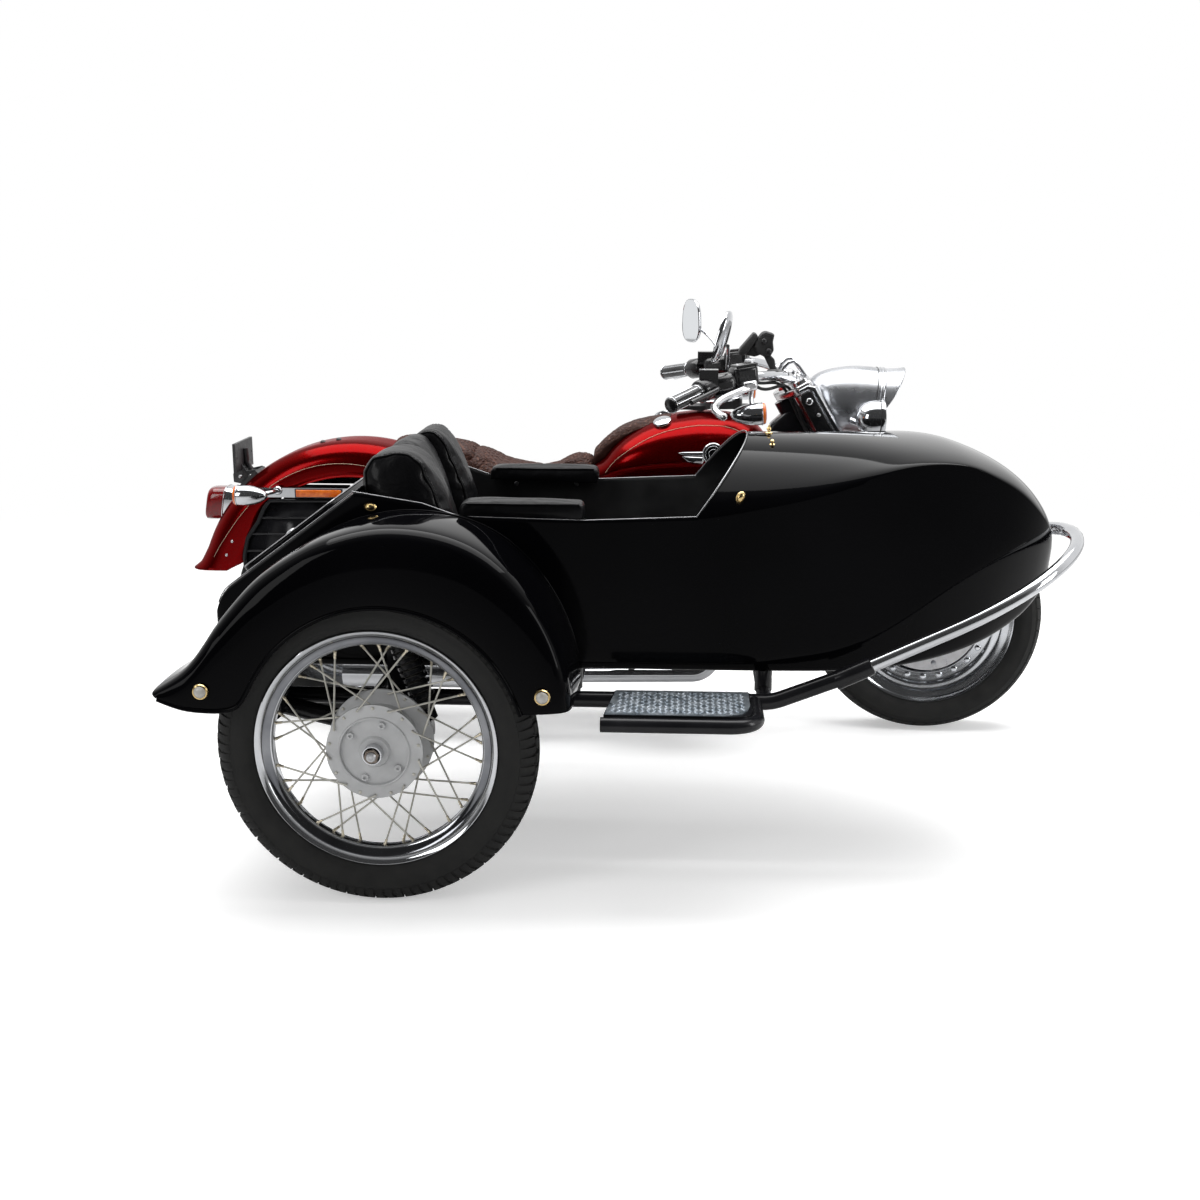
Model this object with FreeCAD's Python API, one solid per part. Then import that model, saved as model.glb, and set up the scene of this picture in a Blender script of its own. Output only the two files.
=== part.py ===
import FreeCAD, Part

import math
import os

# A sidecar motorcycle: a cruiser with a closed black sidecar on its right.
# Lengths are in mm.  While modelling, X = 0 at the rear axle (+X forward), Y = 0 on the
# motorcycle's centre plane (+Y to its left) and Z = 0 on the ground.  save() moves every
# piece so that the origin lies on the ground under the middle of the whole vehicle.

# ---------------------------------------------------------------- driving dimensions
WHEELBASE = 1640.0
REAR_TYRE_R = 326.0
REAR_TYRE_W = 150.0
REAR_RIM_R = 222.0
REAR_RIM_HALF_W = 52.0
FRONT_TYRE_R = 321.0
FRONT_TYRE_W = 136.0
FRONT_RIM_R = 232.0
FRONT_RIM_HALF_W = 48.0
RIM_LIP = 7.0              # height of the rim flange over the tyre's bead
RIM_LIP_T = 5.0
AXLE_R = 12.0
HUB_R = 36.0               # hubs of the motorcycle's wheels
PIN_GAP = 0.05             # radial clearance of a shaft in its bore
SEAT_GAP = 0.3             # gap between pieces of one body that rest on each other
RAKE = math.radians(29.5)  # steering axis from the vertical
FORK_OFFSET = 55.0         # fork line ahead of the steering axis
FORK_HALF_W = 113.0        # fork legs from the centre plane
FORK_LEG_R = 30.0
FORK_TUBE_R = 24.0
LUG_HALF = 32.0            # axle lugs at the feet of the fork legs
BAR_R = 11.5
GRIP_Y = 430.0             # outer ends of the grips
GRIP_L = 118.0
FRAME_TUBE_R = 17.0
FRAME_HALF_W = 118.0
RAIL_Z = 205.0             # lower frame rails

BODY_CENTRE_Y = -752.5     # middle of the sidecar body
BODY_HALF_W = 292.5
BODY_WALL = 6.0
BODY_FLOOR_Z = 442.0
CROWN_Z = 928.0
NOSE_X = 1790.0
TAIL_X = -62.0
LID_T = 12.0
SEAT_X = 258.0             # front face of the bulkhead behind the seat
BENCH_X = 790.0
BENCH_Z = 512.0            # top of the board under the cushion
LID_GAP = 1.0

CAR_WHEEL_X = 332.0
CAR_WHEEL_Y = -1249.0
CAR_TYRE_R = 335.6
CAR_TYRE_W = 92.0
CAR_RIM_R = 252.0
CAR_RIM_W = 64.0
CAR_HUB_R = 100.0
CAR_HUB_W = 92.0
CAR_AXLE_R = 10.0
SPOKE_R = 2.0
SPOKE_PAIRS = 9            # crossed pairs on each flange, two flanges
FENDER_OUTER_Y = -1336.0
FENDER_WALL = 4.0
CHASSIS_TUBE_R = 17.5
CHASSIS_Z = 394.0
CHASSIS_NEAR_Y = -1090.0
CHASSIS_FAR_Y = -420.0
BUMPER_R = 18.0

# The whole vehicle's middle, which becomes the origin.
MIDDLE_X = 757.0
MIDDLE_Y = -449.0

V = FreeCAD.Vector


# ---------------------------------------------------------------- shape helpers
def save(node, shape):
    """Write one node, moved to the vehicle's own origin."""
    moved = shape.copy()
    moved.translate(V(-MIDDLE_X, -MIDDLE_Y, 0))
    moved.exportStep("parts/" + node + ".step")


def outline(points, place):
    """Closed wire: (u, v) is a straight run to that point, (um, vm, u, v) an arc through
    the first pair to the second.  place(u, v) gives the point in space."""
    edges = []
    start = place(points[0][-2], points[0][-1])
    last = start
    for entry in points[1:] + [points[0][-2:]]:
        end = place(entry[-2], entry[-1])
        if len(entry) == 4:
            edges.append(Part.Arc(last, place(entry[0], entry[1]), end).toShape())
        elif (end - last).Length > 1e-6:
            edges.append(Part.makeLine(last, end))
        last = end
    return Part.Wire(edges)


def plate_y(points, y0, y1):
    """Side outline of (x, z) points, as a solid from y0 to y1."""
    wire = outline(points, lambda x, z: V(x, y0, z))
    return Part.Face(wire).extrude(V(0, y1 - y0, 0))


def plate_z(points, z0, z1):
    """Plan outline of (x, y) points, as a solid from z0 to z1."""
    wire = outline(points, lambda x, y: V(x, y, z0))
    return Part.Face(wire).extrude(V(0, 0, z1 - z0))


def plate_x(points, x0, x1):
    """End outline of (y, z) points, as a solid from x0 to x1."""
    wire = outline(points, lambda y, z: V(x0, y, z))
    return Part.Face(wire).extrude(V(x1 - x0, 0, 0))


def turned(profile, centre):
    """Profile of (radius, y) points, turned about the Y line through centre."""
    wire = outline(profile, lambda r, y: centre + V(r, y, 0))
    return Part.Face(wire).revolve(centre, V(0, 1, 0), 360)


def rod(start, end, radius):
    """Round bar from point to point."""
    return Part.makeCylinder(radius, (end - start).Length, start, end - start)


def pipe(points, radius, bend):
    """Bent tube: straight runs joined by arcs of radius bend."""
    path = []
    last = points[0]
    for before, corner, after in zip(points, points[1:], points[2:]):
        into = (corner - before).normalize()
        out = (after - corner).normalize()
        turn = into.getAngle(out)
        cut = bend * math.tan(turn / 2)
        a = corner - into * cut
        b = corner + out * cut
        inward = (out - into).normalize()
        middle = corner + inward * (bend / math.cos(turn / 2) - bend)
        path.append(Part.makeLine(last, a))
        path.append(Part.Arc(a, middle, b).toShape())
        last = b
    path.append(Part.makeLine(last, points[-1]))
    start_dir = points[1] - points[0]
    ring = Part.Wire(Part.makeCircle(radius, points[0], start_dir))
    return Part.Wire(path).makePipeShell([ring], True, True)


def join(shapes):
    """One solid from pieces that overlap."""
    fused = shapes[0].multiFuse(shapes[1:])
    return fused.removeSplitter()


def both_sides(shape):
    """A piece and its mirror image across the motorcycle's centre plane, as one node."""
    return Part.makeCompound([shape, shape.mirror(V(0, 0, 0), V(0, 1, 0))])


def box(x0, x1, y0, y1, z0, z1):
    return Part.makeBox(x1 - x0, y1 - y0, z1 - z0, V(x0, y0, z0))


REAR_AXLE = V(0, 0, REAR_TYRE_R)
FRONT_AXLE = V(WHEELBASE, 0, FRONT_TYRE_R)
CAR_AXLE = V(CAR_WHEEL_X, CAR_WHEEL_Y, CAR_TYRE_R)
STEER_DIR = V(-math.sin(RAKE), 0, math.cos(RAKE))
STEER_NORMAL = V(math.cos(RAKE), 0, math.sin(RAKE))
STEER_FOOT = FRONT_AXLE - STEER_NORMAL * FORK_OFFSET


def behind_axle(back, y, z):
    """Point of the front end, by its distance behind the front axle."""
    return V(FRONT_AXLE.x - back, y, z)


def on_fork(along, ahead=0.0, side=0.0):
    """Point at a distance up the fork line from the axle, ahead of it and to the side."""
    return FRONT_AXLE + STEER_DIR * along + STEER_NORMAL * ahead + V(0, side, 0)


def tyre(centre, outer_r, rim_r, width, rim_half):
    """Round-shouldered tyre whose beads sit between the rim's flanges."""
    half = width / 2
    bead = rim_half - RIM_LIP_T - SEAT_GAP
    over = rim_r + RIM_LIP + SEAT_GAP
    crown = outer_r - half * 0.30
    profile = [
        (rim_r, -bead),
        (over, -bead),
        (over + 1, -rim_half),
        ((over + crown) / 2, -half, crown, -half * 0.88),
        (outer_r, 0, crown, half * 0.88),
        ((over + crown) / 2, half, over + 1, rim_half),
        (over, bead),
        (rim_r, bead),
    ]
    return turned(profile, centre)


# ---------------------------------------------------------------- motorcycle, running gear
def motorcycle_frame():
    """Double-cradle tube frame with its steering head and the swingarm plates."""
    head_low = STEER_FOOT + STEER_DIR * (CLAMP_LOW + CLAMP_LOW_T + HEAD_GAP)
    head_top = STEER_FOOT + STEER_DIR * (CLAMP_TOP - HEAD_GAP)
    head = rod(head_low, head_top, 34)
    bore = rod(head_low - STEER_DIR * 5, head_top + STEER_DIR * 5, STEM_R + PIN_GAP)
    neck = STEER_FOOT + STEER_DIR * 625
    spine = pipe([neck, behind_axle(520, 0, 745), V(560, 0, 655), V(250, 0, 655)], 20, 120)
    sides = []
    for y in (-FRAME_HALF_W, FRAME_HALF_W):
        run = [
            head_low + STEER_DIR * 60,
            head_low + STEER_DIR * 8 - STEER_NORMAL * 88 + V(0, y * 0.3, 0),
            behind_axle(460, y, 420),
            behind_axle(480, y, RAIL_Z),
            V(540, y, RAIL_Z),
            V(455, y, 420),
            V(430, y, 560),
            V(380, 0, 655),
        ]
        sides.append(pipe(run, FRAME_TUBE_R, 45))
        sides.append(box(440, 520, y - 12, y + 12, 250, 420))
    for x in (700.0, 1000.0):
        rest_z = ENGINE_BOTTOM - SEAT_GAP - 12
        sides.append(rod(V(x, -FRAME_HALF_W, rest_z), V(x, FRAME_HALF_W, rest_z), 12))
    fender_half = REAR_FENDER_HALF_W - REAR_FENDER_WALL - SEAT_GAP
    sides.append(rod(V(235, -fender_half, 655), V(235, fender_half, 655), 16))
    tank_half = TUNNEL_HALF_W - SEAT_GAP
    sides.append(rod(V(740, 0, 684), V(740, 0, 736), 10))
    for x, z in ((740.0, 730.0), (1120.0, 760.0)):
        sides.append(rod(V(x, -tank_half, z), V(x, tank_half, z), 10))
    tube = join([head, spine, side_stand_pin()] + sides)
    return tube.cut(bore)


SWINGARM_Y = 134.0
SWINGARM_PIVOT = V(480.0, 0.0, 290.0)


def swingarm():
    """Triangular rear swingarm whose ends hold the rear axle."""
    arms = []
    for y in (-SWINGARM_Y, SWINGARM_Y):
        run = [
            V(470, y * 0.45, 290),
            V(425, y * 0.5, 290),
            V(372, y, 290),
            V(200, y, 300),
            V(40, y, REAR_TYRE_R),
        ]
        low = pipe(run, 17, 60)
        top = pipe([V(330, y, 560), V(180, y, 470), V(20, y, REAR_TYRE_R + 18)], 13, 60)
        post = rod(V(372, y, 290), V(330, y, 562), 15)
        end = rod(V(0, y - 11, REAR_TYRE_R), V(0, y + 11, REAR_TYRE_R), 42)
        arms.append(join([low, top, post, end]))
    cross = rod(V(385, -SWINGARM_Y, 290), V(385, SWINGARM_Y, 290), 20)
    cross_top = rod(V(330, -SWINGARM_Y, 560), V(330, SWINGARM_Y, 560), 15)
    reach = V(0, FRAME_HALF_W - FRAME_TUBE_R - SEAT_GAP, 0)
    pivot = rod(SWINGARM_PIVOT - reach, SWINGARM_PIVOT + reach, 26)
    caliper = box(96, 176, -SWINGARM_Y + 10, -56, REAR_TYRE_R - 22, REAR_TYRE_R + 62)
    slot = turned([(80, -84), (146, -84), (146, -67), (80, -67)], REAR_AXLE)
    hole = rod(V(0, -200, REAR_TYRE_R), V(0, 200, REAR_TYRE_R), AXLE_R + SEAT_GAP)
    arm = join(arms + [cross, cross_top, pivot, caliper])
    return arm.cut(slot).cut(hole)


def rear_axle():
    """Axle bolt with its head and nut outside the swingarm."""
    face = SWINGARM_Y + 11
    bolt = rod(V(0, -face - 20, REAR_TYRE_R), V(0, face + 20, REAR_TYRE_R), AXLE_R)
    heads = []
    for y in (-face - 18, face):
        heads.append(rod(V(0, y, REAR_TYRE_R), V(0, y + 18, REAR_TYRE_R), 21))
    return join([bolt] + heads)


REAR_HUB_HALF = 104.0
FRONT_HUB_HALF = 62.0


def disc_wheel(centre, rim_r, half, hub_half):
    """Solid disc wheel: flanged rim, stepped dish and hub, bored for its axle."""
    bore = AXLE_R + PIN_GAP
    seat = rim_r - SEAT_GAP
    profile = [
        (bore, -hub_half),
        (HUB_R, -hub_half),
        (HUB_R, -18),
        (rim_r * 0.66, -14),
        (rim_r * 0.72, -20),
        (rim_r - 26, -20),
        (rim_r - 20, -half + 8),
        (rim_r + RIM_LIP, -half),
        (rim_r + RIM_LIP, -half + RIM_LIP_T),
        (seat, -half + RIM_LIP_T),
        (seat, half - RIM_LIP_T),
        (rim_r + RIM_LIP, half - RIM_LIP_T),
        (rim_r + RIM_LIP, half),
        (rim_r - 20, half - 8),
        (rim_r - 26, 20),
        (rim_r * 0.72, 20),
        (rim_r * 0.66, 14),
        (HUB_R, 18),
        (HUB_R, hub_half),
        (bore, hub_half),
    ]
    return turned(profile, centre)


def brake_disc(centre, y, outer_r, inner_r, carrier_r):
    """Brake rotor 5 mm thick on a carrier that reaches in to the hub."""
    ring = [(carrier_r, y), (outer_r, y), (outer_r, y + 5), (carrier_r, y + 5)]
    disc = turned(ring, centre)
    for k in range(8):
        a = math.radians(45 * k + 10)
        middle = (outer_r + inner_r) / 2
        hole = centre + V(middle * math.cos(a), y - 5, middle * math.sin(a))
        disc = disc.cut(Part.makeCylinder(7, 20, hole, V(0, 1, 0)))
    return disc


BELT_W = 20.0
BELT_CLEAR = 1.0           # from the belt's outer edge to the frame tubes
BELT_Y = FRAME_HALF_W - FRAME_TUBE_R - BELT_CLEAR - BELT_W
PULLEY_R = 118.0
FRONT_PULLEY = V(575.0, 0.0, 310.0)
FRONT_PULLEY_R = 44.0


def rear_tyre():
    return tyre(REAR_AXLE, REAR_TYRE_R, REAR_RIM_R, REAR_TYRE_W, REAR_RIM_HALF_W)


def front_tyre():
    return tyre(FRONT_AXLE, FRONT_TYRE_R, FRONT_RIM_R, FRONT_TYRE_W, FRONT_RIM_HALF_W)


def rear_wheel_disc():
    return disc_wheel(REAR_AXLE, REAR_RIM_R, REAR_RIM_HALF_W, REAR_HUB_HALF)


def front_wheel_disc():
    return disc_wheel(FRONT_AXLE, FRONT_RIM_R, FRONT_RIM_HALF_W, FRONT_HUB_HALF)


def front_brake_disc():
    return brake_disc(FRONT_AXLE, -50, 145, 105, HUB_R + SEAT_GAP)


def rear_pulley():
    """Belt pulley on the left of the rear wheel and brake disc on its right."""
    y = BELT_Y
    inner = [
        (HUB_R + SEAT_GAP, y - 18),
        (PULLEY_R - 12, y - 4),
        (PULLEY_R, y - 2),
        (PULLEY_R, y + BELT_W + 2),
        (PULLEY_R - 8, y + BELT_W + 2),
        (PULLEY_R - 16, y + 6),
        (HUB_R + SEAT_GAP, y - 8),
    ]
    pulley = turned(inner, REAR_AXLE)
    disc = brake_disc(REAR_AXLE, -78, 140, 100, HUB_R + SEAT_GAP)
    return Part.makeCompound([pulley, disc])


def drive_belt():
    """Toothed belt in one closed loop between the engine and the rear pulley."""
    rear_r = PULLEY_R + 0.6
    front_r = FRONT_PULLEY_R + 0.6
    front = FRONT_PULLEY
    thick = 8

    def loop(extra):
        a = REAR_AXLE
        rr = rear_r + extra
        rf = front_r + extra
        span = front - a
        lean = math.atan2(span.z, span.x)
        spread = math.acos((rr - rf) / span.Length)
        up = lean + spread
        down = lean - spread
        pts = [
            (a.x + rr * math.cos(down), a.z + rr * math.sin(down)),
            (front.x + rf * math.cos(down), front.z + rf * math.sin(down)),
            (
                front.x + rf * math.cos(lean),
                front.z + rf * math.sin(lean),
                front.x + rf * math.cos(up),
                front.z + rf * math.sin(up),
            ),
            (a.x + rr * math.cos(up), a.z + rr * math.sin(up)),
            (
                a.x - rr * math.cos(lean),
                a.z - rr * math.sin(lean),
                a.x + rr * math.cos(down),
                a.z + rr * math.sin(down),
            ),
        ]
        return pts[1:]

    outer = plate_y(loop(thick), BELT_Y, BELT_Y + BELT_W)
    inner = plate_y(loop(0), BELT_Y - 10, BELT_Y + BELT_W + 10)
    return outer.cut(inner)


def arch(centre, radius, wall, half_w, corner, start_deg, end_deg, depth):
    """Fender: a rounded channel swept round a wheel, from one angle to another.
    Angles are measured from +X up towards +Z."""
    r_in = radius - wall
    profile = [
        (radius - depth, -half_w),
        (radius - corner, -half_w),
        (radius - corner * 0.29, -half_w + corner * 0.29, radius, -half_w + corner),
        (radius, half_w - corner),
        (radius - corner * 0.29, half_w - corner * 0.29, radius - corner, half_w),
        (radius - depth, half_w),
        (radius - depth, half_w - wall),
        (radius - corner, half_w - wall),
        (
            r_in - corner * 0.26,
            half_w - wall - corner * 0.26,
            r_in,
            half_w - corner,
        ),
        (r_in, -half_w + corner),
        (
            r_in - corner * 0.26,
            -half_w + wall + corner * 0.26,
            radius - corner,
            -half_w + wall,
        ),
        (radius - depth, -half_w + wall),
    ]
    start = math.radians(start_deg)
    ux = math.cos(start)
    uz = math.sin(start)
    wire = outline(profile, lambda r, y: centre + V(r * ux, y, r * uz))
    return Part.Face(wire).revolve(centre, V(0, -1, 0), end_deg - start_deg)


REAR_FENDER_R = 446.0
REAR_FENDER_HALF_W = 118.0
REAR_FENDER_WALL = 4.0
REAR_FENDER_CENTRE = REAR_AXLE + V(38, 0, 40)


def rear_fender():
    """Deep-sided steel fender from under the seat to its kicked-up tail."""
    centre = REAR_FENDER_CENTRE
    shell = arch(
        centre, REAR_FENDER_R, REAR_FENDER_WALL, REAR_FENDER_HALF_W, 60, 50, 168, 90
    )
    notch = plate_y([(-280, 380), (-205, 640), (60, 640), (60, 380)], -200, 200)
    hem = box(-500, -200, -200, 200, 380, 461)
    shell = shell.cut(notch).cut(hem)
    kick = [(-384, 500), (-391, 500), (-404, 472), (-446, 444), (-443, 438), (-396, 466)]
    lip = plate_y(kick, -REAR_FENDER_HALF_W + 40, REAR_FENDER_HALF_W - 40)
    bolts = []
    for x in (-57.0, -12.0):
        rise = math.sqrt((REAR_FENDER_R - 1) ** 2 - (x - centre.x) ** 2)
        bolts.append(rod(V(x, 0, centre.z + rise - 6), V(x, 0, centre.z + rise + 8), 8))
    return join([shell, lip] + bolts)


def fender_space():
    """Space kept for the rear fender's crown under what sits on it."""
    reach = V(0, 200, 0)
    return rod(REAR_FENDER_CENTRE - reach, REAR_FENDER_CENTRE + reach, REAR_FENDER_R + SEAT_GAP)


def fender_rails():
    """Chrome strut rail along each side of the rear fender."""
    y = REAR_FENDER_HALF_W + SEAT_GAP
    points = [(-215, 664), (-215, 690), (300, 690), (330, 640), (330, 610), (280, 664)]
    rail = plate_y(points, y, y + 12)
    return both_sides(rail)


def rear_lamps():
    """Tail lamp on its base behind the fender, and the two rear indicators."""
    side = [(-396, 570), (-396, 668), (-392, 677, -384, 681), (-298, 681), (-298, 570)]
    tail = plate_y(side, -45, 45)
    tail = tail.cut(fender_space())
    lamps = [tail]
    for side in (-1, 1):
        y = side * 200
        arm = rod(
            V(-190, side * (REAR_FENDER_HALF_W + 12 + SEAT_GAP), 677), V(-190, y, 677), 8
        )
        shell = Part.makeCone(28, 9, 62, V(-236, y, 680), V(1, 0, 0))
        glass = Part.makeSphere(27.5, V(-236, y, 680))
        lamps.append(join([arm, shell, glass]))
    return Part.makeCompound(lamps)


PLATE_HALF_W = 85.0
PLATE_HOLE_Y = 73.0        # number-plate holes, 146 mm apart
PLATE_HOLE_R = 3.25
PLATE_HOLE_UP = 66.0


def plate_bracket():
    """Black number-plate holder that stands on the fender above the tail lamp."""
    a = math.radians(132)
    out = V(math.cos(a), 0, math.sin(a))
    foot = REAR_FENDER_CENTRE + out * (REAR_FENDER_R + SEAT_GAP)
    pad = Part.makeBox(60, 90, 10, V(-30, -45, 0))
    pad.Placement = FreeCAD.Placement(foot, FreeCAD.Rotation(V(0, 0, 1), out))
    arm = pipe([foot + out * 6, foot + V(-20, 0, 46), foot + V(-22, 0, 84)], 8, 20)
    plate = box(foot.x - 34, foot.x - 26, -PLATE_HALF_W, PLATE_HALF_W, foot.z + 26, foot.z + 106)
    bracket = join([pad, arm, plate])
    for y in (-PLATE_HOLE_Y, PLATE_HOLE_Y):
        hole = V(foot.x - 60, y, foot.z + PLATE_HOLE_UP)
        bracket = bracket.cut(rod(hole, hole + V(50, 0, 0), PLATE_HOLE_R))
    return bracket


# ---------------------------------------------------------------- engine
def engine_case():
    """Crankcase and gearbox in one block, with the cam cover on its right."""
    side = [
        (530, ENGINE_BOTTOM),
        (1010, ENGINE_BOTTOM),
        (1060, 290),
        (1040, 400),
        (930, CASE_TOP),
        (760, CASE_TOP),
        (560, 400),
        (530, 360),
    ]
    y = ENGINE_HALF_W
    block = plate_y(side, -y, y)
    cam_cover = rod(V(900, -y, 320), V(900, -y - 40, 320), 88)
    shaft = rod(FRONT_PULLEY + V(0, 40, 0), FRONT_PULLEY + V(0, BELT_Y + BELT_W, 0), 20)
    sprocket = rod(
        FRONT_PULLEY + V(0, BELT_Y, 0), FRONT_PULLEY + V(0, BELT_Y + BELT_W, 0), FRONT_PULLEY_R
    )
    return join([block, cam_cover, shaft, sprocket])


ENGINE_HALF_W = 76.0
CASE_TOP = 430.0
ENGINE_BOTTOM = 215.0
CYLINDERS = (  # foot x, lean from the vertical in degrees
    (950.0, 22.5),
    (830.0, -22.5),
)


def engine_cylinders():
    """Two finned cylinders in a V, each with its head and rocker cover."""
    made = []
    for foot_x, lean in CYLINDERS:
        a = math.radians(lean)
        up = V(math.sin(a), 0, math.cos(a))
        foot = V(foot_x, 0, CASE_TOP + 2)
        pieces = [rod(foot - up * 8, foot + up * 232, 50)]
        for k in range(9):
            pieces.append(rod(foot + up * (14 + 18 * k), foot + up * (21 + 18 * k), 74))
        pieces.append(rod(foot + up * 178, foot + up * 226, 72))
        made.append(join(pieces))
    case_top = CASE_TOP + SEAT_GAP
    middle = (CYLINDERS[0][0] + CYLINDERS[1][0]) / 2
    front = made[0].common(box(middle + 3, 1300, -200, 200, case_top, 800))
    rear = made[1].common(box(500, middle - 3, -200, 200, case_top, 800))
    return Part.makeCompound([front, rear])


def primary_cover():
    """Long polished cover over the primary drive on the left."""
    y = ENGINE_HALF_W + SEAT_GAP
    cover = plate_y(
        [(665, 250), (640, 325, 665, 400), (900, 410), (1010, 320, 900, 232)], y, y + 60
    )
    return cover


def air_cleaner():
    """Round air cleaner on the right of the cylinders."""
    y = -74
    stem = rod(V(890, 20, 560), V(890, y - 10, 560), 28)
    manifold = rod(V(830, 0, 560), V(950, 0, 560), 20)
    can = rod(V(890, y - 10, 560), V(890, y - 58, 560), 86)
    can = can.makeFillet(10, [e for e in can.Edges if abs(e.BoundBox.YMin - (y - 58)) < 1])
    cleaner = join([stem, manifold, can])
    for shift in (-0.4, 0.0, 0.4):
        engine = engine_cylinders()
        engine.translate(V(shift, 0, 0))
        cleaner = cleaner.cut(engine)
    return max(cleaner.Solids, key=lambda one: one.Volume)


PIPE_R = 22.0
MUFFLER_R = 40.0


def exhaust_system():
    """Two header pipes that run back on the right into staggered mufflers."""
    # columns: header start, bend point, muffler start, muffler end
    runs = (
        (V(1007, -74.3, 571), V(1007, -155, 571), V(1050, -172, 190), V(560, -205, 190), 25.0),
        (V(773, -74.3, 571), V(773, -155, 571), V(645, -195, 305), V(470, -205, 300), 160.0),
    )
    made = []
    for port, bend, low, start, tip_x in runs:
        header = pipe([port, bend, low, start], PIPE_R, 60)
        can = rod(start + V(10, 0, 0), V(tip_x, start.y, start.z), MUFFLER_R)
        bore = rod(V(tip_x + 60, start.y, start.z), V(tip_x - 5, start.y, start.z), 32)
        made.append(join([header, can]).cut(bore))
    return Part.makeCompound(made)


# ---------------------------------------------------------------- motorcycle, bodywork
TANK_HALF_W = 158.0
TANK_BOTTOM = 690.0
TUNNEL_HALF_W = 40.0


def fuel_tank():
    """Teardrop tank over the frame's spine, with a tunnel under its middle."""
    side = [
        (660, TANK_BOTTOM + 20),
        (735, 770),
        (800, 848, 1000, 897),
        (1125, 890, 1195, 800),
        (1190, 770),
        (1165, TANK_BOTTOM + 20),
    ]
    tall = plate_y(side, -TANK_HALF_W, TANK_HALF_W)
    plan = [
        (640, -70),
        (800, -150, 1000, -TANK_HALF_W),
        (1160, -130, 1230, -60),
        (1230, 60),
        (1160, 130, 1000, TANK_HALF_W),
        (800, 150, 640, 70),
    ]
    body = tall.common(plate_z(plan, 600, 950))
    end = [
        (-TANK_HALF_W - 1, 600),
        (-TANK_HALF_W - 1, 790),
        (-TANK_HALF_W * 0.72, 875, -60, 905),
        (60, 905),
        (TANK_HALF_W * 0.72, 875, TANK_HALF_W + 1, 790),
        (TANK_HALF_W + 1, 600),
    ]
    body = body.common(plate_x(end, 600, 1260))
    w = TUNNEL_HALF_W
    tunnel = plate_x([(-w, 600), (-w, 822), (w, 822), (w, 600)], 600, 1260)
    return body.cut(tunnel)


def tank_console():
    """Console along the top of the tank, with the speed dial's rim."""
    bridge = box(930, 1130, -38, 38, 860, 912)
    dial = rod(V(1055, 0, 870), V(1055, 0, 928), 58)
    tank = fuel_tank()
    tank.translate(V(0, 0, SEAT_GAP))
    below = box(600, 1300, -200, 200, 700, 880)
    return join([bridge, dial]).cut(tank).cut(below)


def rider_seat():
    """Low two-step saddle between tank and fender."""
    side = [
        (380, 796),
        (380, 700),
        (655, 680),
        (700, 720),
        (716, 772),
        (692, 791, 662, 786),
        (562, 724, 462, 746),
        (426, 776, 380, 796),
    ]
    plan = [
        (340, -110),
        (480, -165, 640, -95),
        (730, -60),
        (730, 60),
        (640, 95),
        (480, 165, 340, 110),
    ]
    pad = plate_y(side, -170, 170).common(plate_z(plan, 600, 900))
    channel = plate_y([(200, 600), (200, 675.5), (560, 675.8), (800, 714.5), (800, 600)], -26, 26)
    pad = pad.cut(channel)
    for shift in (V(0, 0, 0), V(-0.4, 0, 0.4), V(0, 0, -0.4)):
        tank = fuel_tank()
        tank.translate(shift)
        pad = pad.cut(tank)
    return pad


def pillion_seat():
    """Pad on the crown of the rear fender, behind the saddle."""
    side = [(130, 776), (130, 811), (178, 819, 240, 820), (376, 797), (376, 700), (240, 700)]
    pad = plate_y(side, -104, 104)
    return pad.cut(fender_space())


def side_covers():
    """Rounded tank and battery covers under the saddle, one each side."""
    cover = plate_y(
        [(400, 440), (560, 440), (600, 500), (590, 640), (420, 650), (385, 560)],
        FRAME_HALF_W + FRAME_TUBE_R + SEAT_GAP,
        FRAME_HALF_W + FRAME_TUBE_R + 36,
    )
    return both_sides(cover)


def rider_footboards():
    """Half-moon footboards on brackets from the lower frame rails."""
    inner = FRAME_HALF_W + FRAME_TUBE_R
    plan = [
        (780, inner + 72),
        (1030, inner + 72),
        (1066, inner + 110, 1030, inner + 170),
        (820, inner + 170),
        (762, inner + 130, 780, inner + 72),
    ]
    board = plate_z(plan, 262, 276)
    arms = []
    for x in (820.0, 940.0):
        arms.append(rod(V(x, inner - 17, 205), V(x, inner + 92, 262), 9))
    left = join([board] + arms)
    rail = rod(V(500, FRAME_HALF_W, 205), V(1200, FRAME_HALF_W, 205), FRAME_TUBE_R + 0.2)
    left = left.cut(rail)
    return both_sides(left)


STAND_PIVOT = V(640.0, 150.0, 205.0)
STAND_GAP = 1.0
STAND_LEG = 170.0
STAND_PIN_R = 8.0


def side_stand():
    """Side stand leg, folded back along the left of the frame."""
    at = STAND_PIVOT
    eye = rod(at, at + V(0, 14, 0), 20)
    eye = eye.cut(rod(at - V(0, 9, 0), at + V(0, 30, 0), STAND_PIN_R + PIN_GAP))
    leg = pipe(
        [at + V(-14, 7, 0), at + V(-STAND_LEG * 0.6, 10, 0), at + V(-STAND_LEG, 34, -4)], 7, 60
    )
    foot = box(
        at.x - STAND_LEG - 18, at.x - STAND_LEG + 26, at.y + 14, at.y + 58, at.z - 10, at.z - 2
    )
    return join([eye, leg, foot])


def side_stand_pin():
    """Pivot stud of the side stand, with its head, standing out of the frame rail."""
    foot = V(STAND_PIVOT.x, FRAME_HALF_W, STAND_PIVOT.z)
    stud = rod(foot, STAND_PIVOT + V(0, 22, 0), STAND_PIN_R)
    collar = rod(foot, STAND_PIVOT - V(0, STAND_GAP, 0), 15)
    head = rod(STAND_PIVOT + V(0, 14 + STAND_GAP, 0), STAND_PIVOT + V(0, 22, 0), 15)
    return join([stud, collar, head])


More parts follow.
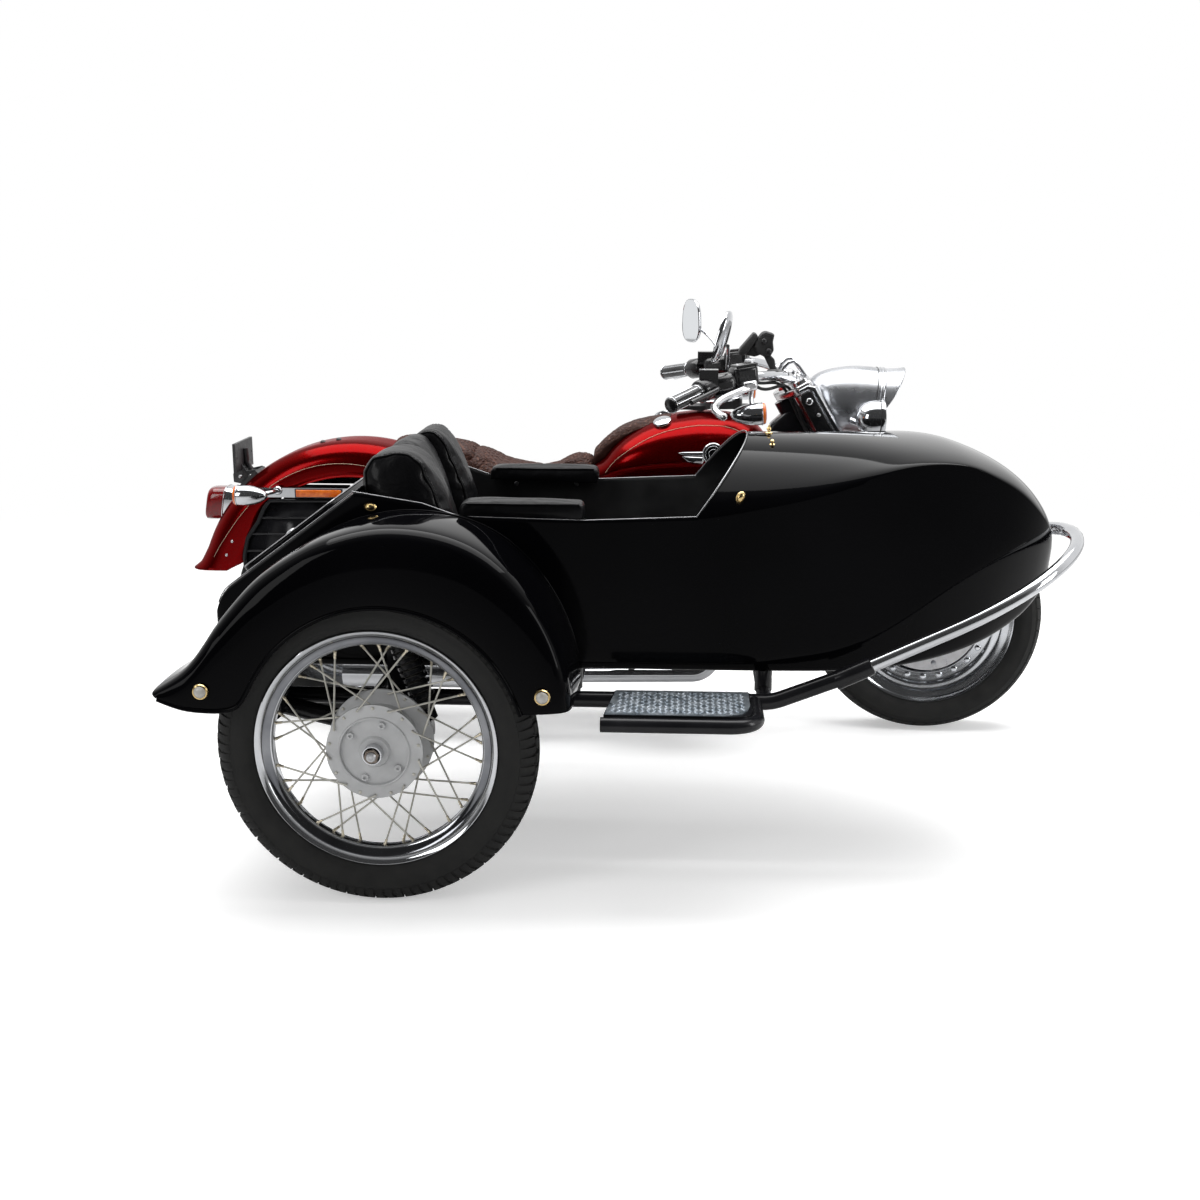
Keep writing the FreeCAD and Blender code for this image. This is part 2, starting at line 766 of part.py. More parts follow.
# ---------------------------------------------------------------- steering
CLAMP_LOW = 560.0     # distances up the fork line
CLAMP_LOW_T = 30.0
CLAMP_TOP = 735.0
CLAMP_TOP_T = 24.0
HEAD_GAP = 2.0
COVER_R = 36.0
SLIDER_TOP = 372.0
STEM_R = 20.0
FORK_TOP = 770.0


def fork_legs():
    """Telescopic fork legs with the lugs that hold the front axle."""
    legs = []
    for y in (-FORK_HALF_W, FORK_HALF_W):
        slider = rod(on_fork(-10, 0, y), on_fork(SLIDER_TOP, 0, y), FORK_LEG_R)
        tube = rod(on_fork(320, 0, y), on_fork(FORK_TOP, 0, y), FORK_TUBE_R)
        lug = rod(on_fork(0, 0, y - LUG_HALF), on_fork(0, 0, y + LUG_HALF), LUG_HALF)
        legs.append(join([slider, tube, lug]))
    block = box(-30, 30, -FORK_HALF_W + 8, -28, -34, 34)
    block.Placement = FreeCAD.Placement(
        on_fork(118, -70, 0), FreeCAD.Rotation(V(0, 0, 1), STEER_DIR)
    )
    neck = rod(on_fork(118, -60, -FORK_HALF_W + 10), on_fork(118, 0, -FORK_HALF_W), 16)
    slot = turned([(60, -56), (151, -56), (151, -39), (60, -39)], FRONT_AXLE)
    legs[0] = join([legs[0], neck, block]).cut(slot)
    hole = rod(FRONT_AXLE - V(0, 200, 0), FRONT_AXLE + V(0, 200, 0), AXLE_R + SEAT_GAP)
    return Part.makeCompound([leg.cut(hole) for leg in legs])


def front_axle():
    """Front axle with its end nuts."""
    face = FORK_HALF_W + LUG_HALF + SEAT_GAP
    bolt = rod(FRONT_AXLE - V(0, face + 14, 0), FRONT_AXLE + V(0, face + 14, 0), AXLE_R)
    nuts = []
    for y in (-face - 12, face):
        nuts.append(rod(FRONT_AXLE + V(0, y, 0), FRONT_AXLE + V(0, y + 12, 0), 20))
    return join([bolt] + nuts)


def triple_clamps():
    """Lower and upper fork clamps on the steering stem."""
    back = -FORK_OFFSET - 34
    pieces = []
    for along, thick in ((CLAMP_LOW, CLAMP_LOW_T), (CLAMP_TOP, CLAMP_TOP_T)):
        low = on_fork(along, 0, 0)
        plan = [
            (back, -40),
            (back, 40),
            (-40, FORK_HALF_W + 40),
            (36, FORK_HALF_W + 40),
            (36, -FORK_HALF_W - 40),
            (-40, -FORK_HALF_W - 40),
        ]
        wire = outline(plan, lambda u, v: low + STEER_NORMAL * u + V(0, v, 0))
        plate = Part.Face(wire).extrude(STEER_DIR * thick)
        for y in (-FORK_HALF_W, FORK_HALF_W):
            ends = on_fork(along - 10, 0, y), on_fork(along + 50, 0, y)
            plate = plate.cut(rod(*ends, FORK_TUBE_R + SEAT_GAP))
        pieces.append(plate)
    stem_low = STEER_FOOT + STEER_DIR * (CLAMP_LOW + 4)
    stem_top = STEER_FOOT + STEER_DIR * (CLAMP_TOP + 20)
    pieces.append(rod(stem_low, stem_top, STEM_R))
    return join(pieces)


def fork_covers():
    """Chrome shrouds round the upper fork tubes, between the clamps and above."""
    made = []
    for y in (-FORK_HALF_W, FORK_HALF_W):
        spans = (
            (SLIDER_TOP + SEAT_GAP, CLAMP_LOW - SEAT_GAP),
            (CLAMP_LOW + CLAMP_LOW_T + SEAT_GAP, CLAMP_TOP - SEAT_GAP),
        )
        for start, end in spans:
            skin = rod(on_fork(start, 0, y), on_fork(end, 0, y), COVER_R)
            hole = rod(on_fork(start - 5, 0, y), on_fork(end + 5, 0, y), FORK_TUBE_R + SEAT_GAP)
            made.append(skin.cut(hole))
    return Part.makeCompound(made)


def front_fender():
    """Wide front fender that follows the tyre, on stays to the fork legs."""
    shell = arch(FRONT_AXLE, FRONT_TYRE_R + 42, 4, 84, 45, 28, 178, 96)
    stays = []
    for y in (-1, 1):
        for a_deg in (78.0, 140.0):
            a = math.radians(a_deg)
            at = FRONT_AXLE + V(290 * math.cos(a), 0, 290 * math.sin(a))
            along = 250.0 if a_deg < 100 else 190.0
            stay = rod(
                V(at.x, y * 82, at.z), on_fork(along, 0, y * (FORK_HALF_W - 26)), 7
            )
            stays.append(stay)
    legs = []
    for y in (-FORK_HALF_W, FORK_HALF_W):
        legs.append(rod(on_fork(-50, 0, y), on_fork(600, 0, y), FORK_LEG_R + SEAT_GAP))
    fender = join([shell] + stays)
    return fender.cut(Part.makeCompound(legs))


BAR_PATH = (  # distance behind the front axle, y, z of the right half; the left mirrors it
    (434.0, 0.0, 1052.0),
    (434.0, -92.0, 1052.0),
    (472.0, -250.0, 1010.0),
    (618.0, -(GRIP_Y - GRIP_L), 991.0),
    (722.0, -GRIP_Y, 953.0),
)
BAR_BEND = 60.0
BAR_CLAMP_R = 22.0
RISER_Y = 48.0


def bar_point(k, side):
    """Corner of the bar: side is 1 on the vehicle's right and -1 on its left."""
    back, y, z = BAR_PATH[k]
    return behind_axle(back, y * side, z)


def bar_tube(radius):
    """The whole bar in one bent run."""
    right = [bar_point(k, 1) for k in (4, 3, 2, 1)]
    left = [bar_point(k, -1) for k in (1, 2, 3, 4)]
    return pipe(right + left, radius, BAR_BEND)


def handlebar():
    """Pulled-back bar in one bend, on two risers from the upper clamp."""
    bar = bar_tube(BAR_R)
    risers = []
    top = on_fork(CLAMP_TOP + CLAMP_TOP_T, 0, 0)
    middle = bar_point(0, 1)
    for y in (-RISER_Y, RISER_Y):
        at = middle + V(0, y, 0)
        risers.append(rod(V(top.x - 38, y, top.z - 22), at, 16))
        risers.append(rod(at - V(0, 18, 0), at + V(0, 18, 0), BAR_CLAMP_R))
    blank = join([bar] + risers)
    low = on_fork(CLAMP_TOP + CLAMP_TOP_T + SEAT_GAP, 0, 0)
    below = Part.makeBox(300, 400, 200, V(-150, -200, -200))
    below.Placement = FreeCAD.Placement(low, FreeCAD.Rotation(V(0, 0, 1), STEER_DIR))
    return blank.cut(below)


def grip_axis(side):
    """Outer end of the bar and the direction of its grip."""
    end = bar_point(4, side)
    return end, (end - bar_point(3, side)).normalize()


def hand_grips():
    """Rubber grips with closed ends, over the ends of the bar."""
    made = []
    for side in (1, -1):
        end, along = grip_axis(side)
        skin = rod(end - along * GRIP_L, end + along * 6, 17.5)
        hole = rod(end - along * (GRIP_L + 5), end + along * SEAT_GAP, BAR_R + SEAT_GAP)
        made.append(skin.cut(hole))
    return Part.makeCompound(made)


def hand_controls():
    """Switch housings with the fluid reservoirs and the hand levers."""
    made = []
    for side in (1, -1):
        end, along = grip_axis(side)
        inner = end - along * (GRIP_L + 1)
        house = rod(inner, inner - along * 28, 25)
        tank = box(-24, 24, -20, 20, 10, 46)
        tank.translate(inner - along * 32)
        forward = V(0.95, 0, 0.2)
        foot = inner - along * 14 + forward * 8
        knee = foot + forward * 52
        lever = pipe([foot, knee, knee + along * 150 + forward * 8], 6, 20)
        made.append(join([house, tank, lever]).cut(bar_tube(BAR_R + SEAT_GAP)))
    return Part.makeCompound(made)


MIRROR_Y = 398.0


def mirrors():
    """Two round-cornered mirrors on bent stems from the control housings."""
    made = []
    yaw = math.radians(28)
    for side, back, lean in ((1, 590, 0.25), (-1, 672, 0.0)):
        end, along = grip_axis(side)
        foot = end - along * (GRIP_L + 33) + V(0, 0, 46 + SEAT_GAP)
        head = behind_axle(back, -side * MIRROR_Y, 1120)
        stem = pipe([foot, foot + V(0, 0, 26), head + V(8, 0, -40), head], 5, 14)
        plan = [(-44, -50), (0, -64, 44, -50), (52, 0, 44, 50), (0, 64, -44, 50)]
        across = V(side * math.sin(yaw), math.cos(yaw), 0)
        outward = V(math.cos(yaw), -side * math.sin(yaw), 0)
        wire = outline(plan, lambda u, v: head + across * u + V(lean * v, 0, v))
        shell = Part.Face(wire).extrude(outward * 14)
        made.append(join([stem, shell]))
    return Part.makeCompound(made)


LAMP_CENTRE = behind_axle(204.0, 0.0, 925.0)
LAMP_R = 96.0
LAMP_SEAT = 58.0           # back of the lens, ahead of the lamp's centre
PASSING_R = 44.0
PASSING_Y = 165.0
PASSING_DROP = 35.0        # below the headlamp's centre


def headlamp_nacelle():
    """Chrome headlamp housing that spans the fork, with the peak over its lens."""
    side = [
        (-64, -83),
        (-106, 5, -91, 83),
        (-36, 99, 29, 90),
        (112, 75),
        (110, 69),
        (70, 75),
        (64, -87),
    ]
    half = LAMP_R + 8
    body = plate_y(side, -half, half)
    front = [(-half, 5), (0, half + 7, half, 5), (0, 5 - half, -half, 5)]
    body = body.common(plate_x(front, -240, 160))
    hollow = rod(V(LAMP_SEAT, 0, 0), V(LAMP_SEAT + 200, 0, 0), LAMP_R - 5)
    body = body.cut(hollow)
    body.translate(LAMP_CENTRE)
    return body.cut(fork_space()).cut(back_of_clamp())


def fork_space():
    """Space kept for the fork covers, both sides."""
    legs = []
    for y in (-FORK_HALF_W, FORK_HALF_W):
        legs.append(rod(on_fork(300, 0, y), on_fork(900, 0, y), COVER_R + SEAT_GAP))
    return Part.makeCompound(legs)


def back_of_clamp():
    """Space kept for the clamps, bar clamps and steering head behind the headlamp."""
    low = on_fork(200, 0, 0)
    front = COVER_R + SEAT_GAP
    plan = [(-300, -200), (front, -200), (front, 200), (-300, 200)]
    wire = outline(plan, lambda u, v: low + STEER_NORMAL * u + V(0, v, 0))
    return Part.Face(wire).extrude(STEER_DIR * 900)


def headlamp_lens():
    """Glass of the headlamp, slightly domed."""
    radius = LAMP_R - 6
    back = LAMP_CENTRE + V(LAMP_SEAT + SEAT_GAP, 0, 0)
    rim = LAMP_CENTRE + V(LAMP_SEAT + 14, 0, 0)
    flat = rod(back, rim, radius)
    dome = Part.makeSphere(260, rim + V(14 - 260, 0, 0))
    front = rod(rim - V(8, 0, 0), rim + V(22, 0, 0), radius)
    return join([flat, front.common(dome)])


def passing_lamps():
    """Two spot lamps on a bar across the fork."""
    nacelle = headlamp_nacelle()
    fork = fork_space()
    made = []
    for side in (-1, 1):
        at = LAMP_CENTRE + V(-2, side * PASSING_Y, -PASSING_DROP)
        foot = V(at.x - 78, side * FORK_HALF_W, at.z)
        arm = rod(at + V(-16, side * 5, 0), foot, 9)
        shell = Part.makeSphere(PASSING_R, at)
        face = rod(at, at + V(34, 0, 0), PASSING_R)
        made.append(join([arm, shell, face]).cut(nacelle).cut(fork))
    return Part.makeCompound(made)


def front_indicators():
    """Bullet indicators on short arms under the bar."""
    made = []
    for side in (-1, 1):
        centre = behind_axle(500, side * 322, 922)
        shell = Part.makeCone(11, 28, 62, centre + V(-56, 0, 0), V(1, 0, 0))
        glass = Part.makeSphere(27.5, centre + V(6, 0, 0))
        knee = behind_axle(522, side * 290, 970)
        arm = pipe([centre, knee, behind_axle(502, side * 262, 1001)], 7, 14)
        made.append(join([shell, glass, arm]).cut(bar_tube(BAR_R + SEAT_GAP)))
    return Part.makeCompound(made)


def phone_mount():
    """Black phone cradle clamped to the middle of the bar."""
    at = bar_point(0, 1) + V(0, -80, 0)
    clamp = rod(at - V(0, 10, 0), at + V(0, 10, 0), BAR_CLAMP_R + 2)
    clamp = clamp.cut(bar_tube(BAR_R + SEAT_GAP))
    arm = rod(at + V(-10, 0, 21), at + V(-46, 0, 42), 8)
    cradle = box(-34, 34, -50, 50, -6, 6)
    cradle.Placement = FreeCAD.Placement(
        at + V(-52, 0, 44), FreeCAD.Rotation(V(0, 1, 0), -38)
    )
    return join([clamp, arm, cradle])


# ---------------------------------------------------------------- sidecar body
def wall_top(x):
    """Height of the cockpit's side edge."""
    edge = ((254, 831), (399, 808), (480, 780), (748, 774), (985, 784))
    for (x0, z0), (x1, z1) in zip(edge, edge[1:]):
        if x <= x1:
            return z0 + (z1 - z0) * (x - x0) / (x1 - x0)
    return edge[-1][1]


TAIL_SLOPE = (831.0 - 515.0) / (254.0 + 173.0)

BODY_SECTIONS = (
    # x, width and keel width as shares of the body's, floor z, belly z, side top z, crown z
    (TAIL_X, 0.955, 0.93, BODY_FLOOR_Z, 470.0, 556.0, 562.0),
    (-42.0, 0.99, 0.97, BODY_FLOOR_Z, 458.0, 598.0, 604.0),
    (-10.0, 1.0, 0.978, BODY_FLOOR_Z, 452.0, 627.0, 635.6),
    (254.0, 1.0, 0.978, BODY_FLOOR_Z, 452.0, 823.0, 831.0),
    (985.0, 1.0, 0.978, BODY_FLOOR_Z, 452.0, 784.0, CROWN_Z),
    (1200.0, 1.0, 0.978, BODY_FLOOR_Z, 452.0, 824.0, CROWN_Z),
    (1400.0, 0.981, 0.896, 444.0, 540.0, 888.0, 922.0),
    (1550.0, 0.896, 0.725, 462.0, 640.0, 893.0, 912.0),
    (1680.0, 0.701, 0.513, 500.0, 690.0, 830.0, 860.0),
    (1752.0, 0.472, 0.325, 560.0, 700.0, 752.0, 786.0),
    (NOSE_X, 0.205, 0.137, 618.0, 655.0, 690.0, 702.0),
)


def body_loft(inset):
    """The body's outer form, or the same form drawn in all round by inset."""
    rings = []
    for x, width, keel_width, floor, belly, side, crown in BODY_SECTIONS:
        half = BODY_HALF_W * width - inset
        keel = max(BODY_HALF_W * keel_width - inset, 8.0)
        floor = floor + inset
        belly = belly + inset * 0.4
        side = side - inset * 0.4
        crown = crown - inset
        if x == TAIL_X:
            x = x + inset
        if x == NOSE_X:
            x = x - inset
        points = [
            (-keel, floor),
            (-half, belly),
            (-half, side),
            (0.0, crown, half, side),
            (half, belly),
            (keel, floor),
        ]
        ring = outline(points, lambda y, z: V(x, BODY_CENTRE_Y + y, z))
        rings.append(ring)
    return Part.makeLoft(rings, True, True)


def cockpit_cut():
    """Everything above the cockpit's edge, from the seat back to the raked cowl."""
    edge = [
        (254, 831),
        (399, 808),
        (480, 780),
        (748, 774),
        (985, 784),
        (1098, CROWN_Z),
        (1098, 1100),
        (254, 1100),
    ]
    return plate_y(edge, -1200, -300)


LID_X = (-4.0, 205.0)
LID_HALF_W = BODY_HALF_W - 47.5


def slope_z(x):
    """Height of the tail's sloping top."""
    return 831.0 - TAIL_SLOPE * (254.0 - x)


def boot_opening():
    """Rectangular opening through the sloping tail, under the lid."""
    x0 = LID_X[0] + 30
    x1 = LID_X[1] - 30
    half = LID_HALF_W - 30
    return box(x0, x1, BODY_CENTRE_Y - half, BODY_CENTRE_Y + half, 600, 900)


KNUCKLE_R = 5.5
HINGE_Y = BODY_CENTRE_Y + LID_HALF_W + KNUCKLE_R + 1.0
HINGE_STATIONS = (42.0, 156.0)
KNUCKLE_HALF = 16.0
HINGE_PIN_R = 2.5
EAR_L = 12.0
SLOPE_DIR = V(1, 0, TAIL_SLOPE).normalize()
SLOPE_UP = V(-TAIL_SLOPE, 0, 1).normalize()


def hinge_point(x):
    """Point on the lid's hinge axis, level with the middle of the lid."""
    return V(x, HINGE_Y, slope_z(x)) + SLOPE_UP * (LID_GAP + LID_T / 2)


def hinge_leaf(start, length, y0, y1, n0, n1):
    """Flat leaf along the hinge axis: y and height from the axis."""
    corners = [(y0, n0), (y1, n0), (y1, n1), (y0, n1)]
    wire = outline(corners, lambda y, n: start + V(0, y, 0) + SLOPE_UP * n)
    return Part.Face(wire).extrude(SLOPE_DIR * length)


def hinge_ears():
    """Ears and pins of the lid's two hinges, which stand on the body."""
    made = []
    for x in HINGE_STATIONS:
        at = hinge_point(x)
        for sense in (-1, 1):
            near = at + SLOPE_DIR * (sense * (KNUCKLE_HALF + 0.5))
            far = near + SLOPE_DIR * (sense * EAR_L)
            low = near if sense > 0 else far
            made.append(rod(near, far, KNUCKLE_R))
            made.append(hinge_leaf(low, EAR_L, -3, KNUCKLE_R, -20, 0))
        reach = SLOPE_DIR * (KNUCKLE_HALF + EAR_L)
        made.append(rod(at - reach, at + reach, HINGE_PIN_R))
    return made


def sidecar_body():
    """One-piece hollow body: tail, open cockpit and rounded nose."""
    inner = body_loft(BODY_WALL)
    shell = body_loft(0).cut(inner)
    half = BODY_HALF_W - BODY_WALL
    open_top = box(
        SEAT_X, 980, BODY_CENTRE_Y - half, BODY_CENTRE_Y + half, 700, 1000
    )
    bench = join(
        [
            box(250, SEAT_X, -1200, -300, BENCH_Z - 8, 900),
            box(SEAT_X - 8, BENCH_X, -1200, -300, BENCH_Z - 8, BENCH_Z),
            box(BENCH_X - 8, BENCH_X, -1200, -300, 400, BENCH_Z),
        ]
    )
    bench = bench.common(body_loft(BODY_WALL / 2))
    body = join([shell, bench] + hinge_ears())
    return body.cut(cockpit_cut()).cut(boot_opening()).cut(open_top)


def boot_lid():
    """Lid over the sloping tail, hinged along its edge beside the motorcycle."""
    x0, x1 = LID_X
    foot = V(x0, BODY_CENTRE_Y, slope_z(x0)) + SLOPE_UP * LID_GAP
    length = (x1 - x0) / SLOPE_DIR.x
    lid = hinge_leaf(foot, length, -LID_HALF_W, LID_HALF_W, 0, LID_T)
    pieces = [lid]
    holes = []
    for x in HINGE_STATIONS:
        at = hinge_point(x)
        half = SLOPE_DIR * KNUCKLE_HALF
        pieces.append(rod(at - half, at + half, KNUCKLE_R))
        pieces.append(hinge_leaf(at - half, 2 * KNUCKLE_HALF, -KNUCKLE_R - 4, 0, -3, 3))
        holes.append(rod(at - half * 1.2, at + half * 1.2, HINGE_PIN_R + PIN_GAP))
    return join(pieces).cut(Part.makeCompound(holes))


# ---------------------------------------------------------------- sidecar wheel and chassis
def sidecar_rim():
    """Chrome rim with rolled edges and a well for the spokes."""
    half = CAR_RIM_W / 2
    r = CAR_RIM_R
    profile = [
        (r - 34, -8),
        (r - 30, -14),
        (r - 14, -half + 10),
        (r, -half),
        (r, -half + 6),
        (r - 9.3, -half + 12),
        (r - 24, -14),
        (r - 28, -8),
        (r - 28, 8),
        (r - 24, 14),
        (r - 9.3, half - 12),
        (r, half - 6),
        (r, half),
        (r - 14, half - 10),
        (r - 30, 14),
        (r - 34, 8),
    ]
    return turned(profile, CAR_AXLE)


def sidecar_tyre():
    """Narrow block-tread tyre on the spoked rim."""
    half = CAR_TYRE_W / 2
    r = CAR_TYRE_R
    lip = CAR_RIM_W / 2 - 6 - SEAT_GAP
    profile = [
        (CAR_RIM_R - 8, -lip + 5.5),
        (CAR_RIM_R + SEAT_GAP, -lip),
        (CAR_RIM_R + 3, -lip - 6),
        (CAR_RIM_R + 34, -half, r - 22, -half + 4),
        (r, 0, r - 22, half - 4),
        (CAR_RIM_R + 34, half, CAR_RIM_R + 3, lip + 6),
        (CAR_RIM_R + SEAT_GAP, lip),
        (CAR_RIM_R - 8, lip - 5.5),
    ]
    return turned(profile, CAR_AXLE)


# Spoke circles: flange middle y, radius on the hub, outward side, turn of the first pair
SPOKE_CIRCLES = (
    (-CAR_HUB_W / 2 + 7.0, CAR_HUB_R - 7, -1, 0.0),
    (CAR_HUB_W / 2 - 7.0, CAR_HUB_R + 3, 1, 10.0),
)
SPOKE_SWING = 38.0         # degrees round the wheel from hub end to rim end
SPOKE_SPLIT = 10.0


def spoke_ends():
    """Each spoke as (elbow start, elbow end, tip): the elbow goes through the flange."""
    ends = []
    for flange_y, hub_r, outward, first in SPOKE_CIRCLES:
        for k in range(SPOKE_PAIRS):
            base = math.radians(first + 360.0 / SPOKE_PAIRS * k)
            for lean in (-1, 1):
                a = base + math.radians(SPOKE_SPLIT) * lean
                b = a + math.radians(SPOKE_SWING) * lean
                off = 9.0 if lean * outward > 0 else 6.5
                foot_y = flange_y + lean * off
                arm = V(hub_r * math.cos(a), 0, hub_r * math.sin(a))
                foot = CAR_AXLE + arm + V(0, foot_y, 0)
                elbow = CAR_AXLE + arm + V(0, flange_y - lean * 5.0, 0)
                rim_r = CAR_RIM_R - 34 - SEAT_GAP * 2
                tip_y = 3.2 * outward + 1.4 * lean
                tip = CAR_AXLE + V(rim_r * math.cos(b), tip_y, rim_r * math.sin(b))
                ends.append((elbow, foot, tip))
    return ends


def sidecar_hub():
    """Cast drum hub with a drilled flange at each side."""
    half = CAR_HUB_W / 2
    drum = [
        (CAR_AXLE_R + PIN_GAP, -half),
        (30, -half),
        (34, -half + 8),
        (70, -half + 8),
        (70, -half + 2),
        (CAR_HUB_R, -half + 4),
        (CAR_HUB_R, -half + 10),
        (80, -half + 12),
        (80, half - 12),
        (CAR_HUB_R + 10, half - 10),
        (CAR_HUB_R + 10, half - 4),
        (60, half),
        (CAR_AXLE_R + PIN_GAP, half),
    ]
    hub = turned(drum, CAR_AXLE)
    holes = []
    for elbow, foot, tip in spoke_ends():
        along = (foot - elbow).normalize()
        holes.append(rod(elbow - along * 4, foot + along * 2, SPOKE_R + SEAT_GAP))
    return hub.cut(Part.makeCompound(holes))


def sidecar_spokes():
    """Crossed wire spokes between the hub's flanges and the rim."""
    made = []
    for elbow, foot, tip in spoke_ends():
        knee = Part.makeSphere(SPOKE_R, foot)
        made.append(join([rod(elbow, foot, SPOKE_R), knee, rod(foot, tip, SPOKE_R)]))
    return Part.makeCompound(made)


FENDER_OUTER = [  # side outline of the fender, as (x, z); arcs through their first pair
    (-107, 467),
    (120, 707),
    (377, 806, 582, 747),
    (715, 610, 742, 430),
]


def sidecar_fender():
    """Deep fender that covers the upper wheel, from the body wall outwards."""
    wall = FENDER_WALL
    inner_y = BODY_CENTRE_Y - BODY_HALF_W - SEAT_GAP
    solid = plate_y(
        FENDER_OUTER + [(637, 430), (355, 649, 70, 433), (-62, 439)], FENDER_OUTER_Y, inner_y
    )
    cavity_outline = [
        (-94, 470),
        (122, 701),
        (377, 802, 578, 743),
        (709, 608, 737, 430),
        (640, 300),
        (70, 300),
        (-62, 446),
    ]
    cavity = plate_y(cavity_outline, FENDER_OUTER_Y + wall, inner_y + 5)
    skirt_cut = plate_y([(742, 200), (742, 429), (-200, 429), (-200, 200)], -1500, -900)
    return solid.cut(cavity).cut(skirt_cut)


PIVOT = V(86.0, -1147.0, CHASSIS_Z)
ARM_FRONT = V(430.0, -1147.0, 348.0)
SHOCK_TOP = V(345.0, -1116.0, 566.0)
SHOCK_PIN_R = 8.0


def sidecar_chassis():
    """Welded tube frame under the body, with its struts to the motorcycle."""
    z = CHASSIS_Z
    near = pipe(
        [V(-60, CHASSIS_NEAR_Y, z), V(1150, CHASSIS_NEAR_Y, z), V(1316, CHASSIS_NEAR_Y + 8, 456)],
        CHASSIS_TUBE_R,
        120,
    )
    far = pipe(
        [V(-60, CHASSIS_FAR_Y, z), V(1150, CHASSIS_FAR_Y, z), V(1316, CHASSIS_FAR_Y - 8, 456)],
        CHASSIS_TUBE_R,
        120,
    )
    pieces = [near, far]
    for x in (-40.0, 300.0, 720.0, 1135.0):
        pieces.append(rod(V(x, CHASSIS_NEAR_Y, z), V(x, CHASSIS_FAR_Y, z), 16))
    post = BODY_HALF_W - 45
    for x in (-40.0, 720.0, 1135.0):
        for y in (BODY_CENTRE_Y - post, BODY_CENTRE_Y + post):
            pieces.append(rod(V(x, y, z), V(x, y, BODY_FLOOR_Z - SEAT_GAP), 19))
    pieces.append(rod(V(PIVOT.x, CHASSIS_NEAR_Y, z), PIVOT - V(0, 34, 0), 10))
    pieces.append(box(SHOCK_TOP.x - 24, SHOCK_TOP.x + 24, -1076, -1052, z - 10, 590))
    pieces.append(rod(V(SHOCK_TOP.x, -1060, SHOCK_TOP.z), SHOCK_TOP, SHOCK_PIN_R))
    rail = V(0, -FRAME_HALF_W, RAIL_Z)
    ends = (
        (V(1112, CHASSIS_FAR_Y, z), V(1085, 0, 0) + rail),
        (V(620, CHASSIS_FAR_Y, z), V(610, 0, 0) + rail),
    )
    for start, end in ends:
        pieces.append(rod(start, end, 14))
    plate_face = -FRAME_HALF_W - 12 - SEAT_GAP
    brace = pipe(
        [V(520, CHASSIS_FAR_Y, z), V(516, -330, 392), V(506, -220, 385), V(505, plate_face, 385)],
        13,
        60,
    )
    pieces.append(brace)
    rail_tube = rod(V(400, 0, 0) + rail, V(1300, 0, 0) + rail, FRAME_TUBE_R + SEAT_GAP)
    return join(pieces).cut(rail_tube)


def sidecar_swingarm():
    """Arm from the chassis pivot under the axle to the shock, with the stub axle."""
    eye = rod(PIVOT - V(0, 28, 0), PIVOT + V(0, 28, 0), 34)
    arm_mid = V(CAR_WHEEL_X, PIVOT.y, CAR_TYRE_R)
    arm = pipe([PIVOT, arm_mid, ARM_FRONT], 20, 120)
    boss = rod(arm_mid - V(0, 50, 0), arm_mid + V(0, 20, 0), 30)
    axle = rod(arm_mid, CAR_AXLE - V(0, CAR_HUB_W / 2 + 26, 0), CAR_AXLE_R)
    nut_y = CAR_HUB_W / 2 + 2
    nut = rod(CAR_AXLE - V(0, nut_y, 0), CAR_AXLE - V(0, nut_y + 16, 0), 17)
    hole = rod(PIVOT - V(0, 60, 0), PIVOT + V(0, 60, 0), 10 + SEAT_GAP)
    return join([eye, arm, boss, axle, nut]).cut(hole)


def sidecar_shock():
    """Sprung damper in a ribbed sleeve, from the arm up to the chassis bracket."""
    low = ARM_FRONT + V(0, 0, 6)
    top = SHOCK_TOP
    along = (top - low).normalize()
    length = (top - low).Length
    pieces = [rod(low, top, 15), rod(top - V(0, 14, 0), top + V(0, 14, 0), 20)]
    count = 11
    for k in range(count):
        s = 45 + k * (length - 80) / count
        pieces.append(rod(low + along * s, low + along * (s + 8), 28))
    hole = rod(top - V(0, 40, 0), top + V(0, 40, 0), SHOCK_PIN_R + SEAT_GAP)
    saddle = pipe([PIVOT, V(CAR_WHEEL_X, PIVOT.y, CAR_TYRE_R), ARM_FRONT], 20 + SEAT_GAP, 120)
    tip = rod(ARM_FRONT - V(8, 0, 0), ARM_FRONT + V(30, 0, 0), 20 + SEAT_GAP)
    return join(pieces).cut(hole).cut(saddle).cut(tip)


def bumper_bar():
    """Chrome tube bumper in one loop round the nose."""
    z0 = 456.0
    near_y = CHASSIS_NEAR_Y + 8
    far_y = CHASSIS_FAR_Y - 8
    rise = math.tan(math.radians(23.0))

    def at(x, y):
        return V(x, y, z0 + (x - 1316) * rise)

    return pipe(
        [at(1317, near_y), at(1868, near_y), at(1868, far_y), at(1317, far_y)], BUMPER_R, 190
    )


def sidecar_footboard():
    """Step of chequer plate framed by one bent tube."""
    y_out = -1290.0
    side = CHASSIS_NEAR_Y - CHASSIS_TUBE_R
    frame = pipe(
        [V(794, y_out, 402), V(1112, y_out, 402), V(1112, side + 10, CHASSIS_Z)], 15.5, 60
    )
    rail = rod(
        V(700, CHASSIS_NEAR_Y, CHASSIS_Z),
        V(1250, CHASSIS_NEAR_Y, CHASSIS_Z),
        CHASSIS_TUBE_R + SEAT_GAP,
    )
    plan = [
        (800, y_out + 10),
        (1050, y_out + 10),
        (1090, y_out + 20, 1100, y_out + 62),
        (1100, CHASSIS_NEAR_Y - 20),
        (815, CHASSIS_NEAR_Y - 20),
    ]
    plate = plate_z(plan, 414, 420)
    return join([frame, plate]).cut(rail)


CUSHION_Z = 640.0


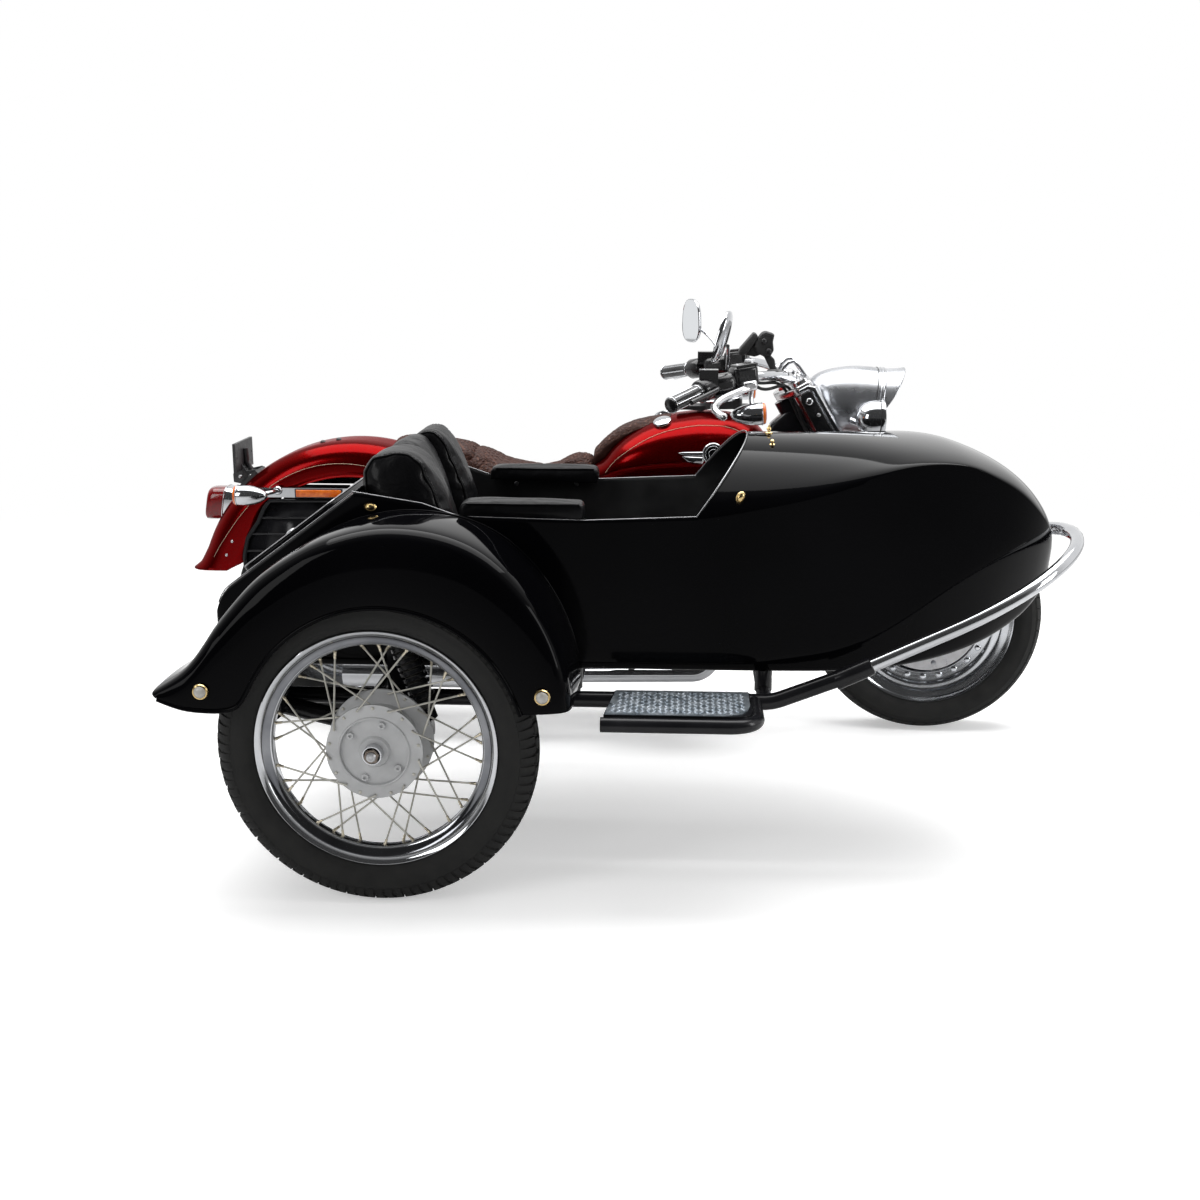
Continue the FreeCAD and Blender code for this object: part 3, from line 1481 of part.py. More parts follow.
def seat_cushion():
    """Passenger's seat cushion."""
    half = BODY_HALF_W - BODY_WALL - 14
    y0 = BODY_CENTRE_Y - half
    y1 = BODY_CENTRE_Y + half
    z = BENCH_Z + SEAT_GAP
    side = [(300, z), (780, z), (800, 580), (780, 640), (480, CUSHION_Z), (300, CUSHION_Z)]
    return plate_y(side, y0, y1)


def seat_back():
    """Passenger's high backrest of two bolsters on one board."""
    x = SEAT_X + SEAT_GAP
    z = CUSHION_Z + SEAT_GAP
    side = [
        (x, 846),
        (300, 905, 372, 930),
        (430, 950, 436, 880),
        (470, 760),
        (452, z),
        (x, z),
    ]
    return plate_y(side, BODY_CENTRE_Y - 236, BODY_CENTRE_Y + 236)


def armrests():
    """Padded rests on the cockpit's side edges."""
    x0, x1 = 488.0, 742.0
    side = [
        (x0, wall_top(x0) + SEAT_GAP),
        (x1, wall_top(x1) + SEAT_GAP),
        (x1 + 8, 795, x1 - 4, 810),
        (x0 + 10, 816),
        (x0 - 4, 800, x0, wall_top(x0) + SEAT_GAP),
    ]
    made = []
    for sense in (-1, 1):
        y = BODY_CENTRE_Y + sense * (BODY_HALF_W - 34)
        made.append(plate_y(side, y - 32, y + 32))
    return Part.makeCompound(made)


def marker_lamps():
    """Small round and oval marker lamps on body and fender."""
    made = []
    near = BODY_CENTRE_Y - BODY_HALF_W - SEAT_GAP
    made.append(rod(V(290, near, 809), V(290, near - 8, 809), 11))
    for x, z in ((-6, 472), (682, 472)):
        side = FENDER_OUTER_Y - SEAT_GAP
        made.append(rod(V(x, side, z), V(x, side - 12, z), 15))
    return Part.makeCompound(made)


# ---------------------------------------------------------------- build
NODES = (
    motorcycle_frame,
    swingarm,
    rear_axle,
    rear_tyre,
    rear_wheel_disc,
    rear_pulley,
    drive_belt,
    rear_fender,
    fender_rails,
    rear_lamps,
    plate_bracket,
    engine_case,
    engine_cylinders,
    primary_cover,
    air_cleaner,
    exhaust_system,
    fuel_tank,
    tank_console,
    rider_seat,
    pillion_seat,
    side_covers,
    rider_footboards,
    side_stand,
    fork_legs,
    front_axle,
    front_tyre,
    front_wheel_disc,
    front_brake_disc,
    triple_clamps,
    fork_covers,
    front_fender,
    handlebar,
    hand_grips,
    hand_controls,
    mirrors,
    headlamp_nacelle,
    headlamp_lens,
    passing_lamps,
    front_indicators,
    phone_mount,
    sidecar_body,
    boot_lid,
    sidecar_rim,
    sidecar_tyre,
    sidecar_hub,
    sidecar_spokes,
    sidecar_fender,
    sidecar_chassis,
    sidecar_swingarm,
    sidecar_shock,
    bumper_bar,
    sidecar_footboard,
    seat_cushion,
    seat_back,
    armrests,
    marker_lamps,
)

os.makedirs("parts", exist_ok=True)
for build in NODES:
    save(build.__name__, build())
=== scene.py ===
import bpy
import bmesh
import math
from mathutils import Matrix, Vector, noise


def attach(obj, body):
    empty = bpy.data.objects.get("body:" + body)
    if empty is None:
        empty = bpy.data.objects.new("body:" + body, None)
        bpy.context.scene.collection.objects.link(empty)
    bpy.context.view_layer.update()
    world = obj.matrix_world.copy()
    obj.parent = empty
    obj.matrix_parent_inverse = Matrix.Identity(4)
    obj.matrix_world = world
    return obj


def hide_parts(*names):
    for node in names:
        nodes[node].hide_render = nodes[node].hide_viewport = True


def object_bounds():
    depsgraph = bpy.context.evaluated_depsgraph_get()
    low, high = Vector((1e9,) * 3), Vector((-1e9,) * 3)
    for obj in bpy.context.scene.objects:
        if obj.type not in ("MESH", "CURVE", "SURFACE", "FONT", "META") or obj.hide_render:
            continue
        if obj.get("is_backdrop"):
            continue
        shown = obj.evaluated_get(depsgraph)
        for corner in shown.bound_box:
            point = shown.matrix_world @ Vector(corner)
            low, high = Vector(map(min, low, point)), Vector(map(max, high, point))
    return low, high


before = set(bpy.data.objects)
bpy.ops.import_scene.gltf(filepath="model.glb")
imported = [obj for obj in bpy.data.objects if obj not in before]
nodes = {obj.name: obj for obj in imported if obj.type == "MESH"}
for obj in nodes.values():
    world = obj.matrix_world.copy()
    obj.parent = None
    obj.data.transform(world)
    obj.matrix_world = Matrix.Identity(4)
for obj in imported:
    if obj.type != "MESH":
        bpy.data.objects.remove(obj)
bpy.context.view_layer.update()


# ---- Studio: white sweep, overhead soft box and the camera ------------------------------
# A plain paper-white studio with one wide soft box over the vehicle and two weak side
# panels.  The lacquer is black, so the room behind the camera is kept dim.
scene = bpy.context.scene
scene.view_settings.view_transform = "Standard"
MIDDLE_X = 757.0  # the vehicle's middle, in mm forward of the rear axle
MIDDLE_Y = -449.0  # and to the side of the motorcycle's centre line


def place(x, y, z):
    """Millimetres from the ground below the rear axle, as a point of the vehicle's frame."""
    return Vector(((x - MIDDLE_X) / 1000, (y - MIDDLE_Y) / 1000, z / 1000))


camera_data = bpy.data.cameras.new("studio_camera")
camera_data.lens = 45.457
camera_data.sensor_width = 36.0
camera_data.clip_end = 60.0
camera = bpy.data.objects.new("studio_camera", camera_data)
camera.location = place(959.1, -4200.6, 1351.8)
looks_down, turned_left = 13.339, 3.249  # degrees
camera.rotation_euler = (math.radians(90 - looks_down), 0.0, math.radians(turned_left))
scene.collection.objects.link(camera)
scene.camera = camera


def node_of(tree, kind, values=None, links=None, **plain):
    """A shader node with its properties, its sockets' values and its inputs' links set."""
    made = tree.nodes.new(kind)
    for name, value in plain.items():
        setattr(made, name, value)
    for name, value in (values or {}).items():
        made.inputs[name].default_value = value
    for name, source in (links or {}).items():
        tree.links.new(source, made.inputs[name])
    return made


def empty_tree(owner):
    """The node tree of a world or material, with nothing in it."""
    owner.use_nodes = True
    owner.node_tree.nodes.clear()
    return owner.node_tree


world = bpy.data.worlds.new("studio_room")
scene.world = world
tree = empty_tree(world)
rays = node_of(tree, "ShaderNodeLightPath").outputs
direction = node_of(tree, "ShaderNodeTexCoord")
split = node_of(tree, "ShaderNodeSeparateXYZ", None, {0: direction.outputs["Generated"]})
depth = node_of(
    tree, "ShaderNodeMapRange",
    {"From Min": -0.55, "From Max": 0.25, "To Min": 0.05, "To Max": 1.0},
    {"Value": split.outputs["Y"]},
)
seen = node_of(
    tree, "ShaderNodeMath", None,
    {0: rays["Is Glossy Ray"], 1: rays["Is Transmission Ray"]}, operation="MAXIMUM",
)
room = node_of(
    tree, "ShaderNodeMix", {"A": 0.42}, {"Factor": seen.outputs[0], "B": depth.outputs[0]},
    data_type="FLOAT",
)
white = node_of(
    tree, "ShaderNodeMix", {"B": 1.0}, {"Factor": rays["Is Camera Ray"], "A": room.outputs[0]},
    data_type="FLOAT",
)
background = node_of(
    tree, "ShaderNodeBackground", {"Color": (1, 1, 1, 1)}, {"Strength": white.outputs[0]}
)
node_of(tree, "ShaderNodeOutputWorld", None, {0: background.outputs[0]})

# The sweep: matt grey paper that looks white, and fades to a glowing white far away.
reach = 14.0
floor_mesh = bpy.data.meshes.new("studio_floor")
floor_corners = [(-reach, -reach, 0), (reach, -reach, 0), (reach, reach, 0), (-reach, reach, 0)]
floor_mesh.from_pydata(floor_corners, [], [(0, 1, 2, 3)])
floor = bpy.data.objects.new("studio_floor", floor_mesh)
scene.collection.objects.link(floor)
paper = bpy.data.materials.new("floor_paper")
tree = empty_tree(paper)
matt = node_of(tree, "ShaderNodeBsdfDiffuse", {"Color": (0.58, 0.58, 0.58, 1)})
pale = node_of(tree, "ShaderNodeBsdfDiffuse", {"Color": (0.90, 0.90, 0.90, 1)})
glow = node_of(tree, "ShaderNodeEmission", {"Strength": 0.40})
where = node_of(tree, "ShaderNodeTexCoord")
away = node_of(
    tree, "ShaderNodeVectorMath", None, {0: where.outputs["Object"]}, operation="LENGTH"
)
fade = node_of(
    tree, "ShaderNodeMapRange", {"From Min": 1.6, "From Max": 5.0},
    {"Value": away.outputs["Value"]}, interpolation_type="SMOOTHSTEP",
)
sweep = node_of(tree, "ShaderNodeEmission")
rays = node_of(tree, "ShaderNodeLightPath").outputs
mirrored = node_of(
    tree, "ShaderNodeMath", {1: 0.3}, {0: rays["Is Glossy Ray"]}, operation="MULTIPLY"
)
seen = node_of(
    tree, "ShaderNodeMath", None, {0: rays["Is Camera Ray"], 1: mirrored.outputs[0]},
    operation="MAXIMUM",
)
seen_through = node_of(
    tree, "ShaderNodeMath", None, {0: seen.outputs[0], 1: rays["Is Transmission Ray"]},
    operation="MAXIMUM",
)
near_lit = node_of(tree, "ShaderNodeAddShader", None, {0: pale.outputs[0], 1: glow.outputs[0]})
lit = node_of(
    tree, "ShaderNodeMixShader", None,
    {0: fade.outputs[0], 1: near_lit.outputs[0], 2: sweep.outputs[0]},
)
choice = node_of(
    tree, "ShaderNodeMixShader", None,
    {0: seen_through.outputs[0], 1: matt.outputs[0], 2: lit.outputs[0]},
)
node_of(tree, "ShaderNodeOutputMaterial", None, {0: choice.outputs[0]})
floor_mesh.materials.append(paper)
floor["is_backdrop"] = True

for name, spot, aim, width, height, power in (
    ("top_softbox", (0.0, 0.6, 3.4), (0.0, 0.0, 0.0), 5.0, 3.0, 210.0),
    ("front_panel", (-3.2, -3.6, 2.2), (0.0, 0.0, 0.5), 1.2, 2.4, 42.0),
    ("nose_panel", (4.2, -1.2, 1.8), (0.4, 0.0, 0.6), 1.0, 2.2, 46.0),
):
    lamp_data = bpy.data.lights.new(name, "AREA")
    lamp_data.shape = "RECTANGLE"
    lamp_data.size = width
    lamp_data.size_y = height
    lamp_data.energy = power
    lamp = bpy.data.objects.new(name, lamp_data)
    lamp.location = spot
    lamp.rotation_euler = (Vector(aim) - Vector(spot)).to_track_quat("-Z", "Y").to_euler()
    scene.collection.objects.link(lamp)


# ---- Motorcycle frame, swingarm and stand: welded steel tube -----------------------------
# The cradle, swingarm and sidecar chassis are round steel tube, welded and then stove
# enamelled gloss black.  The enamel is thick, so it shows a faint ripple and dulls where
# boots and road grit reach it.
def finish(
    name, colour, second, rough=(0.3, 0.4), metal=0.0, coat=0.0, spread=14.0,
    grain=(0.0, 400.0), sheen=0.0, mirror=0.5,
):
    """A finish with drifting colour, uneven gloss and a fine grain, from object space."""
    made = bpy.data.materials.new(name)
    made.use_nodes = True
    tree = made.node_tree
    shader = tree.nodes["Principled BSDF"].inputs
    for socket, value in (
        ("Metallic", metal), ("Coat Weight", coat), ("Coat Roughness", 0.02),
        ("Sheen Weight", sheen), ("Specular IOR Level", mirror),
    ):
        shader[socket].default_value = value
    where = node_of(tree, "ShaderNodeTexCoord").outputs["Object"]
    drift = node_of(
        tree, "ShaderNodeTexNoise", {"Scale": spread, "Detail": 5.0}, {"Vector": where}
    ).outputs["Fac"]
    ramp = node_of(tree, "ShaderNodeValToRGB", None, {0: drift})
    for stop, position, shade in zip(ramp.color_ramp.elements, (0.35, 0.72), (colour, second)):
        stop.position = position
        stop.color = (*shade, 1)
    tree.links.new(ramp.outputs[0], shader["Base Color"])
    gloss = node_of(
        tree, "ShaderNodeMapRange",
        {"From Min": 0.3, "From Max": 0.7, "To Min": rough[0], "To Max": rough[1]},
        {"Value": drift},
    )
    tree.links.new(gloss.outputs[0], shader["Roughness"])
    depth, scale = grain
    if depth:
        fine = node_of(
            tree, "ShaderNodeTexNoise", {"Scale": scale, "Detail": 3.0}, {"Vector": where}
        )
        bump_normal(tree, shader, fine.outputs["Fac"], depth, 0.001)
    return made


def bump_normal(tree, shader, height, strength, distance, under=None):
    """Raises a surface by a height texture, on top of another relief if one is given."""
    links = {"Height": height}
    if under is not None:
        links["Normal"] = under
    values = {"Strength": strength, "Distance": distance}
    relief = node_of(tree, "ShaderNodeBump", values, links).outputs[0]
    if shader is not None:
        tree.links.new(relief, shader["Normal"])
    return relief


def coat_node(name, material, edge=0.0, angle=35.0):
    """Gives a frame piece its finish, smooth curves and, where asked, softened edges."""
    piece = nodes[name]
    piece.data.materials.clear()
    piece.data.materials.append(material)
    piece.data.polygons.foreach_set("use_smooth", [True] * len(piece.data.polygons))
    piece.data.set_sharp_from_angle(angle=math.radians(angle))
    if edge:
        bevel = piece.modifiers.new("soft_edge", "BEVEL")
        bevel.width = edge
        bevel.segments = 2
        bevel.limit_method = "ANGLE"
        bevel.angle_limit = math.radians(40)
        bevel.harden_normals = True


enamel = finish(
    "frame_enamel", (0.006, 0.006, 0.007), (0.014, 0.014, 0.016), (0.10, 0.24), mirror=0.25,
    spread=9.0, grain=(0.06, 160.0),
)
for name in (
    "motorcycle_frame", "swingarm", "side_stand", "side_covers", "sidecar_swingarm",
    "sidecar_chassis",
):
    coat_node(name, enamel)


# ---- Engine, primary cover, exhaust: castings, plating and rubber ------------------------
# A sand-cast, satin V-twin sits in the cradle with polished and plated covers; it is held
# by the frame's cross tubes.  Most of it is hidden behind the sidecar.
casting = finish(
    "satin_casting", (0.30, 0.30, 0.31), (0.42, 0.42, 0.43), (0.35, 0.55), metal=0.9,
    spread=30.0, grain=(0.35, 500.0),
)
chrome = finish(
    "chrome_plate", (0.52, 0.53, 0.55), (0.65, 0.66, 0.68), (0.04, 0.12), metal=0.97,
    spread=6.0, grain=(0.01, 60.0),
)
bare_steel = finish(
    "bare_steel", (0.42, 0.42, 0.43), (0.55, 0.55, 0.56), (0.25, 0.42), metal=1.0,
    spread=40.0, grain=(0.12, 700.0),
)
moulded_rubber = finish(
    "moulded_rubber", (0.010, 0.010, 0.011), (0.022, 0.022, 0.022), (0.55, 0.75),
    spread=25.0, grain=(0.25, 600.0),
)
for material, names in (
    (casting, ("engine_case", "engine_cylinders")),
    (chrome, ("primary_cover", "air_cleaner", "exhaust_system")),
    (moulded_rubber, ("drive_belt", "rider_footboards")),
    (bare_steel, ("rear_pulley", "front_brake_disc", "rear_axle", "front_axle")),
):
    for name in names:
        coat_node(name, material)


# ---- Sidecar body: glass-fibre shell with a vinyl lining ---------------------------------
# The tub, cowl and tail are one hand-laid glass-fibre moulding, rubbed down and sprayed in
# deep black two-pack lacquer.  Its edges carry a bright piping, and the inside of the
# cockpit is lined with black vinyl.
def between(table, x, column):
    """Value of one column at x, on a smooth curve that never overshoots its table."""
    rows = [(row[0], row[column]) for row in table]
    if x <= rows[0][0]:
        return rows[0][1]
    if x >= rows[-1][0]:
        return rows[-1][1]
    slopes = [(b[1] - a[1]) / (b[0] - a[0]) for a, b in zip(rows, rows[1:])]
    k = next(i for i in range(len(slopes)) if x <= rows[i + 1][0])

    def tangent(i):
        if i == 0:
            return slopes[0]
        if i == len(slopes):
            return slopes[-1]
        if slopes[i - 1] * slopes[i] <= 0:
            return 0.0
        return 2 * slopes[i - 1] * slopes[i] / (slopes[i - 1] + slopes[i])

    (x0, v0), (x1, v1) = rows[k], rows[k + 1]
    step = x1 - x0
    t = (x - x0) / step
    return (
        v0 * (1 + 2 * t) * (1 - t) ** 2
        + tangent(k) * step * t * (1 - t) ** 2
        + v1 * t * t * (3 - 2 * t)
        + tangent(k + 1) * step * t * t * (t - 1)
    )


def soften(mesh):
    """Shades every face of a mesh smooth."""
    mesh.polygons.foreach_set("use_smooth", [True] * len(mesh.polygons))


def set_out(name, data, body):
    """An object of the vehicle from its mesh or curve, riding on one body."""
    made = bpy.data.objects.new(name, data)
    scene.collection.objects.link(made)
    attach(made, body)
    return made


def piece(name, points, faces, material, body="chassis", sharp=32.0):
    """A mesh piece of the vehicle, from points in metres, riding on one body."""
    mesh = bpy.data.meshes.new(name)
    mesh.from_pydata([tuple(point) for point in points], [], faces)
    mesh.materials.append(material)
    mesh.validate()
    soften(mesh)
    mesh.set_sharp_from_angle(angle=math.radians(sharp))
    return set_out(name, mesh, body)


def grid_faces(rows, columns, closed=False):
    """Quads between the points of a grid kept row by row."""
    made = []
    for r in range(rows - 1):
        for c in range(columns if closed else columns - 1):
            d = (c + 1) % columns
            here, after = r * columns, (r + 1) * columns
            made.append((here + c, here + d, after + d, after + c))
    return made


def prism_faces(count):
    """Faces of a block between two loops of count points: first loop, second loop, walls."""
    walls = grid_faces(2, count, True)
    return [tuple(range(count)), tuple(range(2 * count - 1, count - 1, -1))] + walls


def tidy(made):
    """Welds a piece's seams and turns its faces outward."""
    work = bmesh.new()
    work.from_mesh(made.data)
    bmesh.ops.remove_doubles(work, verts=work.verts, dist=0.00005)
    bmesh.ops.recalc_face_normals(work, faces=work.faces)
    work.to_mesh(made.data)
    work.free()


def thicken(made, thickness, offset=-1.0):
    """Gives a skin its sheet thickness."""
    solid = made.modifiers.new("sheet", "SOLIDIFY")
    solid.thickness = thickness
    solid.offset = offset
    solid.use_even_offset = True
    return solid


def subdivide(made, name, levels):
    """Smooths a skin by subdivision."""
    smooth = made.modifiers.new(name, "SUBSURF")
    smooth.levels = smooth.render_levels = levels


def wire(name, points, radius, material, body="chassis", smooth=False, closed=False, sides=4):
    """A round bar, bead or tube laid through points in metres."""
    data = bpy.data.curves.new(name, "CURVE")
    data.dimensions = "3D"
    data.bevel_depth = radius
    data.bevel_resolution = sides
    data.use_fill_caps = True
    spline = data.splines.new("NURBS" if smooth else "POLY")
    spline.points.add(len(points) - 1)
    for slot, point in zip(spline.points, points):
        slot.co = (*point, 1.0)
    if smooth:
        spline.order_u = 4
        spline.use_endpoint_u = not closed
        spline.resolution_u = 6
    spline.use_cyclic_u = closed
    data.materials.append(material)
    return set_out(name, data, body)


BODY_Y = -752.5
COCKPIT_BACK = 254.0
COCKPIT_FRONT = 985.0
TAIL_TOP = 831.0
NOSE_X = 1788.0
BODY_TABLE = (  # x, half width, floor z, keel half width, belly crease z, side top z, crown z
    (-62.0, 280.0, 442.0, 268.0, 470.0, 556.0, 562.0),
    (-52.0, 288.0, 442.0, 276.0, 464.0, 582.0, 588.0),
    (-38.0, 291.5, 442.0, 279.0, 462.0, 603.0, 609.0),
    (-10.0, 292.5, 442.0, 280.0, 462.0, 628.0, 635.6),
    (COCKPIT_BACK, 292.5, 442.0, 280.0, 462.0, 823.0, TAIL_TOP),
    (COCKPIT_FRONT, 292.5, 442.0, 280.0, 462.0, 784.0, 928.0),
    (1100.0, 292.5, 442.0, 280.0, 466.0, 803.0, 928.0),
    (1200.0, 292.5, 442.0, 278.0, 480.0, 824.0, 928.0),
    (1300.0, 291.0, 442.0, 272.0, 496.0, 852.0, 927.0),
    (1400.0, 286.0, 446.0, 254.0, 544.0, 886.0, 922.0),
    (1480.0, 276.0, 454.0, 228.0, 598.0, 899.0, 918.0),
    (1550.0, 258.0, 466.0, 198.0, 642.0, 893.0, 910.0),
    (1620.0, 229.0, 486.0, 164.0, 676.0, 862.0, 888.0),
    (1680.0, 192.0, 512.0, 124.0, 694.0, 826.0, 856.0),
    (1725.0, 152.0, 540.0, 92.0, 700.0, 784.0, 818.0),
    (1758.0, 112.0, 572.0, 64.0, 700.0, 744.0, 776.0),
    (1778.0, 72.0, 600.0, 40.0, 682.0, 712.0, 738.0),
    (NOSE_X, 36.0, 624.0, 20.0, 668.0, 690.0, 704.0),
)
COCKPIT_EDGE = (  # x and z of the cockpit's side edge
    (COCKPIT_BACK, TAIL_TOP), (399, 808), (480, 780), (748, 774), (COCKPIT_FRONT, 784),
)
TAIL_RISE = (TAIL_TOP - 515.0) / (COCKPIT_BACK + 173.0)


def body_at(x):
    """Half width, floor, keel, belly, side and crown at x; the tail's top is a flat slope."""
    half, floor_z, keel, belly, side, crown = (
        between(BODY_TABLE, x, column) for column in range(1, 7)
    )
    if x <= COCKPIT_BACK:
        crown = min(TAIL_TOP - TAIL_RISE * (COCKPIT_BACK - x), crown + 4)
        side = crown - 8
    return half, floor_z, keel, belly, side, crown


def edge_z(x):
    """Height of the cockpit's side edge."""
    for (x0, z0), (x1, z1) in zip(COCKPIT_EDGE, COCKPIT_EDGE[1:]):
        if x <= x1:
            return z0 + (z1 - z0) * (x - x0) / (x1 - x0)
    return COCKPIT_EDGE[-1][1]


def cowl_rise(share):
    """Height of the cowl's arch, where share runs from 0 at the crown to 1 at a side."""
    return max(0.0, 1 - share ** 2.1) ** 0.62


def cowl_start(share):
    """x of the cowl's raked rear edge at a share of its half width."""
    return COCKPIT_FRONT + 113.0 * cowl_rise(share)


STATIONS = (
    -62, -60, -56, -50, -42, -32, -20, -6, 40, 110, 175, 215, 250, 254, 300, 350, 399, 440,
    480, 600, 748, 870, 978, 985, 1000, 1040, 1090, 1150, 1210, 1270, 1330, 1390, 1440, 1490,
    1530, 1570, 1605, 1640, 1670, 1698, 1722, 1742, 1758, 1770, 1780, 1786, 1788,
)
WALL_SHARES = [k / 7 for k in (1, 3, 5, 6.4)]
DECK = (0.985, 0.93, 0.74, 0.5, 0.25, 0.0)
BELLY_POINT, EDGE_POINT, LID_POINT = 4, 10, 13  # of the points of one ring, from the keel up
LID_OPENING_END = 175
points = []
rings = []
for x in STATIONS:
    half, floor_z, keel, belly, side, crown = body_at(x)
    top = edge_z(x) if COCKPIT_BACK <= x <= COCKPIT_FRONT else side
    waist = belly + 5
    lower = [
        (0.0, floor_z), (keel * 0.55, floor_z), (keel * 0.96, floor_z + 0.5),
        (keel, floor_z + 3), (half - 1.5, belly), (half, waist),
    ]
    lower += [(half, waist + (top - waist) * share) for share in WALL_SHARES] + [(half, top)]
    ring = [(x, y, z) for y, z in lower]
    for share in DECK:
        if x <= COCKPIT_BACK:
            inner = {0.985: half - 5, 0.93: half - 16}.get(share, 215.0 * share / 0.74)
            ring.append((x, inner, crown if share < 0.98 else side + 5.5))
        elif x >= COCKPIT_FRONT:
            start = cowl_start(share)
            along = (x - COCKPIT_FRONT) / (NOSE_X - COCKPIT_FRONT)
            deck_x = start + along * (NOSE_X - start)
            half_d, _, _, _, side_d, crown_d = body_at(deck_x)
            ring.append((deck_x, half_d * share, side_d + (crown_d - side_d) * cowl_rise(share)))
    rings.append(ring)
index = {}


def corner(ring, j, mirrored):
    """Number of one ring point on its near or far side, made when first used."""
    x, y, z = rings[ring][j]
    key = (ring, j, mirrored and y > 1e-6)
    if key not in index:
        index[key] = len(points)
        points.append(place(x, BODY_Y + (y if key[2] else -y), z))
    return index[key]


faces = []
for ring, x in enumerate(STATIONS[:-1]):
    for j in range(min(len(rings[ring]), len(rings[ring + 1])) - 1):
        if j >= EDGE_POINT and COCKPIT_BACK <= x < COCKPIT_FRONT:
            continue
        if j >= LID_POINT and x < LID_OPENING_END:
            continue
        for mirrored in (False, True):
            faces.append((
                corner(ring, j, mirrored), corner(ring, j + 1, mirrored),
                corner(ring + 1, j + 1, mirrored), corner(ring + 1, j, mirrored),
            ))
for ring in (0, len(rings) - 1):
    last = len(rings[ring])
    faces.append(
        [corner(ring, j, False) for j in range(last)]
        + [corner(ring, j, True) for j in range(last - 2, 0, -1)]
    )

lacquer = finish(
    "black_lacquer", (0.0012, 0.0012, 0.0016), (0.0024, 0.0024, 0.003), (0.04, 0.09), mirror=0.05,
    spread=3.0, grain=(0.012, 90.0),
)
vinyl = finish(
    "black_vinyl_lining", (0.010, 0.010, 0.011), (0.020, 0.020, 0.021), (0.42, 0.60),
    spread=18.0, grain=(0.35, 900.0),
)
shell = piece("sidecar_shell", points, faces, lacquer)
tidy(shell)
shell.data.materials.append(vinyl)
soften(shell.data)


def middle_key(a, b):
    """The rounded middle of an edge, to know it again after the shell was welded."""
    return tuple(round(v, 4) for v in (a + b) / 2)


# The belly and the shoulder are creased; the shoulder's crease fades toward the nose.
crease_keys = {}
for ring, x in enumerate(STATIONS[:-1]):
    fade = max(0.0, min(1.0, (1640.0 - x) / 500.0))
    belly_weight = 0.2 if x > 1700 else 0.55
    for j, weight in (
        (BELLY_POINT, belly_weight), (BELLY_POINT + 1, 0.25), (EDGE_POINT, 0.35 + 0.6 * fade)
    ):
        for mirrored in (False, True):
            ends = [index.get((station, j, mirrored)) for station in (ring, ring + 1)]
            if None not in ends:
                crease_keys[middle_key(*(points[end] for end in ends))] = weight
values = [0.0] * len(shell.data.edges)
for edge in shell.data.edges:
    ends = (shell.data.vertices[v].co for v in edge.vertices)
    values[edge.index] = crease_keys.get(middle_key(*ends), 0.0)
work = bmesh.new()
work.from_mesh(shell.data)
for edge in work.edges:
    if len(edge.link_faces) == 1:
        values[edge.index] = 1.0
work.free()
crease = shell.data.attributes.new("crease_edge", "FLOAT", "EDGE")
crease.data.foreach_set("value", values)
thicken(shell, 0.003).material_offset = 1
subdivide(shell, "smooth_skin", 2)
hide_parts("sidecar_body")


# ---- Cockpit trim: piping, bulkhead, bench and lining studs ------------------------------
# Bright aluminium piping is pressed over the raw edge of the cockpit, the cowl and the
# tail.  The bulkhead and seat board are plywood panels wrapped in the same black vinyl and
# screwed to the tub.
piping = finish(
    "bright_piping", (0.26, 0.26, 0.27), (0.38, 0.38, 0.39), (0.28, 0.40), metal=1.0,
    spread=30.0, grain=(0.03, 300.0),
)
SIDES = (("near", -1), ("far", 1))  # the sidecar wheel's side, and the motorcycle's
EDGE_HALF = 290.5  # half the cockpit's width at the middle of its edge
for name, side in SIDES:
    run = []
    for x in (250, 300, 350, 399, 440, 480, 560, 650, 748, 830, 910, 985):
        run.append(place(x, BODY_Y + side * EDGE_HALF, edge_z(x) + 0.7))
    wire("cockpit_piping_" + name, run, 0.0013, piping)
    run = []
    for x in (-56, -48, -38, -24, -8, 60, 120, 180, 250):
        half, _, _, _, _, crown = body_at(x)
        run.append(place(x, BODY_Y + side * (half - 9), crown + 1.0))
    wire("tail_piping_" + name, run, 0.0012, piping)
run = []
for k in range(-16, 17):
    share = abs(k) / 16
    x = cowl_start(share)
    half, _, _, _, side_z, crown = body_at(x)
    y = half * share * (1 if k > 0 else -1)
    run.append(place(x - 1, BODY_Y + y, side_z + (crown - side_z) * cowl_rise(share) + 0.5))
wire("cowl_piping", run, 0.0014, piping)


def rounded(made, name, width, segments=1):
    """Rounds a piece's sharp edges."""
    soft = made.modifiers.new(name, "BEVEL")
    soft.width = width
    soft.segments = segments
    soft.limit_method = "ANGLE"


def panel(name, corners, thickness, material, body="chassis", bend=0.004):
    """A flat board through its corner points, with rounded edges."""
    made = piece(name, corners, [tuple(range(len(corners)))], material, body)
    thicken(made, thickness, 0.0)
    rounded(made, "round_edge", bend, 3)
    return made


BOARD_HALF = 285.0
BOARD_THICK = 0.008
for name, (x0, z0), (x1, z1) in (
    ("cockpit_bulkhead", (254, 506), (254, 820)),
    ("seat_board", (254, 508), (786, 508)),
    ("seat_board_front", (786, 449), (786, 508)),
):
    ends = (
        (x0, -BOARD_HALF, z0), (x0, BOARD_HALF, z0), (x1, BOARD_HALF, z1), (x1, -BOARD_HALF, z1)
    )
    if name == "seat_board":
        ends = (ends[0], ends[3], ends[2], ends[1])
    panel(name, [place(x, BODY_Y + y, z) for x, y, z in ends], BOARD_THICK, vinyl)


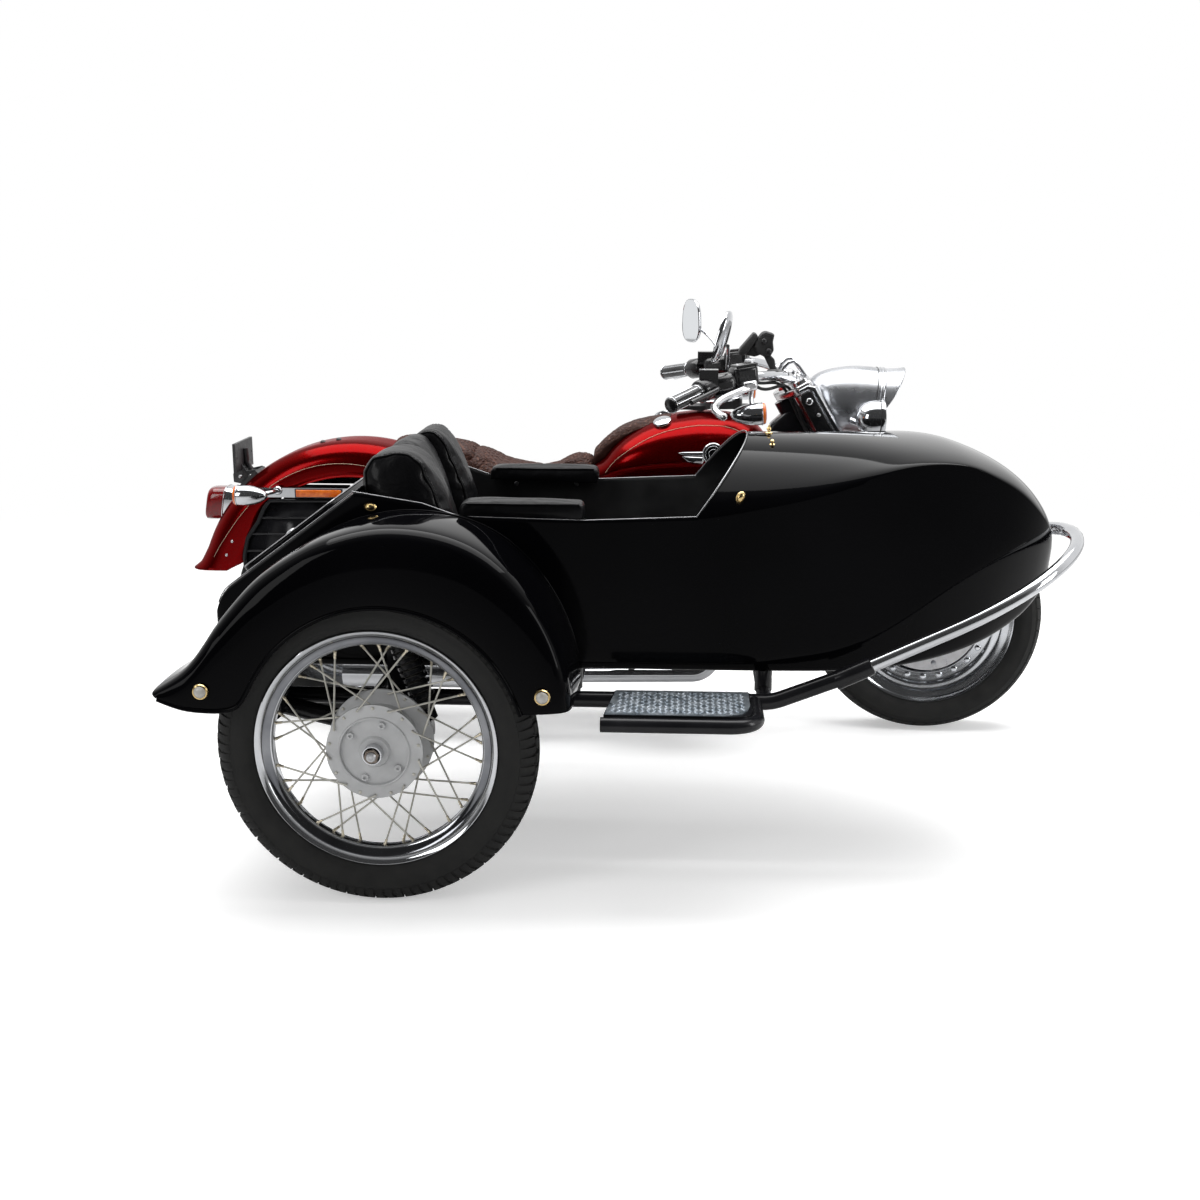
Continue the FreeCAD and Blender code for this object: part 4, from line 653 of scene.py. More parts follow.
def facing(axis):
    """The turn that brings an upright piece round to an axis."""
    return Vector((0, 0, 1)).rotation_difference(Vector(axis)).to_matrix()


def turns(steps):
    """Angles in equal steps once round a circle."""
    return [2 * math.pi * s / steps for s in range(steps)]


def studs(name, spots, axis, radius, height, material, body="chassis", steps=24):
    """A set of low domed heads, as one piece: studs, rivets, screw heads or bolt heads."""
    turn = facing(axis)
    rows = 5
    points = []
    faces = []
    for spot in spots:
        base = len(points)
        faces += [tuple(base + v for v in quad) for quad in grid_faces(rows, steps, True)]
        for r in range(rows):
            a = math.pi / 2 * r / (rows - 1)
            for b in turns(steps):
                level = radius * math.cos(a) * math.cos(b), radius * math.cos(a) * math.sin(b)
                points.append(spot + turn @ Vector((*level, height * math.sin(a))))
    made = piece(name, points, faces, material, body, 60)
    tidy(made)
    return made


lining_spots = [place(538, BODY_Y + 286, 761), place(689, BODY_Y + 286, 762)]
studs("lining_studs", lining_spots, (0, -1, 0), 0.006, 0.003, piping)


# ---- Boot lid: pressed panel on two chrome hinges ----------------------------------------
# The lid is a flat lacquered pressing with a rolled edge and bright piping, hung on two
# plated knuckle hinges beside the motorcycle, with a round key lock on the other side.
LID_LOW, LID_HIGH = -4.0, 205.0  # its lower and upper edge, as x
LID_HALF = 245.0
LID_CORNER = 26.0
slope = Vector((1, 0, TAIL_RISE)).normalized()
slope_up = Vector((-TAIL_RISE, 0, 1)).normalized()


def on_tail(x, y, lift):
    """Point above the sloping tail: x on the slope, y from its middle, lift in mm."""
    at = place(x, BODY_Y + y, TAIL_TOP - TAIL_RISE * (COCKPIT_BACK - x))
    return at + slope_up * (lift / 1000)


outline = []
for cx, cy, start in (
    (LID_HIGH - LID_CORNER, LID_HALF - LID_CORNER, 0),
    (LID_LOW + LID_CORNER, LID_HALF - LID_CORNER, 90),
    (LID_LOW + LID_CORNER, -LID_HALF + LID_CORNER, 180),
    (LID_HIGH - LID_CORNER, -LID_HALF + LID_CORNER, 270),
):
    for k in range(7):
        a = math.radians(start + 15 * k)
        outline.append((cx + LID_CORNER * math.cos(a), cy + LID_CORNER * math.sin(a)))
points = []
for inset, lift in ((0, 1.2), (0, 8.0), (2.0, 11.5), (6.0, 13.0), (30.0, 12.6), (34.0, 11.2)):
    for x, y in outline:
        share_x = (x - 100.5) / 104.5
        share_y = y / LID_HALF
        points.append(on_tail(x - share_x * inset, y - share_y * inset, lift))
around = len(outline)
faces = grid_faces(6, around, True)
faces += [tuple(range(5 * around, 6 * around)), tuple(range(around - 1, -1, -1))]
lid = piece("boot_lid_pressing", points, faces, lacquer, "boot_lid_panel", 50)
tidy(lid)
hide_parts("boot_lid")
bead = [on_tail(x * 0.985 + 1.5, y * 0.985, 12.6) for x, y in outline]
wire("boot_lid_piping", bead, 0.0019, piping, "boot_lid_panel", closed=True)
HINGE_Y = LID_HALF + 6.5
for number, x in enumerate((42.0, 156.0)):
    at = on_tail(x, HINGE_Y, 7.0)
    for name, start, end, body in (
        ("lid_knuckle_", -16.0, 16.0, "boot_lid_panel"),
        ("ear_low_", -28.5, -16.5, "chassis"),
        ("ear_high_", 16.5, 28.5, "chassis"),
    ):
        pin = [at + slope * (start / 1000), at + slope * (end / 1000)]
        wire(name + str(number), pin, 0.0055, chrome, body, sides=6)
    leaf = [
        on_tail(x, HINGE_Y + across, 13.2) + slope * (along / 1000)
        for along, across in ((-26, -44), (26, -44), (26, -2), (-26, -2))
    ]
    panel("lid_hinge_leaf_" + str(number), leaf, 0.0025, chrome, "boot_lid_panel", 0.001)
    screws = [on_tail(x, HINGE_Y - 34, 14.2) + slope * (s / 1000) for s in (-16, 0, 16)]
    studs(
        "lid_hinge_screws_" + str(number), screws, slope_up, 0.0045, 0.0018, chrome,
        "boot_lid_panel", 16,
    )
studs("lid_lock", [on_tail(100, -205, 12.4)], slope_up, 0.013, 0.006, chrome, "boot_lid_panel", 32)


# ---- Sidecar fender and marker lamps: rolled steel, lacquered ----------------------------
# A deep steel fender is rolled to shape, wired at its wheel opening and bolted to the tub.
# Its tail runs out in a flared point.  Pearl marker lamps in brass bezels sit at each end.
CREST = (  # the fender's outline from its tail to its front foot, as (x, z)
    (-114, 467), (-84, 484), (-46, 510), (-15, 550), (9, 588), (33, 620), (77, 671), (116, 707),
    (180, 748), (228, 773), (288, 793), (348, 804), (407, 804), (465, 796), (524, 779),
    (582, 747), (640, 692), (688, 624), (717, 558), (733, 495), (741, 434),
)
OPENING = [  # the edge over the wheel, with as many points
    (-98, 453), (-74, 443), (-46, 433), (-12, 430), (18, 429), (44, 431), (71, 440),
]
ARC_BACK, ARC_FRONT = 154.0, 14.6  # degrees, of its round part
ARC_X, ARC_Z, ARC_RADIUS = 355, 357, 292
for k in range(14):
    a = math.radians(ARC_BACK - (ARC_BACK - ARC_FRONT) * k / 13)
    OPENING.append((ARC_X + ARC_RADIUS * math.cos(a), ARC_Z + ARC_RADIUS * math.sin(a)))
OUTSIDE_Y = -1334.0
WALL_Y = BODY_Y - 293.5
SECTION = (  # share of the way from opening to crest, y, extra height
    (0.00, OUTSIDE_Y + 3.0, 0.0),
    (0.03, OUTSIDE_Y, 0.0),
    (0.25, OUTSIDE_Y - 1.0, 0.0),
    (0.60, OUTSIDE_Y + 1.0, 0.0),
    (0.84, OUTSIDE_Y + 8.0, 0.0),
    (0.95, OUTSIDE_Y + 22.0, 0.0),
    (1.00, OUTSIDE_Y + 48.0, 0.0),
    (1.00, OUTSIDE_Y + 110.0, 1.5),
    (1.00, OUTSIDE_Y + 200.0, 0.0),
    (1.00, WALL_Y - 14.0, -8.0),
    (1.00, WALL_Y, -12.0),
)
points = []
for k, ((ox, oz), (ix, iz)) in enumerate(zip(CREST, OPENING)):
    for share, y, lift in SECTION:
        flare = 5.0 * max(0.0, 1 - k / 2.0) if share < 0.9 else 0.0
        across = y - flare * 0.3
        points.append(place(ix + (ox - ix) * share, across, iz + (oz - iz) * share + lift))
fender = piece("sidecar_fender_skin", points, grid_faces(len(CREST), len(SECTION)), lacquer)
tidy(fender)
thicken(fender, 0.003)
subdivide(fender, "smooth_skin", 2)
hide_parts("sidecar_fender")
wired_edge = [place(x, OUTSIDE_Y + 1.5, z) for x, z in OPENING]
wire("fender_wired_edge", wired_edge, 0.0048, lacquer, smooth=True)
crest_edge = [place(x, WALL_Y - 3, z - 10) for x, z in CREST[1:-1]]
wire("fender_crest_edge", crest_edge, 0.003, lacquer, smooth=True)

brass = finish(
    "polished_brass", (0.62, 0.45, 0.20), (0.74, 0.56, 0.28), (0.12, 0.26), metal=1.0,
    spread=60.0, grain=(0.05, 500.0),
)
pearl = finish(
    "pearl_lens", (0.40, 0.385, 0.35), (0.56, 0.55, 0.52), (0.10, 0.20), coat=0.5,
    spread=80.0, grain=(0.0, 100.0),
)


def lathe(name, profile, centre, axis, material, body="chassis", steps=48, sharp=30.0):
    """A turned piece: profile of (radius, distance along the axis) in mm from centre."""
    turn = facing(axis)
    points = []
    for radius, height in profile:
        for a in turns(steps):
            local = Vector((radius * math.cos(a), radius * math.sin(a), height)) / 1000
            points.append(centre + turn @ local)
    made = piece(name, points, grid_faces(len(profile), steps, True), material, body, sharp)
    tidy(made)
    made.data.set_sharp_from_angle(angle=math.radians(sharp))
    return made


for number, x in enumerate((-6.0, 682.0)):
    at = place(x, OUTSIDE_Y - 1.0, 472.0)
    lathe(
        "fender_lamp_bezel_" + str(number),
        [(8, 0), (15.5, 0), (16.5, 2), (16.5, 5), (15, 7.5), (12.6, 8.2), (12.0, 6.5)],
        at, (0, -1, 0), brass,
    )
    lens = lathe(
        "fender_lamp_lens_" + str(number),
        [(12.4, 5.5), (12.2, 8), (10.2, 10.5), (6.5, 12.4), (2.5, 13.2), (0.01, 13.3)],
        at, (0, -1, 0), pearl,
    )
    if number == 0:
        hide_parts("marker_lamps")

# Oval brass markers on the body's side, each with a pearl middle.
OVAL_LONG, OVAL_WIDE = 13.5, 9.0
PEARL_REACH = 0.0048
OVAL_PROFILE = (  # share of the outline, height off the body in mm
    (1.0, 0.0), (1.0, 3.0), (0.90, 4.6), (0.74, 4.2), (0.66, 5.4), (0.36, 7.2), (0.01, 7.6),
)
for number, (x, z, tilt) in enumerate(((290.0, 800.0, -8.0), (1075.0, 828.0, 62.0))):
    y = BODY_Y - 292.0
    c, d = math.cos(math.radians(tilt)), math.sin(math.radians(tilt))
    points = []
    for grow, out in OVAL_PROFILE:
        for a in turns(36):
            u = OVAL_LONG * grow * math.cos(a)
            w = OVAL_WIDE * grow * math.sin(a)
            points.append(place(x + u * c - w * d, y - out, z + u * d + w * c))
    faces = grid_faces(len(OVAL_PROFILE), 36, True)
    plaque = piece("oval_marker_" + str(number), points, faces, brass)
    tidy(plaque)
    plaque.data.materials.append(pearl)
    for face in plaque.data.polygons:
        if (Vector(face.center) - place(x, y, z)).length < PEARL_REACH:
            face.material_index = 1
lathe(
    "cowl_finial",
    [(13, 0), (13, 1.5), (10, 3), (5, 4), (4, 8), (7, 10), (8, 13), (6, 16.5), (3, 18), (3, 20.5),
     (4.6, 22), (4.0, 25), (1.5, 27), (0.01, 27.4)],
    place(1149.0, BODY_Y - 108.0, 901.0), (0, -0.2, 1), brass, steps=28,
)
lathe(
    "cowl_filler_cap",
    [(9, 0), (9, 1.5), (7, 3), (3.6, 4), (3, 7), (5.4, 9), (5, 12), (2.4, 15), (1, 19),
     (0.01, 20)],
    place(1147.0, BODY_Y, body_at(1147)[5] - 1.0), (0, 0, 1), brass, steps=28,
)


# ---- Bumper, footboard, shock and swingarm bush ------------------------------------------
# The nose bumper is one chromed steel tube pushed into black sleeves on the chassis.  The
# step is a sheet of aluminium tread plate laid in a frame of bent black tube, and the
# shock's damper wears a ribbed rubber sleeve.
BUMPER_SLOPE = 0.472
BUMPER_HALF = 327.0
BUMPER_ROUND_X = 1515.0


def bumper_at(x, y):
    """A point of the bumper's sloping plane, in metres."""
    return place(x, BODY_Y - 2.5 + y, 456 + (x - 1316) * BUMPER_SLOPE)


STRAIGHT = (1300, 1360, 1420, 1470)
loop = [bumper_at(x, -BUMPER_HALF) for x in STRAIGHT]
for k in range(33):
    a = math.pi * k / 32
    x = BUMPER_ROUND_X + BUMPER_HALF * math.sin(a)
    loop.append(bumper_at(x, -BUMPER_HALF * math.cos(a)))
loop += [bumper_at(x, BUMPER_HALF) for x in reversed(STRAIGHT)]
bumper = wire("bumper_tube", loop, 0.0150, chrome)
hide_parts("bumper_bar")
for name, side in SIDES:
    lathe(
        "bumper_sleeve_" + name,
        [(14.9, 0), (19.0, 0), (20.5, 4), (20.5, 70), (19.6, 84), (17.6, 86), (15.0, 86)],
        bumper_at(1282, side * BUMPER_HALF), Vector((1, 0, BUMPER_SLOPE)), enamel,
    )

# The tread plate: a flat sheet with raised lozenges, laid crosswise by turns.
coat_node("sidecar_footboard", enamel)
tread = finish(
    "tread_plate", (0.28, 0.33, 0.38), (0.50, 0.54, 0.58), (0.25, 0.5), metal=0.85,
    spread=60.0, grain=(0.25, 900.0),
)
outline = [
    (802, -1279), (1046, -1279), (1078, -1268), (1092, -1240), (1098, -1206), (1098, -1112),
    (818, -1112),
]
PLATE_TOP = 422.2
points = [place(x, y, z) for z in (PLATE_TOP - 2.0, PLATE_TOP) for x, y in outline]
faces = [tuple(range(6, -1, -1)), tuple(range(7, 14))] + grid_faces(2, 7, True)


def inside(x, y):
    """Whether a point lies on the tread plate."""
    hits = 0
    for (x0, y0), (x1, y1) in zip(outline, outline[1:] + outline[:1]):
        if (y0 > y) != (y1 > y) and x < x0 + (y - y0) * (x1 - x0) / (y1 - y0):
            hits += 1
    return hits % 2 == 1


LOZENGE = (  # along, across and up from its middle: four corners and the two ends of its ridge
    (-7.6, 0, 0), (0, -2.4, 0), (7.6, 0, 0), (0, 2.4, 0), (-3.6, 0, 1.5), (3.6, 0, 1.5),
)
LOZENGE_FACES = ((0, 1, 4), (1, 5, 4), (1, 2, 5), (2, 3, 5), (3, 4, 5), (3, 0, 4))
LOZENGE_PITCH = 12.0
for row in range(14):
    for column in range(26):
        x = 806 + column * LOZENGE_PITCH
        y = -1274 + row * LOZENGE_PITCH
        if not all(inside(x + dx, y + dy) for dx, dy in ((-9, 0), (9, 0), (0, -9), (0, 9))):
            continue
        turn = math.radians(45 if (row + column) % 2 else -45)
        base = len(points)
        for along, across, up in LOZENGE:
            px = x + along * math.cos(turn) - across * math.sin(turn)
            py = y + along * math.sin(turn) + across * math.cos(turn)
            points.append(place(px, py, 422.1 + up))
        faces += [tuple(base + v for v in face) for face in LOZENGE_FACES]
step = piece("footboard_tread_plate", points, faces, tread, sharp=20)

# The sleeve is drawn over the damper from near its foot to near its top.
low = place(430.0, -1147.0, 354.0)
top = place(345.0, -1116.0, 566.0)
length = (top - low).length * 1000
RIB = ((19.5, 0.0), (22.0, 0.16), (27.2, 0.40), (28.0, 0.5), (27.2, 0.60), (22.0, 0.84))
RIB_COUNT = 11
RIB_START = 40.0
pitch = (length - 78.0) / RIB_COUNT
ribs = [(15.5, RIB_START - 6), (19.0, RIB_START - 4)]
for k in range(RIB_COUNT):
    s = RIB_START + pitch * k
    ribs += [(radius, s + pitch * share) for radius, share in RIB]
ribs += [(19.5, length - 34), (15.5, length - 30)]
dusty_rubber = finish(
    "dusty_rubber", (0.045, 0.042, 0.038), (0.10, 0.095, 0.086), (0.6, 0.8), spread=30.0,
    grain=(0.3, 500.0),
)
along = (top - low).normalized()
bellows = lathe("damper_sleeve", ribs, low, along, dusty_rubber, steps=40, sharp=70)
coat_node("sidecar_shock", enamel)
for name, side in SIDES:
    lathe(
        "pivot_bush_" + name,
        [(10.4, 0), (24, 0), (26, 2), (26, 5), (21, 7), (14, 7.4), (10.6, 7)],
        place(86.0, -1147.0 + side * 28.2, 394.0), (0, side, 0), moulded_rubber,
    )


# ---- Tyres: moulded rubber with cut tread ------------------------------------------------
# Three black tyres, moulded in one piece over wired beads.  The sidecar's carries square
# block tread whose lugs run over its shoulders; the motorcycle's carry long slanted bars.
tyre_rubber = finish(
    "tyre_rubber", (0.010, 0.010, 0.010), (0.022, 0.022, 0.021), (0.62, 0.85),
    spread=24.0, grain=(0.3, 700.0), mirror=0.3,
)
REAR_AXLE = (0.0, 0.0, 326.0)
FRONT_AXLE = (1640.0, 0.0, 321.0)
CAR_AXLE = (332.0, -1249.0, 335.6)


def round_wheel(axle, radius, y, angle):
    """Point at a radius and angle round an axle, y mm along it."""
    return place(
        axle[0] + radius * math.cos(angle), axle[1] + y, axle[2] + radius * math.sin(angle)
    )


def tread_block(points, faces, axle, span, turn, slant, top_at, depth):
    """One block of tread between two y values and two angles, with drafted sides."""
    y0, y1 = span
    a0, a1 = turn
    rows = max(2, round((a1 - a0) / math.radians(2.2)))
    columns = 3

    def spot(i, j):
        y = y0 + (y1 - y0) * j / columns
        return y, a0 + (a1 - a0) * i / rows + slant * (y - y0)

    base = len(points)
    for i in range(rows + 1):
        for j in range(columns + 1):
            y, a = spot(i, j)
            points.append(round_wheel(axle, top_at(y), y, a))
    for i in range(rows):
        for j in range(columns):
            k = base + i * (columns + 1) + j
            faces.append((k, k + 1, k + columns + 2, k + columns + 1))
    loop = [(0, j) for j in range(columns)] + [(i, columns) for i in range(rows)]
    loop += [(rows, j) for j in range(columns, 0, -1)] + [(i, 0) for i in range(rows, 0, -1)]
    low = len(points)
    for i, j in loop:  # the block's foot, drafted outward and sunk into the carcass
        y, a = spot(i, j)
        a += {0: -0.003, rows: 0.003}.get(i, 0.0)
        y += {0: -0.7, columns: 0.7}.get(j, 0.0) * (1 if y1 > y0 else -1)
        points.append(round_wheel(axle, top_at(y) - depth - 1.2, y, a))
    upper = [base + i * (columns + 1) + j for i, j in loop]
    for n, here in enumerate(upper):
        m = (n + 1) % len(loop)
        faces.append((here, upper[m], low + m, low + n))


def moulded_tyre(name, node, body, axle, outer, crown_r, depth, wall, rows):
    """A tyre: its carcass turned about the axle, with the rows of tread blocks on it."""

    def top_at(y):
        return outer - crown_r + math.sqrt(crown_r ** 2 - y ** 2)

    shoulder = wall[-1][1]
    arc = [-shoulder + shoulder * k / 6 for k in range(1, 12)]
    profile = [(r, -y) for r, y in wall]
    profile += [(top_at(y) - depth, y) for y in arc]
    profile += [(r, y) for r, y in reversed(wall)]
    steps = 180
    sharp = 38
    points = []
    for radius, y in profile:
        points += [round_wheel(axle, radius, y, a) for a in turns(steps)]
    faces = grid_faces(len(profile), steps, True)
    last = (len(profile) - 1) * steps
    for s in range(steps):
        after = (s + 1) % steps
        faces.append((last + s, last + after, after, s))
    for count, y0, y1, share, slant_deg, lead in rows:
        pitch = 2 * math.pi / count
        for side in (-1, 1) if y0 > 0 else (1,):
            for k in range(count):
                start = pitch * (k + lead + (0.5 if side > 0 and y0 > 0 else 0.0))
                tread_block(
                    points, faces, axle, (y0 * side, y1 * side), (start, start + pitch * share),
                    math.radians(slant_deg) * side, top_at, depth,
                )
    made = piece(name, points, faces, tyre_rubber, body, sharp)
    tidy(made)
    made.data.set_sharp_from_angle(angle=math.radians(sharp))
    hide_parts(node)


# Sidewalls as (radius, y) from the bead to the shoulder.  Tread rows: blocks round the
# tyre, inner y, outer y, share of the pitch filled, slant in degrees a mm, lead in pitches.
moulded_tyre(
    "sidecar_block_tyre", "sidecar_tyre", "sidecar_wheel", CAR_AXLE, 335.6, 51.1, 5.0,
    (
        (246, 20.5), (252.4, 25.6), (255.2, 31.6), (259, 35.2), (261, 36.0), (262.6, 38.2),
        (270, 41.8), (279, 44.6), (288, 45.7), (297, 45.2), (299, 45.9), (301, 44.8), (308, 42.6),
    ),
    (
        (66, -6.5, 6.5, 0.70, 0.06, 0.0),
        (66, 9.5, 20.5, 0.68, -0.05, 0.25),
        (99, 23.5, 45.4, 0.60, 0.0, 0.0),
    ),
)
moulded_tyre(
    "front_road_tyre", "front_tyre", "front_wheel", FRONT_AXLE, 321.0, 98.0, 4.5,
    (
        (233, 42.5), (239.2, 42.9), (241, 48.6), (245, 54.5), (248, 55.8), (251, 60.0),
        (260, 65.4), (270, 67.6), (282, 67.0), (284, 67.5), (286, 66.0), (293, 63.4),
    ),
    (
        (40, -9.0, 9.0, 0.93, 0.10, 0.0),
        (60, 11.5, 31.0, 0.90, 0.13, 0.3),
        (60, 33.5, 59.5, 0.90, 0.07, 0.0),
    ),
)
moulded_tyre(
    "rear_road_tyre", "rear_tyre", "rear_wheel", REAR_AXLE, 326.0, 108.0, 4.5,
    (
        (223, 46.5), (229.2, 46.9), (231, 52.6), (236, 60.0), (239, 61.6), (243, 67.0),
        (254, 72.4), (266, 74.6), (280, 73.8), (282, 74.2), (284, 72.6), (294, 69.4),
    ),
    (
        (36, -14.0, 14.0, 0.93, 0.08, 0.0),
        (56, 17.0, 38.0, 0.90, 0.12, 0.3),
        (56, 41.0, 65.5, 0.90, 0.06, 0.0),
    ),
)


# ---- Motorcycle wheels: spun aluminium discs ---------------------------------------------
# Each wheel is two spun and polished aluminium dishes on a rolled rim, held together by a
# ring of large round rivets.  The spinning leaves faint circles in the polish.
def spun_metal(name, axle, colour, second):
    """Polished metal with fine turning marks round one axle."""
    made = finish(name, colour, second, (0.10, 0.20), metal=1.0, spread=7.0)
    tree = made.node_tree
    where = node_of(tree, "ShaderNodeTexCoord").outputs["Object"]
    from_axle = node_of(
        tree, "ShaderNodeVectorMath", {1: place(*axle)}, {0: where}, operation="SUBTRACT"
    )
    flat = node_of(
        tree, "ShaderNodeVectorMath", {1: (1, 0, 1)}, {0: from_axle.outputs[0]},
        operation="MULTIPLY",
    )
    far = node_of(tree, "ShaderNodeVectorMath", None, {0: flat.outputs[0]}, operation="LENGTH")
    lines = node_of(
        tree, "ShaderNodeTexNoise", None, {"W": far.outputs["Value"]}, noise_dimensions="1D"
    )
    lines.inputs["Scale"].default_value = 900.0
    lines.inputs["Detail"].default_value = 2.0
    shader = tree.nodes["Principled BSDF"].inputs
    bump_normal(tree, shader, lines.outputs["Fac"], 0.10, 0.0006)
    return made


def spun_disc(name, node, body, axle, rim_r, half, hub_half, material):
    """A disc wheel: both dishes, rim and hub turned in one profile, and its rivets."""
    rivet_ring, rivet_count, rivet_face = rim_r - 60, 24, 19.6
    side = [
        (12.6, hub_half), (30, hub_half), (34.5, hub_half - 2), (36, hub_half - 5), (36, 24),
        (39, 19.5), (60, 17), (rim_r - 84, 14.2), (rim_r - 79, 15), (rim_r - 75, 19),
        (rim_r - 72, 20), (rim_r - 48, 20), (rim_r - 44, 21.5), (rim_r - 41, 26),
        (rim_r - 35, 28.5), (rim_r - 29, 28), (rim_r - 24, 30), (rim_r - 21, half - 13),
        (rim_r - 14, half - 9.5), (rim_r - 6, half - 8.5), (rim_r - 1, half - 5.5),
        (rim_r + 4, half - 1), (rim_r + 6.8, half - 0.1), (rim_r + 7, half - 2),
        (rim_r + 6.6, half - 4.7), (rim_r - 0.4, half - 5.1),
    ]
    profile = [(r, -y) for r, y in side] + [(r, y) for r, y in reversed(side)]
    profile.append(profile[0])
    made = lathe(name, profile, place(*axle), (0, 1, 0), material, body, 120, 28)
    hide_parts(node)
    for number, face in enumerate((-1, 1)):
        spots = [
            round_wheel(axle, rivet_ring, face * rivet_face, math.radians(15 * k))
            for k in range(rivet_count)
        ]
        heads = studs(
            name + "_rivets_" + str(number), spots, (0, face, 0), 0.0095, 0.005, material, body
        )


for name, axle, rim_r, half, hub_half in (
    ("front", FRONT_AXLE, 232.0, 48.0, 62.0), ("rear", REAR_AXLE, 222.0, 52.0, 104.0)
):
    metal = spun_metal("spun_aluminium_" + name, axle, (0.66, 0.68, 0.71), (0.76, 0.78, 0.81))
    spun_disc(
        name + "_spun_wheel", name + "_wheel_disc", name + "_wheel", axle, rim_r, half, hub_half,
        metal,
    )


# ---- Sidecar wheel: wire spokes between a drum hub and a chromed rim ---------------------
# A rolled and chromed steel rim is laced to a sand-cast aluminium drum with galvanised
# spokes, drawn up by brass nipples.  The drum's cover is held by four screws.
side = [
    (217.9, 0.0), (217.9, 7.2), (219.2, 12.0), (222.8, 15.2), (230, 17.4), (236.4, 19.4),
    (239.0, 22.4), (241.6, 26.6), (246.4, 29.8), (250.2, 31.7), (251.8, 31.2), (252.1, 29.2),
    (250.8, 27.4), (247.0, 25.8), (243.4, 21.4), (240.4, 17.2), (227.8, 13.8), (224.2, 8.0),
    (224.2, 0.0),
]
profile = [(r, -y) for r, y in side] + [(r, y) for r, y in reversed(side[:-1])]
hub_at = place(*CAR_AXLE)
rim = lathe(
    "sidecar_chrome_rim", profile, hub_at, (0, 1, 0), chrome, "sidecar_wheel", 144, 40
)
# The rim's well gets a darker copy of the chrome: painted shade in the rim's hollow, not a finish
# of its own.
painted_shade_well = finish(
    "well_chrome_painted_shade", (0.16, 0.165, 0.18), (0.30, 0.305, 0.32), (0.05, 0.14), metal=1.0,
    spread=9.0, grain=(0.02, 120.0),
)
rim.data.materials.append(painted_shade_well)
SHADED_WELL_LOW, SHADED_WELL_HIGH = 0.2235, 0.2385  # between these radii the rim's well carries painted shade, a darker copy of the chrome
for face in rim.data.polygons:
    spot = face.center - hub_at
    if SHADED_WELL_LOW < math.hypot(spot.x, spot.z) < SHADED_WELL_HIGH:
        face.material_index = 1
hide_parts("sidecar_rim")

galvanised = finish(
    "galvanised_spoke", (0.50, 0.49, 0.44), (0.66, 0.64, 0.58), (0.3, 0.5), metal=0.45,
    spread=90.0, grain=(0.1, 900.0),
)
sand_cast = finish(
    "sand_cast_aluminium", (0.50, 0.505, 0.51), (0.60, 0.605, 0.61), (0.45, 0.62), metal=0.2,
    spread=26.0, grain=(0.4, 800.0),
)
coat_node("sidecar_spokes", galvanised)
coat_node("sidecar_hub", sand_cast)
NIPPLE = (  # radius and distance from the rim, in metres
    (0.0035, 0.0), (0.0035, 0.005), (0.0029, 0.0058), (0.0027, 0.0150), (0.0021, 0.0160),
)
HUB_FLANGES = (  # middle y, radius the spokes are hooked at, outward side, turn of the first
    (-39.0, 93.0, -1, 0.0), (39.0, 103.0, 1, 10.0),
)
RIM_INSIDE = 217.4
SPOKE_SWEEP = math.radians(38.0)  # how far round its rim end lies from its hub end
points = []
faces = []
heads = {-1: [], 1: []}
for flange_y, hub_r, outward, first in HUB_FLANGES:
    for k in range(9):
        for lean in (-1, 1):
            a = math.radians(first + 40.0 * k + 10.0 * lean)
            b = a + SPOKE_SWEEP * lean
            off = 9.0 if lean * outward > 0 else 6.5
            foot = round_wheel(CAR_AXLE, hub_r, flange_y + lean * off, a)
            tip = round_wheel(CAR_AXLE, RIM_INSIDE, 3.2 * outward + 1.4 * lean, b)
            heads[-lean].append(round_wheel(CAR_AXLE, hub_r, flange_y - lean * 4.4, a))
            turn = facing((foot - tip).normalized())
            base = len(points)
            for radius, along in NIPPLE:
                for c in turns(8):
                    local = Vector((radius * math.cos(c), radius * math.sin(c), along))
                    points.append(tip + turn @ local)
            faces += [tuple(base + v for v in q) for q in grid_faces(len(NIPPLE), 8, True)]
            faces.append(tuple(range(base, base + 8)))
nipple_plate = finish(
    "nickelled_brass", (0.58, 0.52, 0.40), (0.72, 0.66, 0.52), (0.2, 0.35), metal=0.8,
    spread=120.0, grain=(0.1, 900.0),
)
tidy(piece("spoke_nipples", points, faces, nipple_plate, "sidecar_wheel", 50))
for name, side in SIDES:
    studs(
        "spoke_heads_" + name, heads[side], (0, side, 0), 0.0036, 0.0022, galvanised,
        "sidecar_wheel", 12,
    )

for name, profile in (
    ("ring", [(70.2, 37.9), (70.2, 45.2), (71.4, 46.8), (73.4, 46.8), (74.6, 45.2),
              (75.2, 43.8)]),
    ("plate", [(27, 41.0), (31, 39.4), (34, 38.9), (66, 38.9), (68.4, 39.2), (69.6, 40.4),
               (69.6, 37.6)]),
):
    lathe("hub_cover_" + name, profile, hub_at, (0, -1, 0), sand_cast, "sidecar_wheel", 96)
for number, angle in enumerate((73.0, 145.0, 249.0, 325.0)):
    at = round_wheel(CAR_AXLE, 59.0, 0.0, math.radians(angle))
    lathe(
        "hub_screw_boss_" + str(number),
        [(7.6, 38.5), (7.4, 45.4), (6.6, 46.2), (3.4, 46.2), (3.2, 45.6), (3.2, 42.4),
         (0.01, 42.2)],
        at, (0, -1, 0), sand_cast, "sidecar_wheel", 24,
    )
lathe(
    "axle_sleeve",
    [(17.4, 46.2), (19.6, 46.4), (20.4, 48), (20.4, 66), (19.6, 67.6), (17.4, 67.8)],
    hub_at, (0, -1, 0), chrome, "chassis", 48,
)
nut_steel = finish(
    "oiled_nut_steel", (0.16, 0.13, 0.11), (0.30, 0.26, 0.22), (0.25, 0.45), metal=1.0,
    spread=70.0, grain=(0.2, 700.0),
)
points = []
